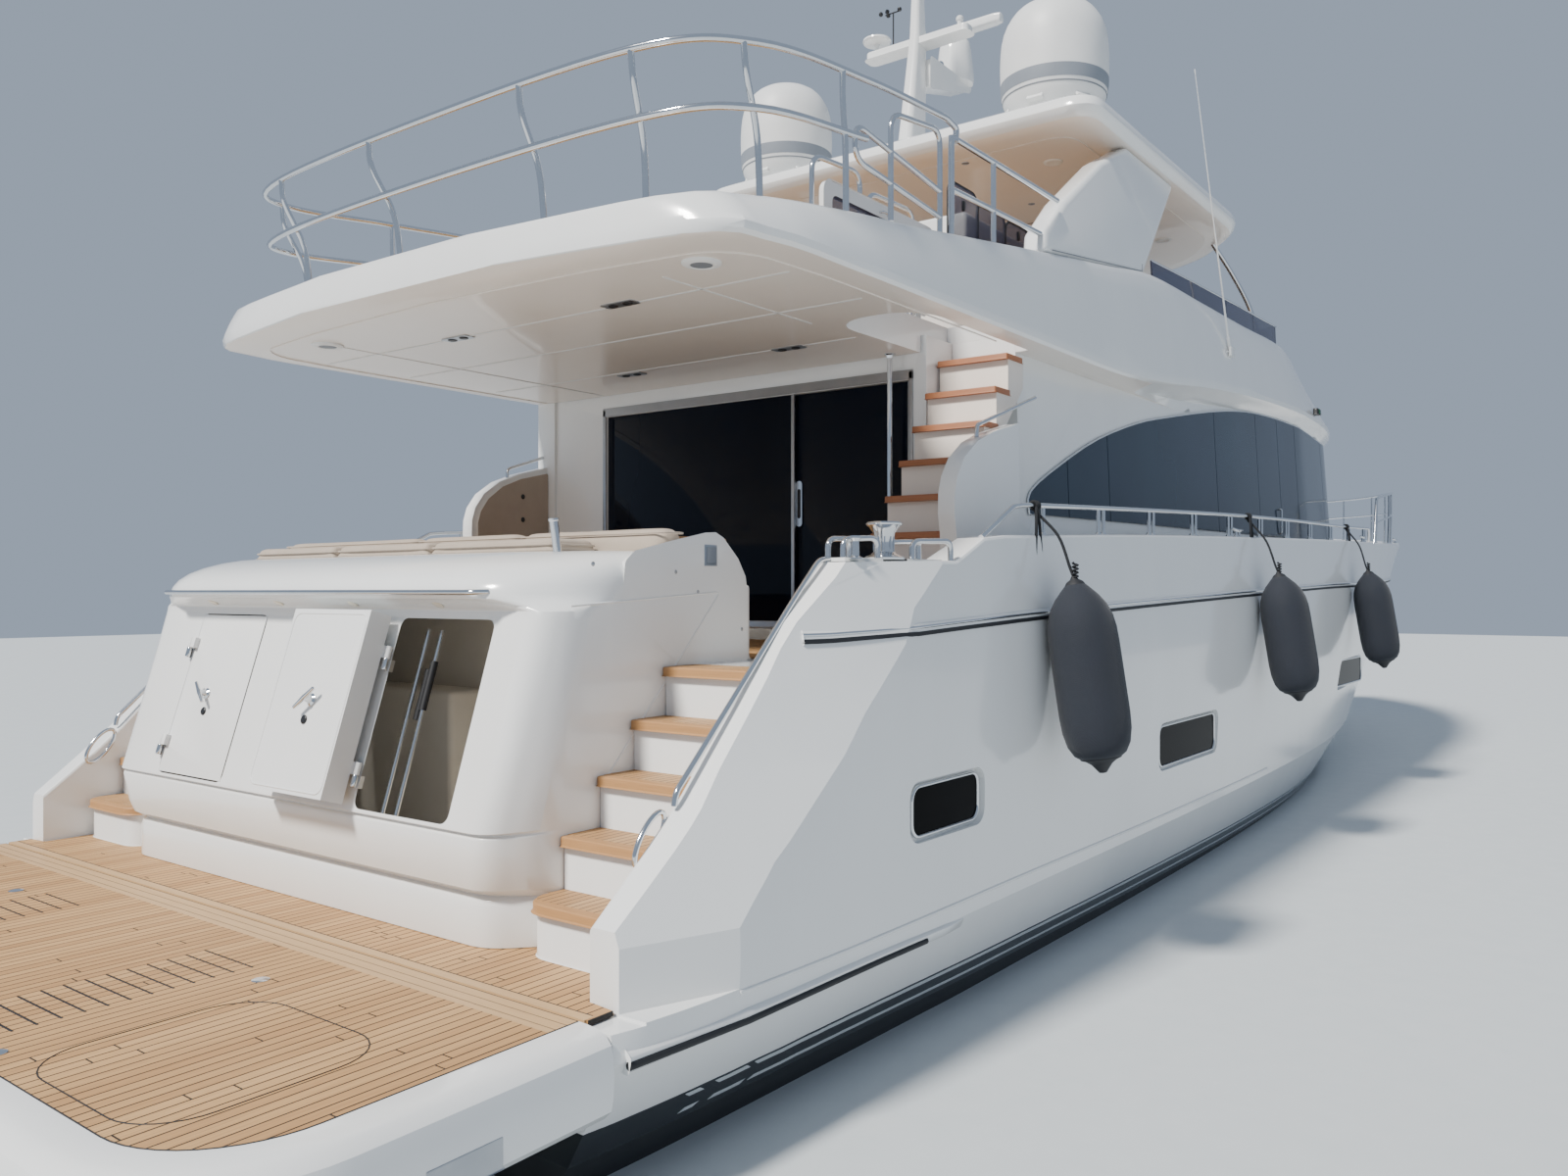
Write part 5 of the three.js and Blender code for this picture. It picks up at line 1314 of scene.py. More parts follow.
def seamSpans(arch):
    spans = []
    for seam in glassLook["seams"]:
        heights = []
        for (x0, z0), (x1, z1) in zip(arch, arch[1:] + arch[:1]):
            if (x0 - seam) * (x1 - seam) <= 0 and x0 != x1:
                heights.append(z0 + (z1 - z0) * (seam - x0) / (x1 - x0))
        if len(heights) >= 2:
            spans.append((seam, min(heights) + 0.01, max(heights) - 0.01))
    return spans


def makeWindscreen():
    screen = fromNode("windscreen", "windscreen_glass", 0.003, 2, 40)
    settle(screen, darkGlass, replaces=("windscreen",))
    foot, brow = Vector((7.45, 0, 3.48)), Vector((5.75, 0, 4.5996))
    out = Vector((brow.z - foot.z, 0, foot.x - brow.x)).normalized()
    along = (foot - brow)
    bars, wipers, blades = [], [], []
    for share in (-0.36, 0.36):
        path = []
        for t in (0.04, 0.5, 0.95):
            p = brow + along * t + out * 0.016
            path.append((p.x, share * 2 * houseWall(p.x, p.z) * 0.9, p.z))
        bars.append(path)
    barPiece("windscreen_mullions", bars, 0.018, blackRubber, 8)
    for y in (-0.95, 0.1, 0.95):
        base = brow + along * 0.90 + out * 0.03
        tip = brow + along * 0.35 + out * 0.035
        wipers.append([(base.x, y, base.z), (tip.x, y - 0.35, tip.z)])
        mid = (Vector((base.x, y, base.z)) * 0.25 + Vector((tip.x, y - 0.35, tip.z)) * 0.75)
        span = Vector((along.x, 0.9, along.z)).normalized() * 0.42
        blades.append([mid - span + out * -0.008, mid + span + out * -0.008])
    barPiece("wiper_arms", wipers, 0.011, blackPlastic, 8)
    barPiece("wiper_blades", blades, 0.008, blackRubber, 6)


def makeAftGlass():
    x = -5.355
    settle(bevelled(blockPiece("aft_pane", (x + 0.020, -0.47, 2.078), (x + 0.034, 1.4995, 3.7995)), 0.002, 2),
           darkGlass, replaces=("aft_glass",))
    settle(bevelled(blockPiece("saloon_door_pane", (x + 0.048, -1.49, 2.078), (x + 0.068, -0.44, 3.7995)),
                    0.002, 2), darkGlass,
           body="saloon_door", replaces=("saloon_door",))
    post = bevelled(blockPiece("aft_pane_stile", (x + 0.012, -0.485, 2.078), (x + 0.040, -0.455, 3.7995)),
                    0.004, 2)
    settle(post, satinSteel)
    stile = [bevelled(blockPiece("stile", (x + 0.045, y0, 2.078), (x + 0.071, y0 + 0.03, 3.7995)), 0.004,
                      2) for y0 in (-1.492, -0.47)]
    settle(joined("saloon_door_stiles", stile), satinSteel, body="saloon_door")
    frame = []
    for low, high in (((-0.004, -1.535, 2.06), (0.030, -1.502, 3.86)),
                      ((-0.004, 1.502, 2.06), (0.030, 1.535, 3.86)),
                      ((-0.004, -1.535, 3.803), (0.030, 1.535, 3.872)),
                      ((-0.004, -1.535, 2.03), (0.030, 1.535, 2.074))):
        frame.append(bevelled(blockPiece("frame", (x + low[0] - 0.008, low[1], low[2]),
                                         (x + high[0] - 0.008, high[1], high[2])), 0.004, 2))
    settle(joined("aft_door_frame", frame), satinSteel)
    # the handle is a flat pull, so that the leaf slides behind the fixed pane
    pull = bevelled(prismPiece("saloon_door_pull", roundedRect(-0.535, -0.485, 2.80, 3.14, 0.022), x + 0.0405,
                               x + 0.0485, axis="x"), 0.003, 2)
    settle(pull, stainless, body="saloon_door")
    grasp = bevelled(prismPiece("saloon_door_grasp", roundedRect(-0.524, -0.496, 2.86, 3.08, 0.012), x + 0.0397,
                                x + 0.0425, axis="x"), 0.001, 1)
    settle(grasp, blackRubber, body="saloon_door")
    pole = [[(-5.45, -1.40, 1.9405), (-5.45, -1.40, 3.9795)]]
    barPiece("cockpit_pole_bar", pole, 0.019, sides=24, replaces=("cockpit_pole",))
    caps = lathePiece("cap", [(0.002, 0.0), (0.042, 0.0), (0.042, 0.004), (0.026, 0.012), (0.021, 0.03),
                              (0.002, 0.03)], 24)
    fittingPiece("cockpit_pole_caps", caps, [(-5.45, -1.40, 1.9365), ((-5.45, -1.40, 3.9795), (math.pi, 0, 0))],
                 stainless)


makeDeckhouse()
makeSideGlass()
makeWindscreen()
makeAftGlass()
print("stage: deckhouse")


# Flybridge moulding: x, foot z, hip y, hip z, brow y, brow z, knee y, knee z, top y, top z
flyLook = {
    "stations": [
        (-8.56, 4.000, 0.885, 4.002, 0.900, 4.005, 0.915, 4.060, 0.720, 4.195),
        (-8.40, 3.985, 2.020, 3.988, 2.060, 3.992, 2.090, 4.050, 1.910, 4.205),
        (-8.10, 3.980, 2.280, 3.985, 2.320, 3.990, 2.350, 4.045, 2.180, 4.240),
        (-7.40, 3.980, 2.330, 3.985, 2.370, 3.990, 2.395, 4.045, 2.255, 4.340),
        (-6.45, 3.980, 2.330, 3.985, 2.375, 3.990, 2.400, 4.045, 2.275, 4.460),
        (-4.80, 3.980, 2.330, 3.985, 2.380, 3.990, 2.405, 4.045, 2.285, 4.700),
        (-3.60, 3.980, 2.320, 3.988, 2.375, 4.000, 2.400, 4.055, 2.280, 4.870),
        (-2.60, 3.980, 2.230, 4.010, 2.365, 4.060, 2.397, 4.120, 2.265, 5.020),
        (-1.20, 3.990, 0, 4.110, 2.335, 4.200, 2.378, 4.270, 2.245, 5.070),
        (0.40, 4.060, 0, 4.240, 2.300, 4.320, 2.355, 4.392, 2.220, 5.120),
        (2.00, 4.090, 0, 4.330, 2.270, 4.400, 2.325, 4.465, 2.180, 5.190),
        (2.90, 4.090, 0, 4.350, 2.240, 4.425, 2.295, 4.490, 2.090, 5.150),
        (4.30, 4.090, 0, 4.350, 2.150, 4.430, 2.200, 4.500, 1.880, 4.990),
        (5.40, 4.090, 0, 4.330, 1.980, 4.430, 2.010, 4.490, 1.570, 4.800),
        (6.00, 4.330, 0, 4.345, 1.790, 4.420, 1.815, 4.450, 1.290, 4.650),
    ],
    "sole": 4.22, "coaming": 0.13, "wellFront": 2.13,
}


def flyNumbers():
    rows = []
    for x, footZ, hipY, hipZ, browY, browZ, kneeY, kneeZ, topY, topZ in flyLook["stations"]:
        footY = hipY - 0.04 if hipY else houseWall(x, footZ) - 0.005
        hip = hipY or houseWall(x, hipZ) - 0.005
        rows.append((x, footZ, footY, hip, hipZ, browY, browZ, kneeY, kneeZ, topY, topZ))
    return rows


def flyRing(row):
    x, footZ, footY, hipY, hipZ, browY, browZ, kneeY, kneeZ, topY, topZ = row
    swell = [(kneeY + (topY - kneeY) * t + 0.016 * math.sin(math.pi * t),
              kneeZ + (topZ - kneeZ) * t) for t in (0.04, 0.2, 0.4, 0.6, 0.8, 0.94)]
    half = [(0, footZ), (footY, footZ), (hipY, hipZ), (browY, browZ),
            (browY + (kneeY - browY) * 0.7, browZ + (kneeZ - browZ) * 0.35),
            (kneeY, kneeZ)] + swell + [(topY - 0.012, topZ - 0.002), (topY - 0.03, topZ), (0, topZ)]
    return mirroredRing(x, half)


def makeFlybridge():
    rows = flyNumbers()
    fine = smoothRows(rows, 4)
    fly = loftPiece("fly", [flyRing(r) for r in fine])
    seat = []
    for x, top in ((-5.3654, 4.10), (-2.0, 4.10), (1.0, 4.10), (2.64, 4.10), (2.89, 4.60), (4.5, 4.60),
                   (6.2, 4.60)):
        low, high = houseWall(x, 3.9) + 0.0004, houseWall(x, top) + 0.0004
        seat.append([(x, -low, 3.9), (x, low, 3.9), (x, high, top), (x, -high, top)])
    well = []
    for row in smoothRows(rows[1:12], 4):
        x, y = min(row[0], flyLook["wellFront"]), row[9] - flyLook["coaming"]
        shifted = x + 0.12 * max(0.0, min(1.0, (-7.9 - x) / 0.3))
        well.append([(shifted, -y, flyLook["sole"]), (shifted, y, flyLook["sole"]), (shifted, y, 6.0),
                     (shifted, -y, 6.0)])
    stair = [(-4.98, -2.24), *roundedAft(-6.5, -2.24, -1.60, 0.28), (-4.98, -1.60)]
    stairHole = prismPiece("stair_hole", stair, 3.9, 4.4)
    cut(fly, loftPiece("seat", seat), loftPiece("well", well), stairHole)
    sill = [blockPiece("sill", (-6.46, -1.515, 4.215), (-5.0, -1.44, 4.26))]
    for hingeX in (-6.2, -5.2):
        lug = lathePiece("lug", [(0.002, -0.06), (0.014, -0.06), (0.014, -0.0004), (0.002, -0.0004)], 20,
                         (hingeX, -1.5, 4.3), (1, 0, 0))
        sill += [lug, blockPiece("foot", (hingeX - 0.06, -1.508, 4.25), (hingeX - 0.0004, -1.492, 4.30))]
    fly = bevelled(cleaned(fly, flat=0.3), 0.018, 3, 48)
    fly = settle(joined("flybridge_shell", [fly] + sill), gel, replaces=("flybridge_moulding",), smooth=26)
    fly.data.materials.append(warmGel)
    for polygon in fly.data.polygons:
        if polygon.normal.z < -0.9 and polygon.center.z < 4.02:
            polygon.material_index = 1


# Ceiling under the overhang: pale seams, twin downlights, round speakers
ceilingLook = {"z": 3.979, "lights": [(-7.63, -0.90), (-7.60, 0.62), (-5.97, 0.61), (-6.04, -0.95)],
               "speakers": [(-8.00, -1.84), (-7.99, 1.51)]}


def makeCeiling():
    z = ceilingLook["z"]
    strips = []
    for y in (-1.5, 1.5):
        strips.append(((-7.92, y - 0.006), (-5.40 if y > 0 else -6.55, y + 0.006)))
    for x in (-7.6, -6.9, -6.05):
        strips.append(((x - 0.006, -1.5 if x > -6.5 else -2.1), (x + 0.006, 2.1)))
    pieces = [bevelled(blockPiece("seam", (low[0], low[1], z - 0.0025), (high[0], high[1], z + 0.002)), 0.001,
                       1) for low, high in strips]
    settle(joined("ceiling_seams", pieces), whitePlastic)
    edge = [(-8.30, 0), (-8.24, 1.27), (-8.15, 2.0), (-7.95, 2.16), (-7.4, 2.20), (-5.40, 2.20)]
    run = bentPath([(x, y, z - 0.001) for x, y in edge], 0.12)
    mirror = [(p.x, -p.y, p.z) for p in run]
    barPiece("ceiling_border", [[tuple(p) for p in run], mirror], 0.005, warmGel, 8, slot="white_plastic")
    plate = bevelled(prismPiece("plate", roundedRect(-0.045, 0.045, -0.125, 0.125, 0.012), -0.006, 0.004),
                     0.002, 2)
    places = [(x, y, z) for x, y in ceilingLook["lights"]]
    fittingPiece("downlight_plates", plate, places, satinSteel)
    lens = lathePiece("lens", [(0.001, -0.009), (0.020, -0.009), (0.027, -0.011), (0.031, -0.0085),
                               (0.031, -0.004), (0.001, -0.004)], 20)
    spots = [(x, y + dy, z) for x, y in ceilingLook["lights"] for dy in (-0.058, 0.058)]
    fittingPiece("downlight_lenses", lens, spots, blackPlastic)
    speaker = lathePiece("speaker", [(0.001, -0.010), (0.060, -0.012), (0.066, -0.016), (0.090, -0.014),
                                     (0.102, -0.008), (0.105, 0.002), (0.001, 0.002)], 40)
    places = [(x, y, z) for x, y in ceilingLook["speakers"]]
    fittingPiece("ceiling_speakers", speaker, places, whitePlastic)
    cone = lathePiece("cone", [(0.001, -0.0125), (0.045, -0.0145), (0.058, -0.0135), (0.001, -0.006)], 32)
    fittingPiece("speaker_cones", cone, places, greyPlastic)
    domeLamp = lathePiece("dome_lamp", [(0.001, -0.055), (0.022, -0.05), (0.034, -0.03), (0.036, 0.0),
                                        (0.001, 0.0)], 24)
    places = [((x, y, 4.10), (0, math.radians(-60), 0)) for x, y in ((-8.50, 0.55), (-8.44, 1.10))]
    fittingPiece("stern_lamp", domeLamp, places, blackPlastic)


makeFlybridge()
makeCeiling()


# Stair from the cockpit to the flybridge
flyStairLook = {"first": (-6.47, 2.18), "going": 0.176, "rise": 0.25, "count": 8, "inner": -1.66,
                "outer": -2.20}


def makeFlyStair():
    look = flyStairLook
    x0, z0 = look["first"]
    outline = [(x0 + 0.03, 1.9365)]
    treads = []
    for i in range(look["count"]):
        x, z = x0 + i * look["going"], z0 + i * look["rise"]
        outline += [(x + 0.03, z - 0.04), (x + 0.03 + look["going"], z - 0.04)]
        end = x + 0.23 if i < look["count"] - 1 else -4.99
        treads.append(bevelled(blockPiece("tread", (x, look["outer"], z - 0.042), (end, look["inner"], z)),
                               0.008, 3))
    outline[-1] = (-4.985, outline[-2][1])
    outline += [(-4.985, 3.72), (-5.362, 3.31), (-6.18, 1.9365)]
    body = bevelled(prismPiece("fly_stair_body", outline, look["outer"] + 0.004, look["inner"] - 0.004,
                               axis="y"), 0.006, 2)
    settle(body, warmGel, replaces=("flybridge_stair",))
    settle(joined("fly_stair_treads", treads), redTread)


makeFlyStair()


# The stair hatch lid stands open: white frame round a smoked panel
def makeHatchLid():
    x0, x1, y, z0, z1 = -6.44, -5.02, -1.5, 4.33, 4.93
    frame = prismPiece("lid_frame", roundedRect(x0, x1, z0, z1, 0.09), y - 0.022, y + 0.022, axis="y")
    hole = prismPiece("hole", roundedRect(x0 + 0.09, x1 - 0.09, z0 + 0.09, z1 - 0.09, 0.05), y - 0.1, y + 0.1,
                      axis="y")
    cut(frame, hole)
    bevelled(frame, 0.008, 3)
    eyes = []
    for hingeX in (-6.2, -5.2):
        eyes.append(lathePiece("eye", [(0.002, 0.0), (0.014, 0.0), (0.014, 0.06), (0.002, 0.06)], 20,
                               (hingeX, y, 4.3), (1, 0, 0)))
        eyes.append(blockPiece("eye_foot", (hingeX, y - 0.008, 4.30), (hingeX + 0.06, y + 0.008, 4.345)))
    settle(joined("hatch_lid_frame", [frame] + eyes), gel, body="stair_hatch_lid",
           replaces=("stair_hatch_lid",))
    pane = bevelled(prismPiece("hatch_lid_pane", roundedRect(x0 + 0.075, x1 - 0.075, z0 + 0.075, z1 - 0.075,
                                                             0.06), y - 0.006, y + 0.006, axis="y"), 0.002, 2)
    settle(pane, smokedPanel, body="stair_hatch_lid")
    latch = [bentPath([(-5.78, y - 0.02, 4.87), (-5.78, y - 0.05, 4.87), (-5.68, y - 0.05, 4.87),
                       (-5.68, y - 0.02, 4.87)], 0.02)]
    barPiece("hatch_lid_latch", latch, 0.008, body="stair_hatch_lid")


makeHatchLid()
print("stage: flybridge")


# Hardtop slab: inset and depth below the top; its underside is warm white with a shallow panel
hardtopLook = {"top": 6.43, "layers": [(0.17, 0.230), (0.06, 0.210), (0.02, 0.180), (0.0, 0.135),
                                       (0.006, 0.090), (0.03, 0.048), (0.085, 0.018), (0.17, 0.001)],
               "halfWidth": 2.08, "aft": -3.42, "wingFace": 2.28, "lean": 0.18, "under": 6.192}


def hardtopPlan(inset):
    half = hardtopLook["halfWidth"] - inset
    aft = hardtopLook["aft"] + inset
    corners = [(aft, 0, 0), (aft, -half, 0), (0.7, -half, 0), (1.5 - inset / 2, -1.5 + inset / 2, 0),
               (1.9 - inset, -0.9, 0), (2.0 - inset, 0, 0)]
    run = bentPath(corners, 0.26, 8)
    side = [(p.x, p.y) for p in run]
    return side + [(x, -y) for x, y in reversed(side) if y < -0.001]


def makeHardtop():
    look = hardtopLook
    rings = [[(x, y, look["top"] - depth) for x, y in hardtopPlan(inset)] for inset, depth in look["layers"]]
    slab = loftPiece("hardtop_slab", rings)
    slab = settle(slab, gel, replaces=("hardtop",), smooth=30)
    slab.data.materials.append(warmGel)
    for polygon in slab.data.polygons:
        if polygon.normal.z < -0.9:
            polygon.material_index = 1
    panel = prismPiece("panel", hardtopPlan(0.34), look["under"], 6.2005)
    lid = prismPiece("lid", roundedRect(-1.0, 0.9, -0.95, 0.95, 0.12), 6.184, 6.193)
    settle(bevelled(joined("hardtop_panels", [panel, lid]), 0.003, 2), warmGel)
    seam = [(x, y, 6.1915) for x, y in roundedRect(-1.03, 0.93, -0.98, 0.98, 0.13)]
    barPiece("hardtop_hatch_seam", [seam + seam[:1]], 0.006, greyPlastic, 6)
    strut = [(1.50, 2.07, 5.20), (1.43, 1.99, 5.55), (1.22, 1.85, 5.92), (0.90, 1.70, 6.26)]
    struts = [smoothPath([(x, side * y, z) for x, y, z in strut], 5) for side in (-1, 1)]
    barPiece("hardtop_struts", struts, 0.027, sides=20)
    speaker = lathePiece("speaker", [(0.001, -0.008), (0.050, -0.009), (0.056, -0.012), (0.078, -0.010),
                                     (0.086, -0.004), (0.088, 0.003), (0.001, 0.003)], 32)
    spots = [(x, y, look["under"]) for x in (-2.55, 0.4) for y in (-1.35, 1.35)]
    fittingPiece("hardtop_speakers", speaker, spots, whitePlastic)
    lamp = lathePiece("lamp", [(0.001, -0.006), (0.026, -0.007), (0.034, -0.004), (0.036, 0.002),
                               (0.001, 0.002)], 24)
    fittingPiece("hardtop_lamps", lamp, [(x, y, look["under"]) for x in (-3.0, -1.6) for y in (-0.7, 0.7)],
                 satinSteel)
    for label, side in bothSides:
        wing = fromNode("hardtop_wing_" + label, "wing_" + label, 0.045, 4, 20)
        settle(wing, gel, replaces=("hardtop_wing_" + label,), smooth=32)
        seam = [(-4.66, 4.745), (-2.70, 5.03), (-2.66, 5.10)]
        run = [(x, side * (look["wingFace"] - (z - 4.712) * look["lean"] + 0.001), z) for x, z in seam]
        barPiece("wing_seam_" + label, [run], 0.004, greyPlastic, 6)


makeHardtop()


# Satellite domes: radius and height of the shell, the grey band and the base
domeLook = {"places": [("starboard", -1.47), ("port", 1.47)], "x": -2.8, "band": (0.235, 0.345)}


def domeRadius(height):
    table = [(0.0004, 0.33), (0.05, 0.365), (0.14, 0.425), (0.235, 0.457), (0.345, 0.4665), (0.60, 0.4675),
             (0.80, 0.437), (0.95, 0.348), (1.02, 0.245), (1.058, 0.12), (1.0695, 0.003)]
    return lerpRow(smoothRows([[a, b] for a, b in table], 4), height, 1)


def makeDomes():
    low, high = domeLook["band"]
    heights = [0.0004, 0.01, 0.03, 0.06, 0.10, 0.14, 0.18, low, low + 0.002, high - 0.002, high, 0.40, 0.48,
               0.56, 0.64, 0.72, 0.79, 0.85, 0.90, 0.945, 0.98,
               1.01, 1.035, 1.052, 1.063, 1.0685, 1.0695]
    for label, y in domeLook["places"]:
        place = (domeLook["x"], y, hardtopLook["top"])
        shell = lathePiece("dome_shell_" + label, [(domeRadius(h), h) for h in heights], 64, place)
        settle(shell, whitePlastic, slot="gelcoat", replaces=("dome_" + label,), smooth=40)
        rows = [low, low + 0.006, (low + high) / 2, high - 0.006, high]
        band = lathePiece("dome_band_" + label, [(domeRadius(low) - 0.01,
                                                  low)] + [(domeRadius(h) + 0.0022, h) for h in rows]
                          + [(domeRadius(high) - 0.01, high)], 64, place)
        settle(band, greyBand)
        lip = lathePiece("dome_lip_" + label, [(domeRadius(0.20), 0.196), (domeRadius(0.2) + 0.004, 0.199),
                                               (domeRadius(0.2) + 0.004, 0.206), (domeRadius(0.2), 0.209)], 64,
                                               place)
        settle(lip, greyPlastic)
        vents = []
        for angle in (-120, -60, 60, 120, 180, 0):
            a = math.radians(angle)
            r = domeRadius(0.11) - 0.004
            vents.append(((place[0] + r * math.cos(a), y + r * math.sin(a), place[2] + 0.115),
                          (0, math.radians(-28), a)))
        vent = bevelled(blockPiece("vent", (-0.012, -0.075, -0.040), (0.010, 0.075, 0.040)), 0.010, 3)
        fittingPiece("dome_vents_" + label, vent, vents, whitePlastic)


makeDomes()


# Mast, its crossbar, aerials, lamps and wind gauge, and the radar
mastLook = {"x": -2.65, "radarX": -1.90}


def makeMast():
    column = []
    for z, aft, fore, half in ((6.4304, -2.95, -2.60, 0.085), (6.50, -2.945, -2.60, 0.08),
                               (7.0, -2.855, -2.578, 0.07), (7.66, -2.74, -2.56, 0.055),
                               (8.0, -2.72, -2.58, 0.048), (8.235, -2.70, -2.60, 0.04),
                               (8.25, -2.69, -2.61, 0.03)):
        column.append([(x, y, z) for x, y in roundedRect(aft, fore, -half, half, half * 0.75, 5)])
    mast = loftPiece("mast_column", column)
    flange = bevelled(prismPiece("flange", roundedRect(-3.02, -2.53, -0.13, 0.13, 0.06), 6.4304, 6.462), 0.008,
                      2)
    cross = bevelled(prismPiece("cross", roundedRect(-2.72, -2.56, -0.56, 0.56, 0.05), 7.56, 7.64), 0.02, 3)
    bracket = bevelled(prismPiece("bracket", [(-2.59, 7.18), (-1.80, 7.40), (-1.78, 7.45), (-2.59, 7.46)],
                                  -0.115, 0.115, axis="y"), 0.02, 3)
    box = lathePiece("gearbox", [(0.003, 7.435), (0.14, 7.44), (0.18, 7.455), (0.19, 7.49), (0.187, 7.56),
                                 (0.165, 7.78), (0.15, 7.87), (0.13, 7.895),
                                 (0.065, 7.90), (0.060, 7.94), (0.003, 7.94)], 48, (mastLook["radarX"], 0, 0))
    settle(joined("mast_body", [mast, flange, cross, bracket, box]), gel, replaces=("mast",), smooth=34)
    x = mastLook["radarX"]
    arm = []
    for y, half, low, high in ((-0.525, 0.028, 7.975, 8.03), (-0.515, 0.045, 7.955, 8.044),
                               (-0.45, 0.058, 7.948, 8.0495), (-0.12, 0.060, 7.946, 8.05),
                               (0.12, 0.060, 7.946, 8.05), (0.45, 0.058, 7.948, 8.0495),
                               (0.515, 0.045, 7.955, 8.044), (0.525, 0.028, 7.975, 8.03)):
        arm.append([(px, y, pz) for px, pz in roundedRect(x - half, x + half, low, high,
                                                          min(half, (high - low) / 2) * 0.55, 4)])
    bar = loftPiece("radar_bar", arm)
    hub = lathePiece("hub", [(0.003, 7.9406), (0.055, 7.9408), (0.062, 7.95), (0.062, 7.965), (0.003, 7.97)],
                     32, (x, 0, 0))
    settle(joined("radar_bar", [bar, hub]), gel, body="radar_scanner", replaces=("radar_scanner",), smooth=36)
    mushroom = lathePiece("mushroom", [(0.002, 0), (0.018, 0), (0.016, 0.06), (0.03, 0.085), (0.13, 0.095),
                                       (0.142, 0.108), (0.138, 0.125), (0.09, 0.143), (0.03, 0.15),
                                       (0.002, 0.151)], 36)
    fittingPiece("gps_mushrooms", mushroom, [(-2.64, 0.47, 7.64)], gel)
    small = lathePiece("small", [(0.002, 0), (0.022, 0), (0.024, 0.05), (0.034, 0.06), (0.036, 0.085),
                                 (0.024, 0.1), (0.002, 0.104)], 24)
    fittingPiece("gps_small", small, [(-2.64, -0.45, 7.64)], whitePlastic)
    wind = [[(-2.66, 0.27, 7.63), (-2.66, 0.27, 7.98)], [(-2.66, 0.21, 7.975), (-2.66, 0.36, 7.975)]]
    barPiece("wind_gauge_stem", wind, 0.007, blackPlastic, 8)
    cup = lathePiece("cup", [(0.004, -0.012), (0.018, -0.010), (0.022, 0.004), (0.019, 0.018), (0.004, 0.020)],
                     16)
    cups = [((-2.66 + 0.045 * math.cos(a), 0.36 + 0.045 * math.sin(a), 7.99),
             (math.radians(90), 0, a)) for a in (0, 2.09, 4.19)]
    fittingPiece("wind_gauge_cups", cup, cups + [(-2.66, 0.20, 7.985)], blackPlastic)
    lamp = lathePiece("lamp", [(0.002, 0), (0.034, 0), (0.036, 0.012), (0.028, 0.018), (0.028, 0.068),
                               (0.036, 0.074), (0.034, 0.086), (0.002, 0.09)], 24)
    fittingPiece("mast_lamps", lamp, [(mastLook["x"], 0, 8.25)], blackPlastic)
    lens = lathePiece("lens", [(0.002, 0), (0.0285, 0), (0.0295, 0.002), (0.0295, 0.044), (0.0285, 0.046),
                               (0.002, 0.046)], 24, (mastLook["x"], 0, 8.271))
    settle(lens, lampLens)
    horn = [lathePiece("horn", [(0.006, -0.19), (0.012, -0.18), (0.014, -0.1), (0.024, -0.04), (0.048, 0.0),
                                (0.044, 0.001), (0.006, -0.06)], 24, (-2.30, y, 7.50 + dz),
                                (1, 0, 0.1)) for y, dz in ((-0.045, 0.0), (0.045, 0.0))]
    settle(joined("horns", horn), stainless)
    for label, side in bothSides:
        settle(bevelled(blockPiece("shield_" + label, (-0.60, side * 2.352 - 0.012, 4.635),
                                   (-0.47, side * 2.352 + 0.012, 4.725)), 0.006, 2),
               whitePlastic)
        foot, tip = Vector((-0.53, side * 2.33, 4.69)), Vector((-1.50, side * 2.29, 7.16))
        profile = []
        length = (tip - foot).length
        for share, radius in ((0.0, 0.013), (0.02, 0.016), (0.05, 0.016), (0.055, 0.011), (0.09, 0.0105),
                              (0.35, 0.008), (0.70, 0.0055), (0.98, 0.004), (0.995, 0.0065), (1.0, 0.003)):
            profile.append((radius, share * length))
        whip = lathePiece("whip_" + label, profile, 12, foot, (tip - foot).normalized())
        settle(whip, whitePlastic, replaces=("antenna_" + label,))
        knob = lathePiece("ratchet_" + label, [(0.003, -0.028), (0.026, -0.026), (0.030, -0.01), (0.030, 0.01),
                                               (0.026, 0.026), (0.003, 0.028)], 20, (-0.53, side * 2.335, 4.68),
                                               (0, 1, 0))
        settle(knob, satinSteel)


makeMast()
print("stage: hardtop and mast")


# Rails: top and mid runs, curved stanchions, base discs
railLook = {"flyRadius": 0.020, "stairY": -2.205, "corner": [(-4.90, 2.218), (-5.90, 2.212), (-7.00, 2.198),
                                                             (-7.90, 2.130), (-8.31, 1.64)],
            "heights": [(-8.40, 5.00), (-7.00, 5.17), (-5.90, 5.27), (-4.90, 5.24)]}


def baseDiscs(name, places, radius=0.034):
    disc = lathePiece("disc", [(0.002, 0.0), (radius, 0.0), (radius, 0.003), (radius * 0.8, 0.008),
                               (radius * 0.55, 0.02), (0.002, 0.02)], 20)
    return fittingPiece(name, disc, places, stainless)


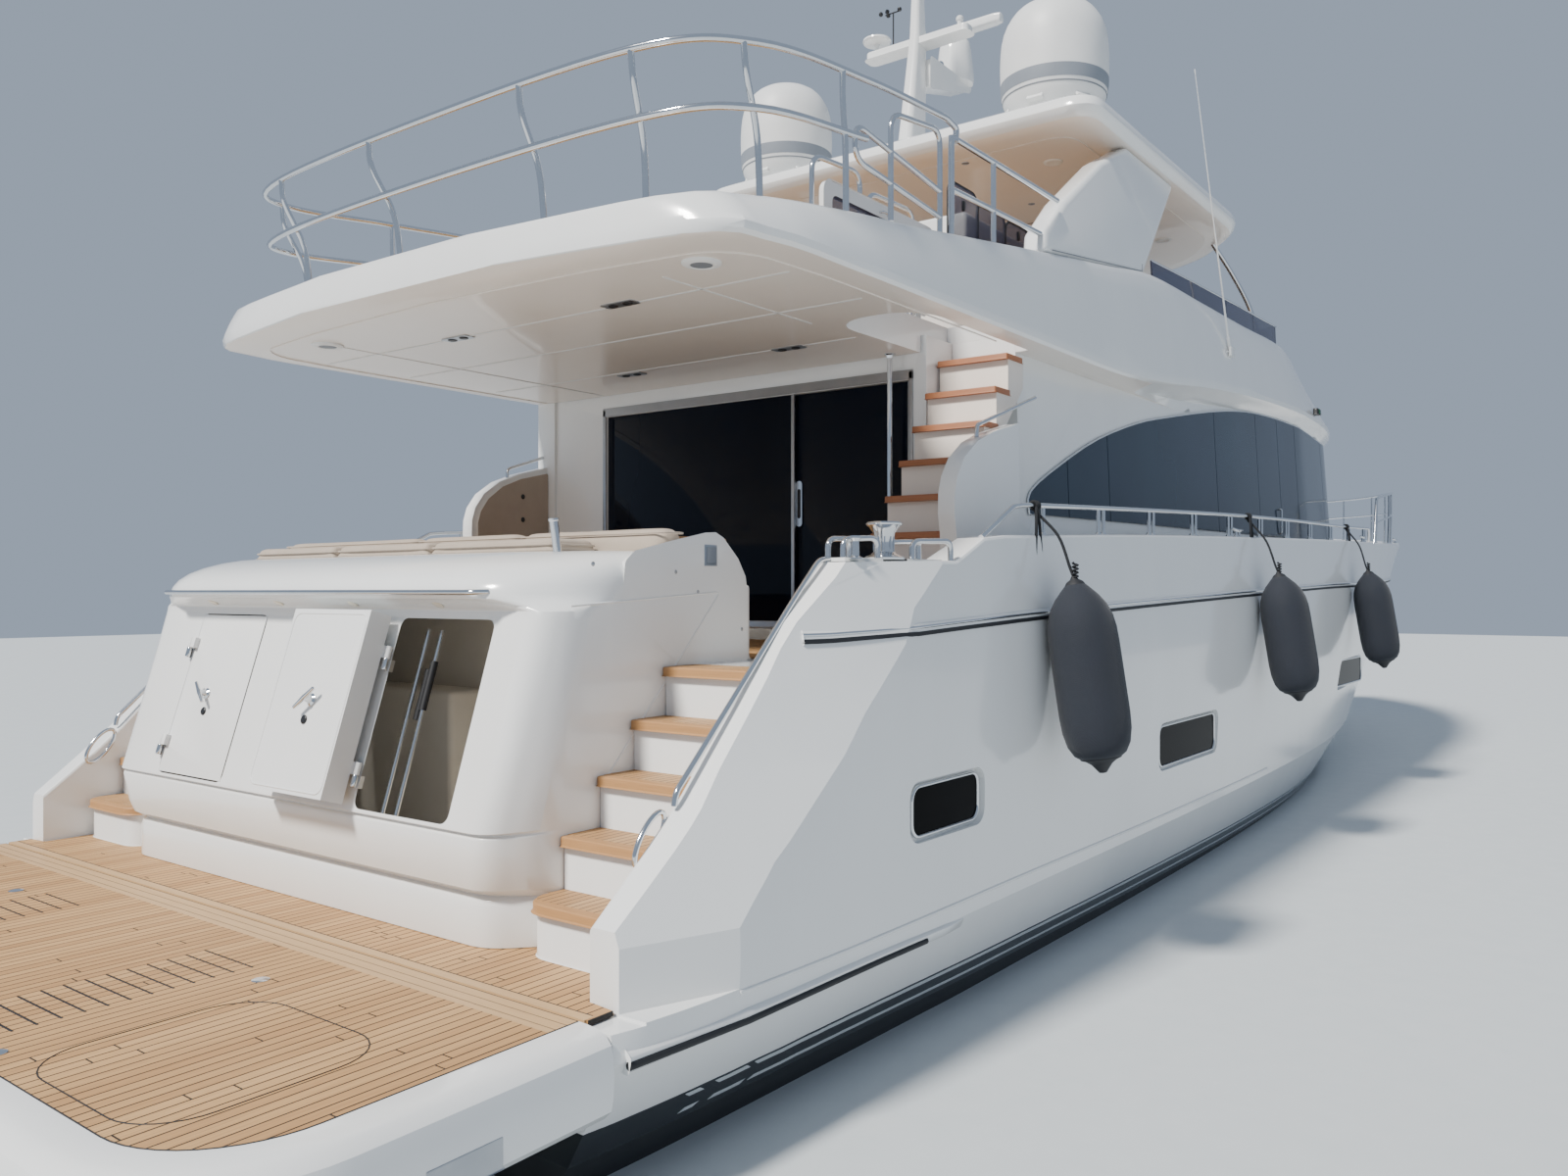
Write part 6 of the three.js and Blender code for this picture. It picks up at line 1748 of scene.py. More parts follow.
def makeFlyRail():
    look = railLook
    height = lambda x: lerpRow(look["heights"], x, 1)
    coamingTop = [[r[0], r[9]] for r in flyLook["stations"]]
    corner = look["corner"]
    whole = [(x, -y) for x, y in corner[2:]] + [(-8.40, 0)] + [(x, y) for x, y in reversed(corner)]
    top = smoothPath([(-6.10, look["stairY"], 5.245)] + [(x, y, height(x)) for x, y in whole], 8)
    mid = smoothPath([(x + (0.05 if x < -8 else 0), y, height(x) - 0.33) for x, y in whole], 8)
    ending = bentPath([(-5.98, look["stairY"], 5.13), (-5.96, look["stairY"], 5.22)] + top, 0.03)
    fore = bentPath([(-6.03, look["stairY"], 4.60), (-6.03, look["stairY"], 5.15),
                     (-4.42, look["stairY"], 5.175)], 0.06)
    foreMid = [(-6.03, look["stairY"], 4.82), (-4.72, look["stairY"], 4.86)]
    posts, feet = [], []
    spots = [(-7.18, -2.19), (-7.95, -2.10), (-8.30, -1.62), (-8.40, -0.95), (-8.40, 0.35), (-8.31, 1.50),
             (-7.95, 2.11), (-7.0, 2.198), (-5.9, 2.212), (-4.9, 2.218)]
    for x, y in spots:
        aft = x < -7.5
        footX = x + (0.17 if aft else 0.0)
        footY = y * (0.975 if aft else 0.995)
        z = lerpRow(coamingTop, footX, 1) - 0.004
        head = min(top, key=lambda p: (p.x - x) ** 2 + (p.y - y) ** 2)
        posts.append(smoothPath([(footX, footY, z),
                                 (footX - (footX - head.x) * 0.22, footY + (head.y - footY) * 0.3,
                                  z + (head.z - z) * 0.45),
                                 (head.x + 0.025 * aft, head.y, head.z - 0.16), tuple(head)], 5))
        feet.append((footX, footY, z))
    for x in (-5.45, -6.03):
        z = lerpRow(coamingTop, x, 1) - 0.004
        posts.append([(x, look["stairY"], z), (x, look["stairY"], 5.155)])
        feet.append((x, look["stairY"], z))
    barPiece("fly_rail_runs", [ending, mid, fore, foreMid], look["flyRadius"], sides=16,
             replaces=("flybridge_rail",))
    barPiece("fly_rail_posts", posts, 0.018, sides=14)
    baseDiscs("fly_rail_feet", feet)
    # hoops of bent tube round the stair head
    out = -2.185
    loops = [
        [(-6.72, out, 4.45), (-6.72, out, 5.08), (-6.14, out, 5.16), (-6.14, out, 4.50)],
        [(-6.14, out, 4.78), (-7.10, out, 4.90), (-7.10, out, 4.70), (-6.14, out, 4.62)],
        [(-6.46, -1.44, 4.22), (-6.46, -1.44, 5.08), (-5.90, -1.44, 5.12), (-5.90, -1.44, 4.22)],
        [(-5.80, -1.44, 4.22), (-5.80, -1.44, 5.02), (-5.20, -1.44, 5.04), (-5.20, -1.44, 4.22)],
    ]
    barPiece("stair_head_hoops", [bentPath(p, 0.11, 6) for p in loops], 0.017, sides=14)
    # grab rails on the fairings; the port fairing's inner face is padded
    for label, side, end in (("starboard", -1, (-4.925, 3.655)), ("port", 1, (-5.392, 3.50))):
        y = side * 2.262
        rail = bentPath([(-5.80, y, 3.29), (-5.80, y, 3.365), (end[0], y, end[1])], 0.035)
        barPiece("fairing_grab_rail_" + label, [rail], 0.014)
    pad = [(-6.10, 2.42), (-5.40, 2.42), (-5.40, 3.345), (-5.70, 3.275), (-5.90, 3.195), (-6.05, 3.085),
           (-6.125, 2.98), (-6.155, 2.88), (-6.155, 2.70)]
    piece = bevelled(prismPiece("fairing_pad", pad, 2.196, 2.216, axis="y"), 0.008, 3)
    settle(piece, taupeCloth, smooth=50)
    button = lathePiece("button", [(0.002, 0.006), (0.016, 0.005), (0.022, 0.0), (0.022, -0.003),
                                   (0.002, -0.003)], 20)
    fittingPiece("fairing_buttons", button, [((-5.68, 2.195, 2.93), (math.radians(90), 0, 0)),
                                             ((-5.68, 2.195, 3.13), (math.radians(90), 0, 0))],
                 blackRubber)


sideRailLook = {"run": [(-6.25, 2.735, 2.80), (-5.90, 2.732, 2.825), (-4.00, 2.745, 2.900),
                        (-2.00, 2.765, 2.970), (0.0, 2.775, 3.020), (2.20, 2.780, 3.060), (4.00, 2.765, 3.110)],
                "bow": [(4.90, 2.70, 3.56), (6.40, 2.60, 3.72), (8.00, 2.36, 3.85), (9.50, 2.02, 3.95),
                        (10.80, 1.58, 4.01), (11.90, 0.90, 4.05)]}


def bulwarkTop(x):
    return lerpRow(hullRows, x, 7)


def makeSideRails():
    for label, side in bothSides:
        run = smoothPath([(x, side * y, z) for x, y, z in sideRailLook["run"]], 6)
        foot = Vector((-6.66, side * 2.735, bulwarkTop(-6.66)))
        end = Vector((4.12, side * 2.745, bulwarkTop(4.12)))
        barPiece("side_rail_run_" + label, [bentPath([foot] + run + [end], 0.07)], 0.016, sides=14,
                 replaces=("side_rail_" + label,))
        posts, feet = [], []
        for i in range(11):
            x = -5.88 + i * 0.956
            for dx in (-0.045, 0.045):
                z = min(run, key=lambda p: abs(p.x - x)).z
                y = side * lerpRow(sideRailLook["run"], x, 1)
                low = bulwarkTop(x + dx) - 0.003
                posts.append([(x + dx, y, low), (x + dx, y, z)])
                feet.append((x + dx, y, low))
        barPiece("side_rail_posts_" + label, posts, 0.013, sides=12)
        baseDiscs("side_rail_feet_" + label, feet, radius=0.026)
    half = [(x, -y, z) for x, y, z in sideRailLook["bow"]]
    whole = half + [(12.48, 0, 4.06)] + [(x, -y, z) for x, y, z in reversed(half)]
    top = smoothPath(whole, 6)
    ends = [(4.62, -2.72, bulwarkTop(4.62))] + top + [(4.62, 2.72, bulwarkTop(4.62))]
    mid = [(x, y, z - 0.33) for x, y, z in smoothPath(whole, 6)]
    barPiece("bow_rail_runs", [bentPath(ends, 0.15)], 0.018, sides=14, replaces=("bow_rail",))
    barPiece("bow_rail_mid", [mid], 0.013, sides=12)
    posts, feet = [], []
    for x, y, z in whole:
        low = bulwarkTop(x)
        posts.append(smoothPath([(x, y * 0.995, low - 0.003), (x, y, low + (z - low) * 0.5), (x, y, z)], 4))
        feet.append((x, y * 0.995, low - 0.003))
    barPiece("bow_rail_posts", posts, 0.015, sides=12)
    baseDiscs("bow_rail_feet", feet)


makeFlyRail()
makeSideRails()
print("stage: rails")


# Fenders: navy covers over a round body leaning off the hull, rubber eyes, lanyards tied to the handrail
fenderLook = {"radius": 0.204, "length": 1.10, "lean": math.radians(-9),
              "places": [("fender_aft", -5.95, 2.33), ("fender_mid", -1.50, 2.42), ("fender_fore", 2.60, 2.50)]}


def makeFenders():
    radius, length = fenderLook["radius"], fenderLook["length"]
    for name, x, top in fenderLook["places"]:
        y = -(hullSide(x, top - 0.19) + radius - 0.034)
        leaning = Matrix.Translation((x, y, top)) @ Matrix.Rotation(fenderLook["lean"], 4,
                                                                    "X") @ Matrix.Translation((0, 0, -length))
        shape = [(0.002, 0.085), (0.115, 0.088), (0.150, 0.112), (0.180, 0.165), (0.198, 0.245), (radius, 0.34),
                 (radius, length - 0.34),
                 (0.201, length - 0.26), (0.190, length - 0.19), (0.165, length - 0.12), (0.125, length - 0.06),
                 (0.085, length - 0.015), (0.050, length + 0.022), (0.002, length + 0.034)]
        cover = lathePiece(name + "_cover", shape, 48)
        cover.data.transform(leaning)
        settle(cover, navyCloth, replaces=(name,), smooth=60)
        eyes = [lathePiece("eye", [(0.002, 0.0), (0.022, 0.004), (0.040, 0.028), (0.062, 0.055), (0.090, 0.074),
                                   (0.118, 0.084), (0.120, 0.094), (0.002, 0.094)], 32),
                lathePiece("eye", [(0.003, length + 0.062), (0.016, length + 0.062), (0.024, length + 0.045),
                                   (0.048, length + 0.03), (0.060, length + 0.012), (0.003, length + 0.02)],
                                   32)]
        for eye in eyes:
            eye.data.transform(leaning)
        settle(joined(name + "_eyes", eyes), blackRubber)
        railY = -lerpRow(sideRailLook["run"], x, 1)
        railZ = lerpRow(sideRailLook["run"], x, 2)
        topZ = top + 0.055
        knot = (x, y + 0.03, topZ + 0.05)
        line = smoothPath([(x, y, topZ - 0.02), knot,
                           (x + 0.004, (y + railY) / 2 - 0.02, (topZ + railZ) / 2 + 0.03),
                           (x, railY - 0.012, railZ - 0.04), (x, railY - 0.022, railZ),
                           (x, railY, railZ + 0.024), (x + 0.01, railY + 0.022, railZ),
                           (x + 0.015, railY - 0.005, railZ - 0.05)], 6)
        turns = []
        for i in range(30):
            a = i * 2 * math.pi / 9
            turns.append((x - 0.03 + 0.002 * i, railY + 0.025 * math.cos(a), railZ + 0.025 * math.sin(a)))
        tail = smoothPath([(x - 0.03, railY - 0.02, railZ - 0.01), (x - 0.08, railY - 0.045, railZ - 0.14),
                           (x - 0.10, railY - 0.05, railZ - 0.34), (x - 0.06, railY - 0.052, railZ - 0.42),
                           (x - 0.02, railY - 0.05, railZ - 0.33), (x - 0.03, railY - 0.045, railZ - 0.15),
                           (x - 0.025, railY - 0.03, railZ - 0.03)], 6)
        barPiece(name + "_lanyard", [line, turns, tail], 0.009, ropeBlack, 10)
        wrap = [(x + 0.016 * math.cos(i * 0.8), y + 0.016 * math.sin(i * 0.8),
                 topZ - 0.01 + i * 0.0028) for i in range(36)]
        barPiece(name + "_whipping", [wrap], 0.006, ropeBlack, 8)


makeFenders()


# Cushions: a block a little smaller than its place is blown up as cloth, then seamed
def cushionPiece(name, low, high, material, radius=0.03, swell=0.012, voxel=0.022, replaces=()):
    inset = swell * 0.8
    a = Vector(low) + Vector((inset,) * 3)
    b = Vector(high) - Vector((inset,) * 3)
    a.z = low[2] + 0.002
    block = bevelled(blockPiece(name, a, b), min(radius, (b.z - a.z) * 0.4, (b.x - a.x) * 0.4), 4)
    remesh = block.modifiers.new("remesh", "REMESH")
    remesh.mode = "VOXEL"
    remesh.voxel_size = voxel
    applyAll(block)
    before = [v.co.copy() for v in block.data.vertices]
    cloth = block.modifiers.new("cloth", "CLOTH")
    cloth.settings.use_pressure = True
    cloth.settings.uniform_pressure_force = 4
    cloth.settings.effector_weights.gravity = 0
    cloth.settings.quality = 4
    cloth.point_cache.frame_start, cloth.point_cache.frame_end = 1, 14
    for step in range(1, 15):
        scene.frame_set(step)
    applyAll(block)
    scene.frame_set(1)
    for vert, start in zip(block.data.vertices, before):
        move = vert.co - start
        if move.length > swell:
            move = move.normalized() * swell
        co = start + move
        co.z = max(co.z, low[2] + 0.001)
        for i in range(3):
            co[i] = min(max(co[i], low[i]), high[i])
        vert.co = co
    smoothing = block.modifiers.new("smooth", "SUBSURF")
    smoothing.levels = smoothing.render_levels = 1
    applyAll(block)
    settle(block, material, slot="cushion", smooth=70, replaces=replaces)
    # piping round the upper edge, a little inside the corner
    z = high[2] - min(radius, 0.03) - swell * 0.4
    inner = 0.008
    plan = roundedRect(low[0] + inner, high[0] - inner, low[1] + inner, high[1] - inner, min(radius, 0.05), 5)
    loop = [(x, y, z) for x, y in plan]
    barPiece(name + "_piping", [loop + loop[:1]], 0.0055, material, 8, slot="cushion")


def makeCushions():
    gap = 0.006
    cushionPiece("sofa_back_port", (-8.178, 0.30, 2.426), (-7.992, 1.748, 2.638), taupeCloth, 0.06, 0.016,
                 replaces=("sofa_back",))
    cushionPiece("sofa_back_middle", (-8.178, -0.62 + gap, 2.426), (-7.992, 0.30 - gap, 2.638), taupeCloth,
                 0.06, 0.016)
    cushionPiece("sofa_back_starboard", (-8.178, -1.748, 2.426), (-7.992, -0.62 - gap, 2.638), taupeCloth, 0.06,
                 0.016)
    for i in range(3):
        y0 = -1.70 + i * 1.1333
        cushionPiece("sofa_seat_%d" % (i + 1), (-7.985, y0 + 0.003, 2.341), (-7.478, y0 + 1.1303, 2.425),
                     paleCloth, 0.03, 0.012,
                     replaces=("sofa_seat",) if i == 0 else ())
    # pads on the coaming aft of the sofa
    for i, (y0, y1) in enumerate(((-1.30, -0.30), (-0.29, 0.60), (0.61, 1.50))):
        cushionPiece("coaming_pad_%d" % (i + 1), (-8.52, y0, 2.5035), (-8.192, y1, 2.575), taupeCloth, 0.035,
                     0.010)
    cushionPiece("sunpad_starboard", (7.905, -0.898, 3.3905), (9.195, -0.005, 3.4795), paleCloth, 0.03, 0.012,
                 voxel=0.03, replaces=("sunpad",))
    cushionPiece("sunpad_port", (7.905, 0.005, 3.3905), (9.195, 0.898, 3.4795), paleCloth, 0.03, 0.012,
                 voxel=0.03)
    settle(bevelled(blockPiece("fly_sofa_base", (-3.90, 1.02, 4.2205), (-0.90, 1.875, 4.50)), 0.015, 2), gel,
           replaces=("fly_sofa",))
    for i in range(3):
        x0 = -3.90 + i * 1.0
        cushionPiece("fly_sofa_seat_%d" % (i + 1), (x0 + 0.003, 1.005, 4.50), (x0 + 0.997, 1.60, 4.65),
                     paleCloth, 0.04, 0.014, voxel=0.028)
        cushionPiece("fly_sofa_back_%d" % (i + 1), (x0 + 0.003, 1.605, 4.52), (x0 + 0.997, 1.878, 4.90),
                     paleCloth, 0.05, 0.014, voxel=0.028)
    settle(bevelled(blockPiece("helm_seat_base", (0.36, -1.40, 4.2205), (0.80, -0.40, 4.58)), 0.02, 2), gel,
           replaces=("fly_helm_seat",))
    for i, y0 in enumerate((-1.45, -0.897)):
        cushionPiece("helm_seat_%d" % (i + 1), (0.322, y0, 4.585), (0.85, y0 + 0.545, 4.75), paleCloth, 0.04,
                     0.014, voxel=0.026)
        cushionPiece("helm_back_%d" % (i + 1), (0.202, y0, 4.56), (0.318, y0 + 0.545, 5.248), paleCloth, 0.04,
                     0.012, voxel=0.026)
    settle(bevelled(blockPiece("saloon_sofa_base", (-4.40, 1.32, 2.0765), (-1.50, 1.995, 2.32)), 0.015, 2),
           walnut, replaces=("saloon_sofa",))
    for i in range(2):
        x0 = -4.40 + i * 1.45
        cushionPiece("saloon_seat_%d" % (i + 1), (x0 + 0.003, 1.302, 2.321), (x0 + 1.447, 1.80, 2.50),
                     paleCloth, 0.04, 0.014, voxel=0.034)
        cushionPiece("saloon_back_%d" % (i + 1), (x0 + 0.003, 1.803, 2.40), (x0 + 1.447, 1.998, 2.80),
                     paleCloth, 0.05, 0.014, voxel=0.034)


makeCushions()
print("stage: soft goods")


# Cockpit table, flybridge console and bar, tinted screens
def makeFurniture():
    top = bevelled(prismPiece("table_top", roundedRect(-7.15, -6.35, -0.70, 0.70, 0.10), 2.622, 2.66), 0.01, 3)
    edge = bevelled(prismPiece("table_edge", roundedRect(-7.148, -6.352, -0.698, 0.698, 0.10), 2.628, 2.648),
                    0.004, 2)
    settle(joined("cockpit_table_top", [top, edge]), teakTread, replaces=("cockpit_table",))
    leg = lathePiece("table_leg", [(0.003, 1.9365), (0.17, 1.937), (0.17, 1.944), (0.10, 1.952), (0.062, 1.975),
                                   (0.058, 2.30), (0.050, 2.305), (0.050, 2.60), (0.11, 2.612), (0.11, 2.622),
                                   (0.003, 2.622)], 40, (-6.75, 0, 0))
    settle(leg, stainless)
    console = fromNode("fly_console", "fly_console_body", 0.04, 4, 30)
    settle(console, gel, replaces=("fly_console",))
    slope = Vector((0.2, 0, 0.2)).normalized()
    out = Vector((-slope.z, 0, slope.x))
    panels = []
    for y0, y1 in ((-1.40, -1.02), (-0.98, -0.60)):
        corners = []
        for t in (0.03, 0.25):
            base = Vector((1.45, 0, 4.95)) + slope * t
            corners += [base, base + out * 0.012]
        low, lowOut, high, highOut = corners
        panels.append(loftPiece("display", [[(low.x, y, low.z), (high.x, y, high.z), (highOut.x, y, highOut.z),
                                             (lowOut.x, y, lowOut.z)] for y in (y0, y1)]))
    settle(bevelled(joined("helm_displays", panels), 0.003, 2), screenBlack)
    hub = Vector((1.40, -1.15, 4.86))
    tilt = Vector((-0.86, 0, 0.5)).normalized()
    flat = Vector((0, 1, 0))
    up = tilt.cross(flat)
    onRim = lambda a: hub + tilt * 0.10 + (flat * math.cos(a) + up * math.sin(a)) * 0.19
    rim = [onRim(i * math.pi / 20) for i in range(41)]
    spokes = [[hub + tilt * 0.03, onRim(a)] for a in (0.5, 2.6, 4.7)]
    barPiece("helm_wheel", [rim], 0.015, blackRubber, 12)
    barPiece("helm_wheel_spokes", spokes + [[hub - tilt * 0.04, hub + tilt * 0.05]], 0.010)
    bar = fromNode("fly_bar", "fly_bar_body", 0.03, 3, 30)
    settle(bar, gel, replaces=("fly_bar",))
    panels, latches, edges = [], [], []
    for i in range(3):
        x0 = -4.99 + i * 0.465
        plan = roundedRect(x0, x0 + 0.455, 4.40, 5.30 - 0.03 * i, 0.09)
        panels.append(bevelled(prismPiece("panel", plan, -1.618, -1.603, axis="y"), 0.004, 2))
        latches.append(((x0 + 0.22, -1.620, 5.16), (math.radians(90), 0, 0)))
        edges.append([(x, -1.611, z) for x, z in plan + plan[:1]])
    barPiece("bar_panel_edges", edges, 0.010, blackRubber, 8)
    settle(joined("bar_panels", panels), smokedPanel)
    latch = bevelled(blockPiece("latch", (-0.014, -0.035, -0.004), (0.014, 0.035, 0.012)), 0.004, 2)
    fittingPiece("bar_latches", latch, latches, blackPlastic)
    sole = [(min(r[0], 2.11) + (0.12 if r[0] < -8 else 0), r[8] - 0.15) for r in flyLook["stations"][1:12]]
    outline = [(x, -y) for x, y in sole] + [(x, y) for x, y in reversed(sole)]
    deck = prismPiece("flybridge_teak", outline, 4.2202, 4.2262)
    cut(deck, blockPiece("gap", (-6.56, -2.4, 4.0), (-4.94, -1.42, 4.4)),
        blockPiece("gap", (-4.72, -1.62, 4.0), (-3.58, -1.08, 4.4)),
        blockPiece("gap", (1.28, -1.52, 4.0), (2.12, -0.28, 4.4)),
        blockPiece("gap", (-3.92, 1.0, 4.0), (-0.88, 1.9, 4.4)),
        blockPiece("gap", (0.34, -1.42, 4.0), (0.82, -0.38, 4.4)))
    settle(deck, teakX, smooth=20)
    # the low screen: tinted panes in a steel top rail
    screen = fromNode("fly_windscreen", "fly_screen", 0.0)
    settle(screen, violetGlass, replaces=("fly_windscreen",), smooth=25)
    rows = [(-2.40, 2.196, 5.195), (-1.20, 2.180, 5.260), (0.40, 2.160, 5.340), (2.00, 2.106, 5.434),
            (2.10, 2.100, 5.440)]
    side = [(x, -(y - 0.003), z + 0.001) for x, y, z in rows]
    front = [(2.367, -1.50, 5.442), (2.447, 0, 5.442), (2.367, 1.5, 5.442)]
    half = smoothPath(side, 4)
    run = half + [Vector(p) for p in front] + [Vector((p.x, -p.y, p.z)) for p in reversed(half)]
    barPiece("fly_screen_rail", [run], 0.011)
    ticks = []
    for x in (-1.25, -0.1, 1.0, 2.06):
        for sideSign in (-1, 1):
            y, z = lerpRow(rows, x, 1), lerpRow(rows, x, 2)
            ticks.append([(x, sideSign * (y + 0.010), z - 0.30), (x, sideSign * (y - 0.001), z)])
    barPiece("fly_screen_joints", ticks, 0.007, blackRubber, 6)
    console = fromNode("helm_console", "lower_helm", 0.03, 3, 30)
    settle(console, walnut, slot="grey_plastic", replaces=("helm_console",))


makeFurniture()


# Foredeck trunk with hatches, windlass, anchor and cleats; the trunk's rows are x, half width, top
trunkLook = {"foot": 0.02, "round": 0.03, "lean": 0.04,
             "rows": ((7.48, 1.25, 3.08), (7.70, 1.25, 3.39), (9.30, 1.05, 3.39), (10.10, 0.82, 3.18))}


def trunkPiece():  # its foot is let into the deck
    rings = []
    for x, half, top in trunkLook["rows"]:
        low = lerpRow(hullLook["well"], x, 2) - trunkLook["foot"]
        crown = half - trunkLook["lean"]
        rings.append([(x, -half, low), (x, half, low), (x, crown, top), (x, -crown, top)])
    return bevelled(loftPiece("trunk", rings), trunkLook["round"], 4, 20)


def makeForedeck():
    settle(trunkPiece(), gel, replaces=("foredeck_trunk",))
    locker = bevelled(prismPiece("rim", roundedRect(7.54, 7.80, -0.5, 0.5, 0.06), 3.38, 3.41), 0.008, 3)
    x, z = 9.55, 3.345
    rim = bevelled(prismPiece("rim", roundedRect(x - 0.26, x + 0.26, -0.26, 0.26, 0.07), 3.16, z), 0.012, 3)
    settle(joined("foredeck_hatches", [locker, rim]), satinSteel)
    plan = roundedRect(x - 0.21, x + 0.21, -0.21, 0.21, 0.05)
    pane = bevelled(prismPiece("foredeck_hatch_panes", plan, z - 0.006, z + 0.006), 0.003, 2)
    settle(pane, darkGlass)
    base = bevelled(blockPiece("windlass_base", (11.0, -0.16, 3.055), (11.30, 0.16, 3.17)), 0.02, 3)
    drum = lathePiece("drum", [(0.003, 3.165), (0.085, 3.17), (0.09, 3.19), (0.06, 3.21), (0.055, 3.25),
                               (0.078, 3.28), (0.088, 3.30), (0.084, 3.325), (0.05, 3.3295), (0.003, 3.33)], 36,
                               (11.15, 0, 0))
    settle(joined("windlass_body", [base, drum]), stainless, replaces=("windlass",))
    links = []
    for i in range(24):
        links.append(((11.35 + i * 0.042, 0.0, 3.105 + max(0, i - 14) * 0.021),
                      (math.radians(90) if i % 2 else 0, 0, 0)))
    fittingPiece("anchor_chain", chainLink(), links, satinSteel)
    settle(fromNode("anchor", "anchor_body", 0.008, 2, 30), stainless, replaces=("anchor",))
    cleat = cleatShape()
    places = []
    for side in (-1, 1):
        for x in (-1.9, 3.5, 8.9):
            y = lerpRow(hullRows, x, 6) - 0.035
            places.append((x, side * y, bulwarkTop(x) - 0.001))
    fittingPiece("deck_cleats", cleat, places, stainless)
    for label, side, lens in (("starboard", -1, greenLens), ("port", 1, redLens)):
        lamp = bevelled(blockPiece("side_lamp_" + label, (3.22, side * 2.30 - 0.03, 4.52),
                                   (3.36, side * 2.30 + 0.03, 4.60)), 0.012, 3)
        settle(lamp, blackPlastic)
        glass = bevelled(blockPiece("side_lens_" + label, (3.26, side * 2.32 - 0.02, 4.53),
                                    (3.355, side * 2.32 + 0.02, 4.59)), 0.012, 3)
        settle(glass, lens, slot="grey_plastic")


def chainLink():
    angles = [2 * math.pi * i / 12 for i in range(12)]
    piece = meshPiece("link", [(0.028 * math.cos(a), 0.016 * math.sin(a), 0) for a in angles],
                      edges=[(i, (i + 1) % 12) for i in range(12)])
    return grown(piece, bars, Radius=0.006, Sides=6, Finish=satinSteel)


def cleatShape():
    horn = []
    for x, r in ((-0.15, 0.006), (-0.14, 0.011), (-0.06, 0.015), (0, 0.016), (0.06, 0.015), (0.14, 0.011),
                 (0.15, 0.006)):
        z = 0.055 + 0.012 * (x / 0.15) ** 2
        horn.append([(x, r * math.cos(a), z + r * math.sin(a)) for a in [i * math.pi / 5 for i in range(10)]])
    bar = loftPiece("horn", horn)
    legs = [lathePiece("leg", [(0.002, 0), (0.022, 0.0), (0.022, 0.004), (0.011, 0.014), (0.010, 0.052),
                               (0.002, 0.055)], 16, (x, 0, 0)) for x in (-0.045, 0.045)]
    return joined("cleat", [bar] + legs)


makeForedeck()


# Underwater: shafts, twisted propeller blades, rudders
propLook = {"blades": 4, "hub": 0.084, "root": 0.06, "tip": 0.428, "pitch": 0.62, "slope": 0.19,
            "place": (-7.0, 1.15, -1.18)}


def propellerPiece(name, side):
    look = propLook
    hub = lathePiece("hub", [(0.004, -0.128), (0.05, -0.126), (0.072, -0.10), (look["hub"], 0.0), (0.080, 0.10),
                             (0.07, 0.126), (0.004, 0.128)], 40, axis=(1, 0, 0))
    parts = [hub]
    for blade in range(look["blades"]):
        rings = []
        for i in range(13):
            t = i / 12
            r = look["root"] + (look["tip"] - look["root"]) * t
            chord = 0.125 + 0.20 * math.sin(math.pi * min(1.0, t * 0.86 + 0.12)) ** 0.9
            chord *= 1.0 if t < 0.8 else math.sqrt(max(0.02, 1 - ((t - 0.8) / 0.2) ** 2))
            twist = math.atan2(look["pitch"] * 0.30, 2 * math.pi * r * 0.5) * 0.75 + 0.12
            skew = 0.30 * t * t
            ring = []
            for u, v in [(-0.5, 0), (-0.3, 0.010), (0, 0.013), (0.3, 0.009), (0.5, 0), (0.3, -0.003),
                         (0, -0.004), (-0.3, -0.003)]:
                along, off = u * chord, v * (1.2 - 0.8 * t)
                x = along * math.sin(twist) + off * math.cos(twist)
                arc = along * math.cos(twist) - off * math.sin(twist)
                turn = skew + arc / r * (1 if side > 0 else -1)
                x = max(-0.10, min(0.10, x))
                turn += 2 * math.pi * blade / look["blades"]
                ring.append((x, r * math.cos(turn), r * math.sin(turn)))
            rings.append(ring)
        parts.append(loftPiece("blade", rings))
    prop = joined(name, parts)
    place = Vector(look["place"])
    place.y *= side
    prop.data.transform(Matrix.Translation(place) @ Matrix.Rotation(-math.atan(look["slope"]), 4, "Y"))
    return prop


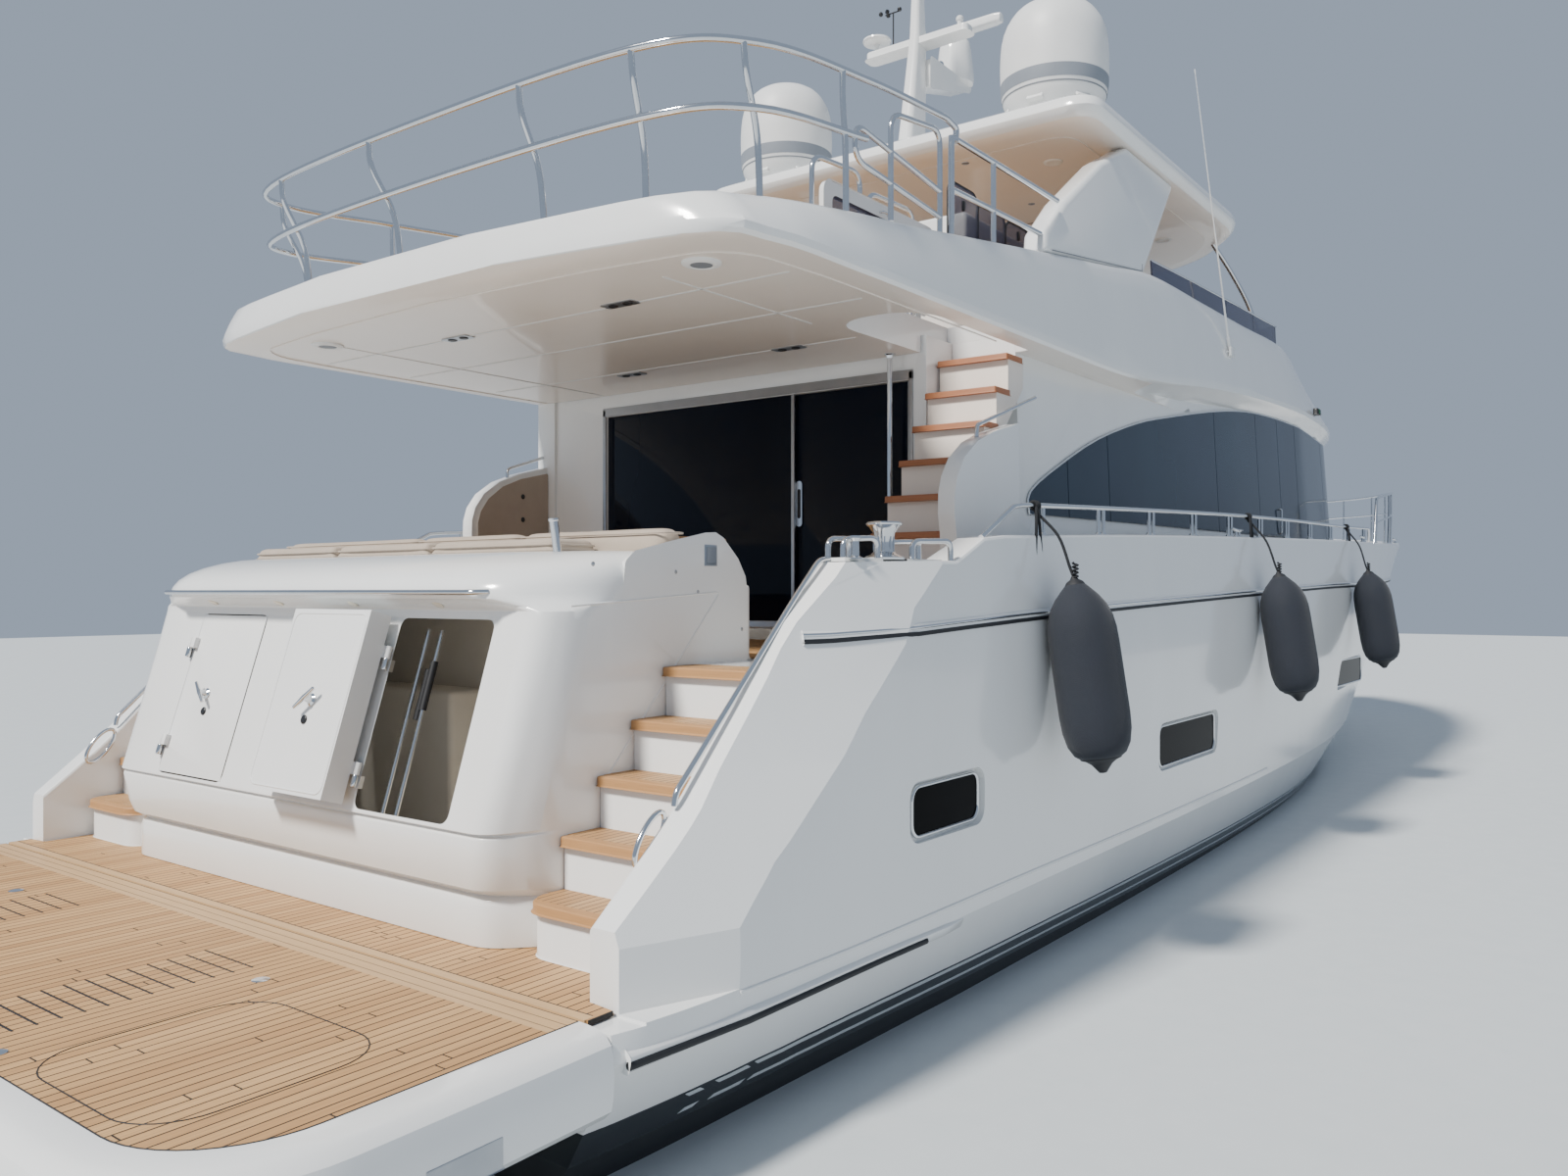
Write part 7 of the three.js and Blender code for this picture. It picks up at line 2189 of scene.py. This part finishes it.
def makeUnderwater():
    for label, side in bothSides:
        prop = propellerPiece("propeller_blades_" + label, side)
        settle(prop, bronze, body="propeller_" + label, replaces=("propeller_" + label,), smooth=40)
        settle(fromNode("shaft_" + label, "shaft_bar_" + label), bronze, replaces=("shaft_" + label,),
               smooth=40)
        rudder = []
        y = side * 1.15
        for z, aft, fore in ((-0.765, -7.952, -7.50), (-1.0, -7.93, -7.512), (-1.25, -7.905, -7.535),
                             (-1.46, -7.875, -7.558), (-1.498, -7.84, -7.60)):
            chord = fore - aft
            ring = [(fore, y, z)]
            for t, h in ((0.08, 0.55), (0.25, 0.95), (0.45, 1.0), (0.75, 0.6), (1.0, 0.08)):
                ring.append((fore - chord * t, y + 0.039 * h, z))
            for t, h in ((1.0, 0.08), (0.75, 0.6), (0.45, 1.0), (0.25, 0.95), (0.08, 0.55)):
                ring.append((fore - chord * t, y - 0.039 * h, z))
            rudder.append(ring)
        blade = loftPiece("blade", rudder)
        stock = lathePiece("stock", [(0.003, -0.80), (0.0418, -0.80), (0.0418, -0.41), (0.04, -0.4005),
                                     (0.003, -0.4)], 32, (-7.75, y, 0))
        settle(joined("rudder_blade_" + label, [blade, stock]), bronze, body="rudder_" + label,
               replaces=("rudder_" + label,), smooth=35)


makeUnderwater()
print("stage: furniture, foredeck and underwater gear")


# Camera at the photograph's place, soft light, pale floor at the waterline
cameraLook = {"eye": (-12.58, -5.77, 2.30), "heading": 36.63, "focal": 1204, "horizon": 604,
              "sunAlong": (0.66, -0.14, -0.74), "sun": 5.8, "sunWide": 9, "sky": 0.50}


def makeView():
    data = bpy.data.cameras.new("view")
    data.sensor_width = 36
    data.lens = 36 * cameraLook["focal"] / 1600
    data.shift_y = (cameraLook["horizon"] - 600) / 1600
    data.clip_end = 500
    camera = pieceOf("view", data)
    camera.location = cameraLook["eye"]
    turn = math.radians(cameraLook["heading"])
    camera.rotation_euler = Vector((math.cos(turn), math.sin(turn), 0)).to_track_quat("-Z", "Y").to_euler()
    scene.camera = camera
    sun = bpy.data.lights.new("sun", "SUN")
    sun.energy = cameraLook["sun"]
    sun.angle = math.radians(cameraLook["sunWide"])
    sun.color = (1.0, 0.965, 0.91)
    aim = Vector(cameraLook["sunAlong"]).to_track_quat("-Z", "Y").to_euler()
    pieceOf("sun", sun).rotation_euler = aim
    world = bpy.data.worlds.new("soft_sky")
    world.use_nodes = True
    light = world.node_tree.nodes["Background"].inputs
    light["Color"].default_value = (0.66, 0.79, 1.0, 1)
    light["Strength"].default_value = cameraLook["sky"]
    scene.world = world
    floor = blockPiece("floor", (-60, -60, -0.02), (60, 60, 0.0))
    pale = plasticFinish("floor_paint", "#cfd4d6", "#c6cccf", 0.5, 0.02)
    floor.data.materials.append(pale)


makeView()
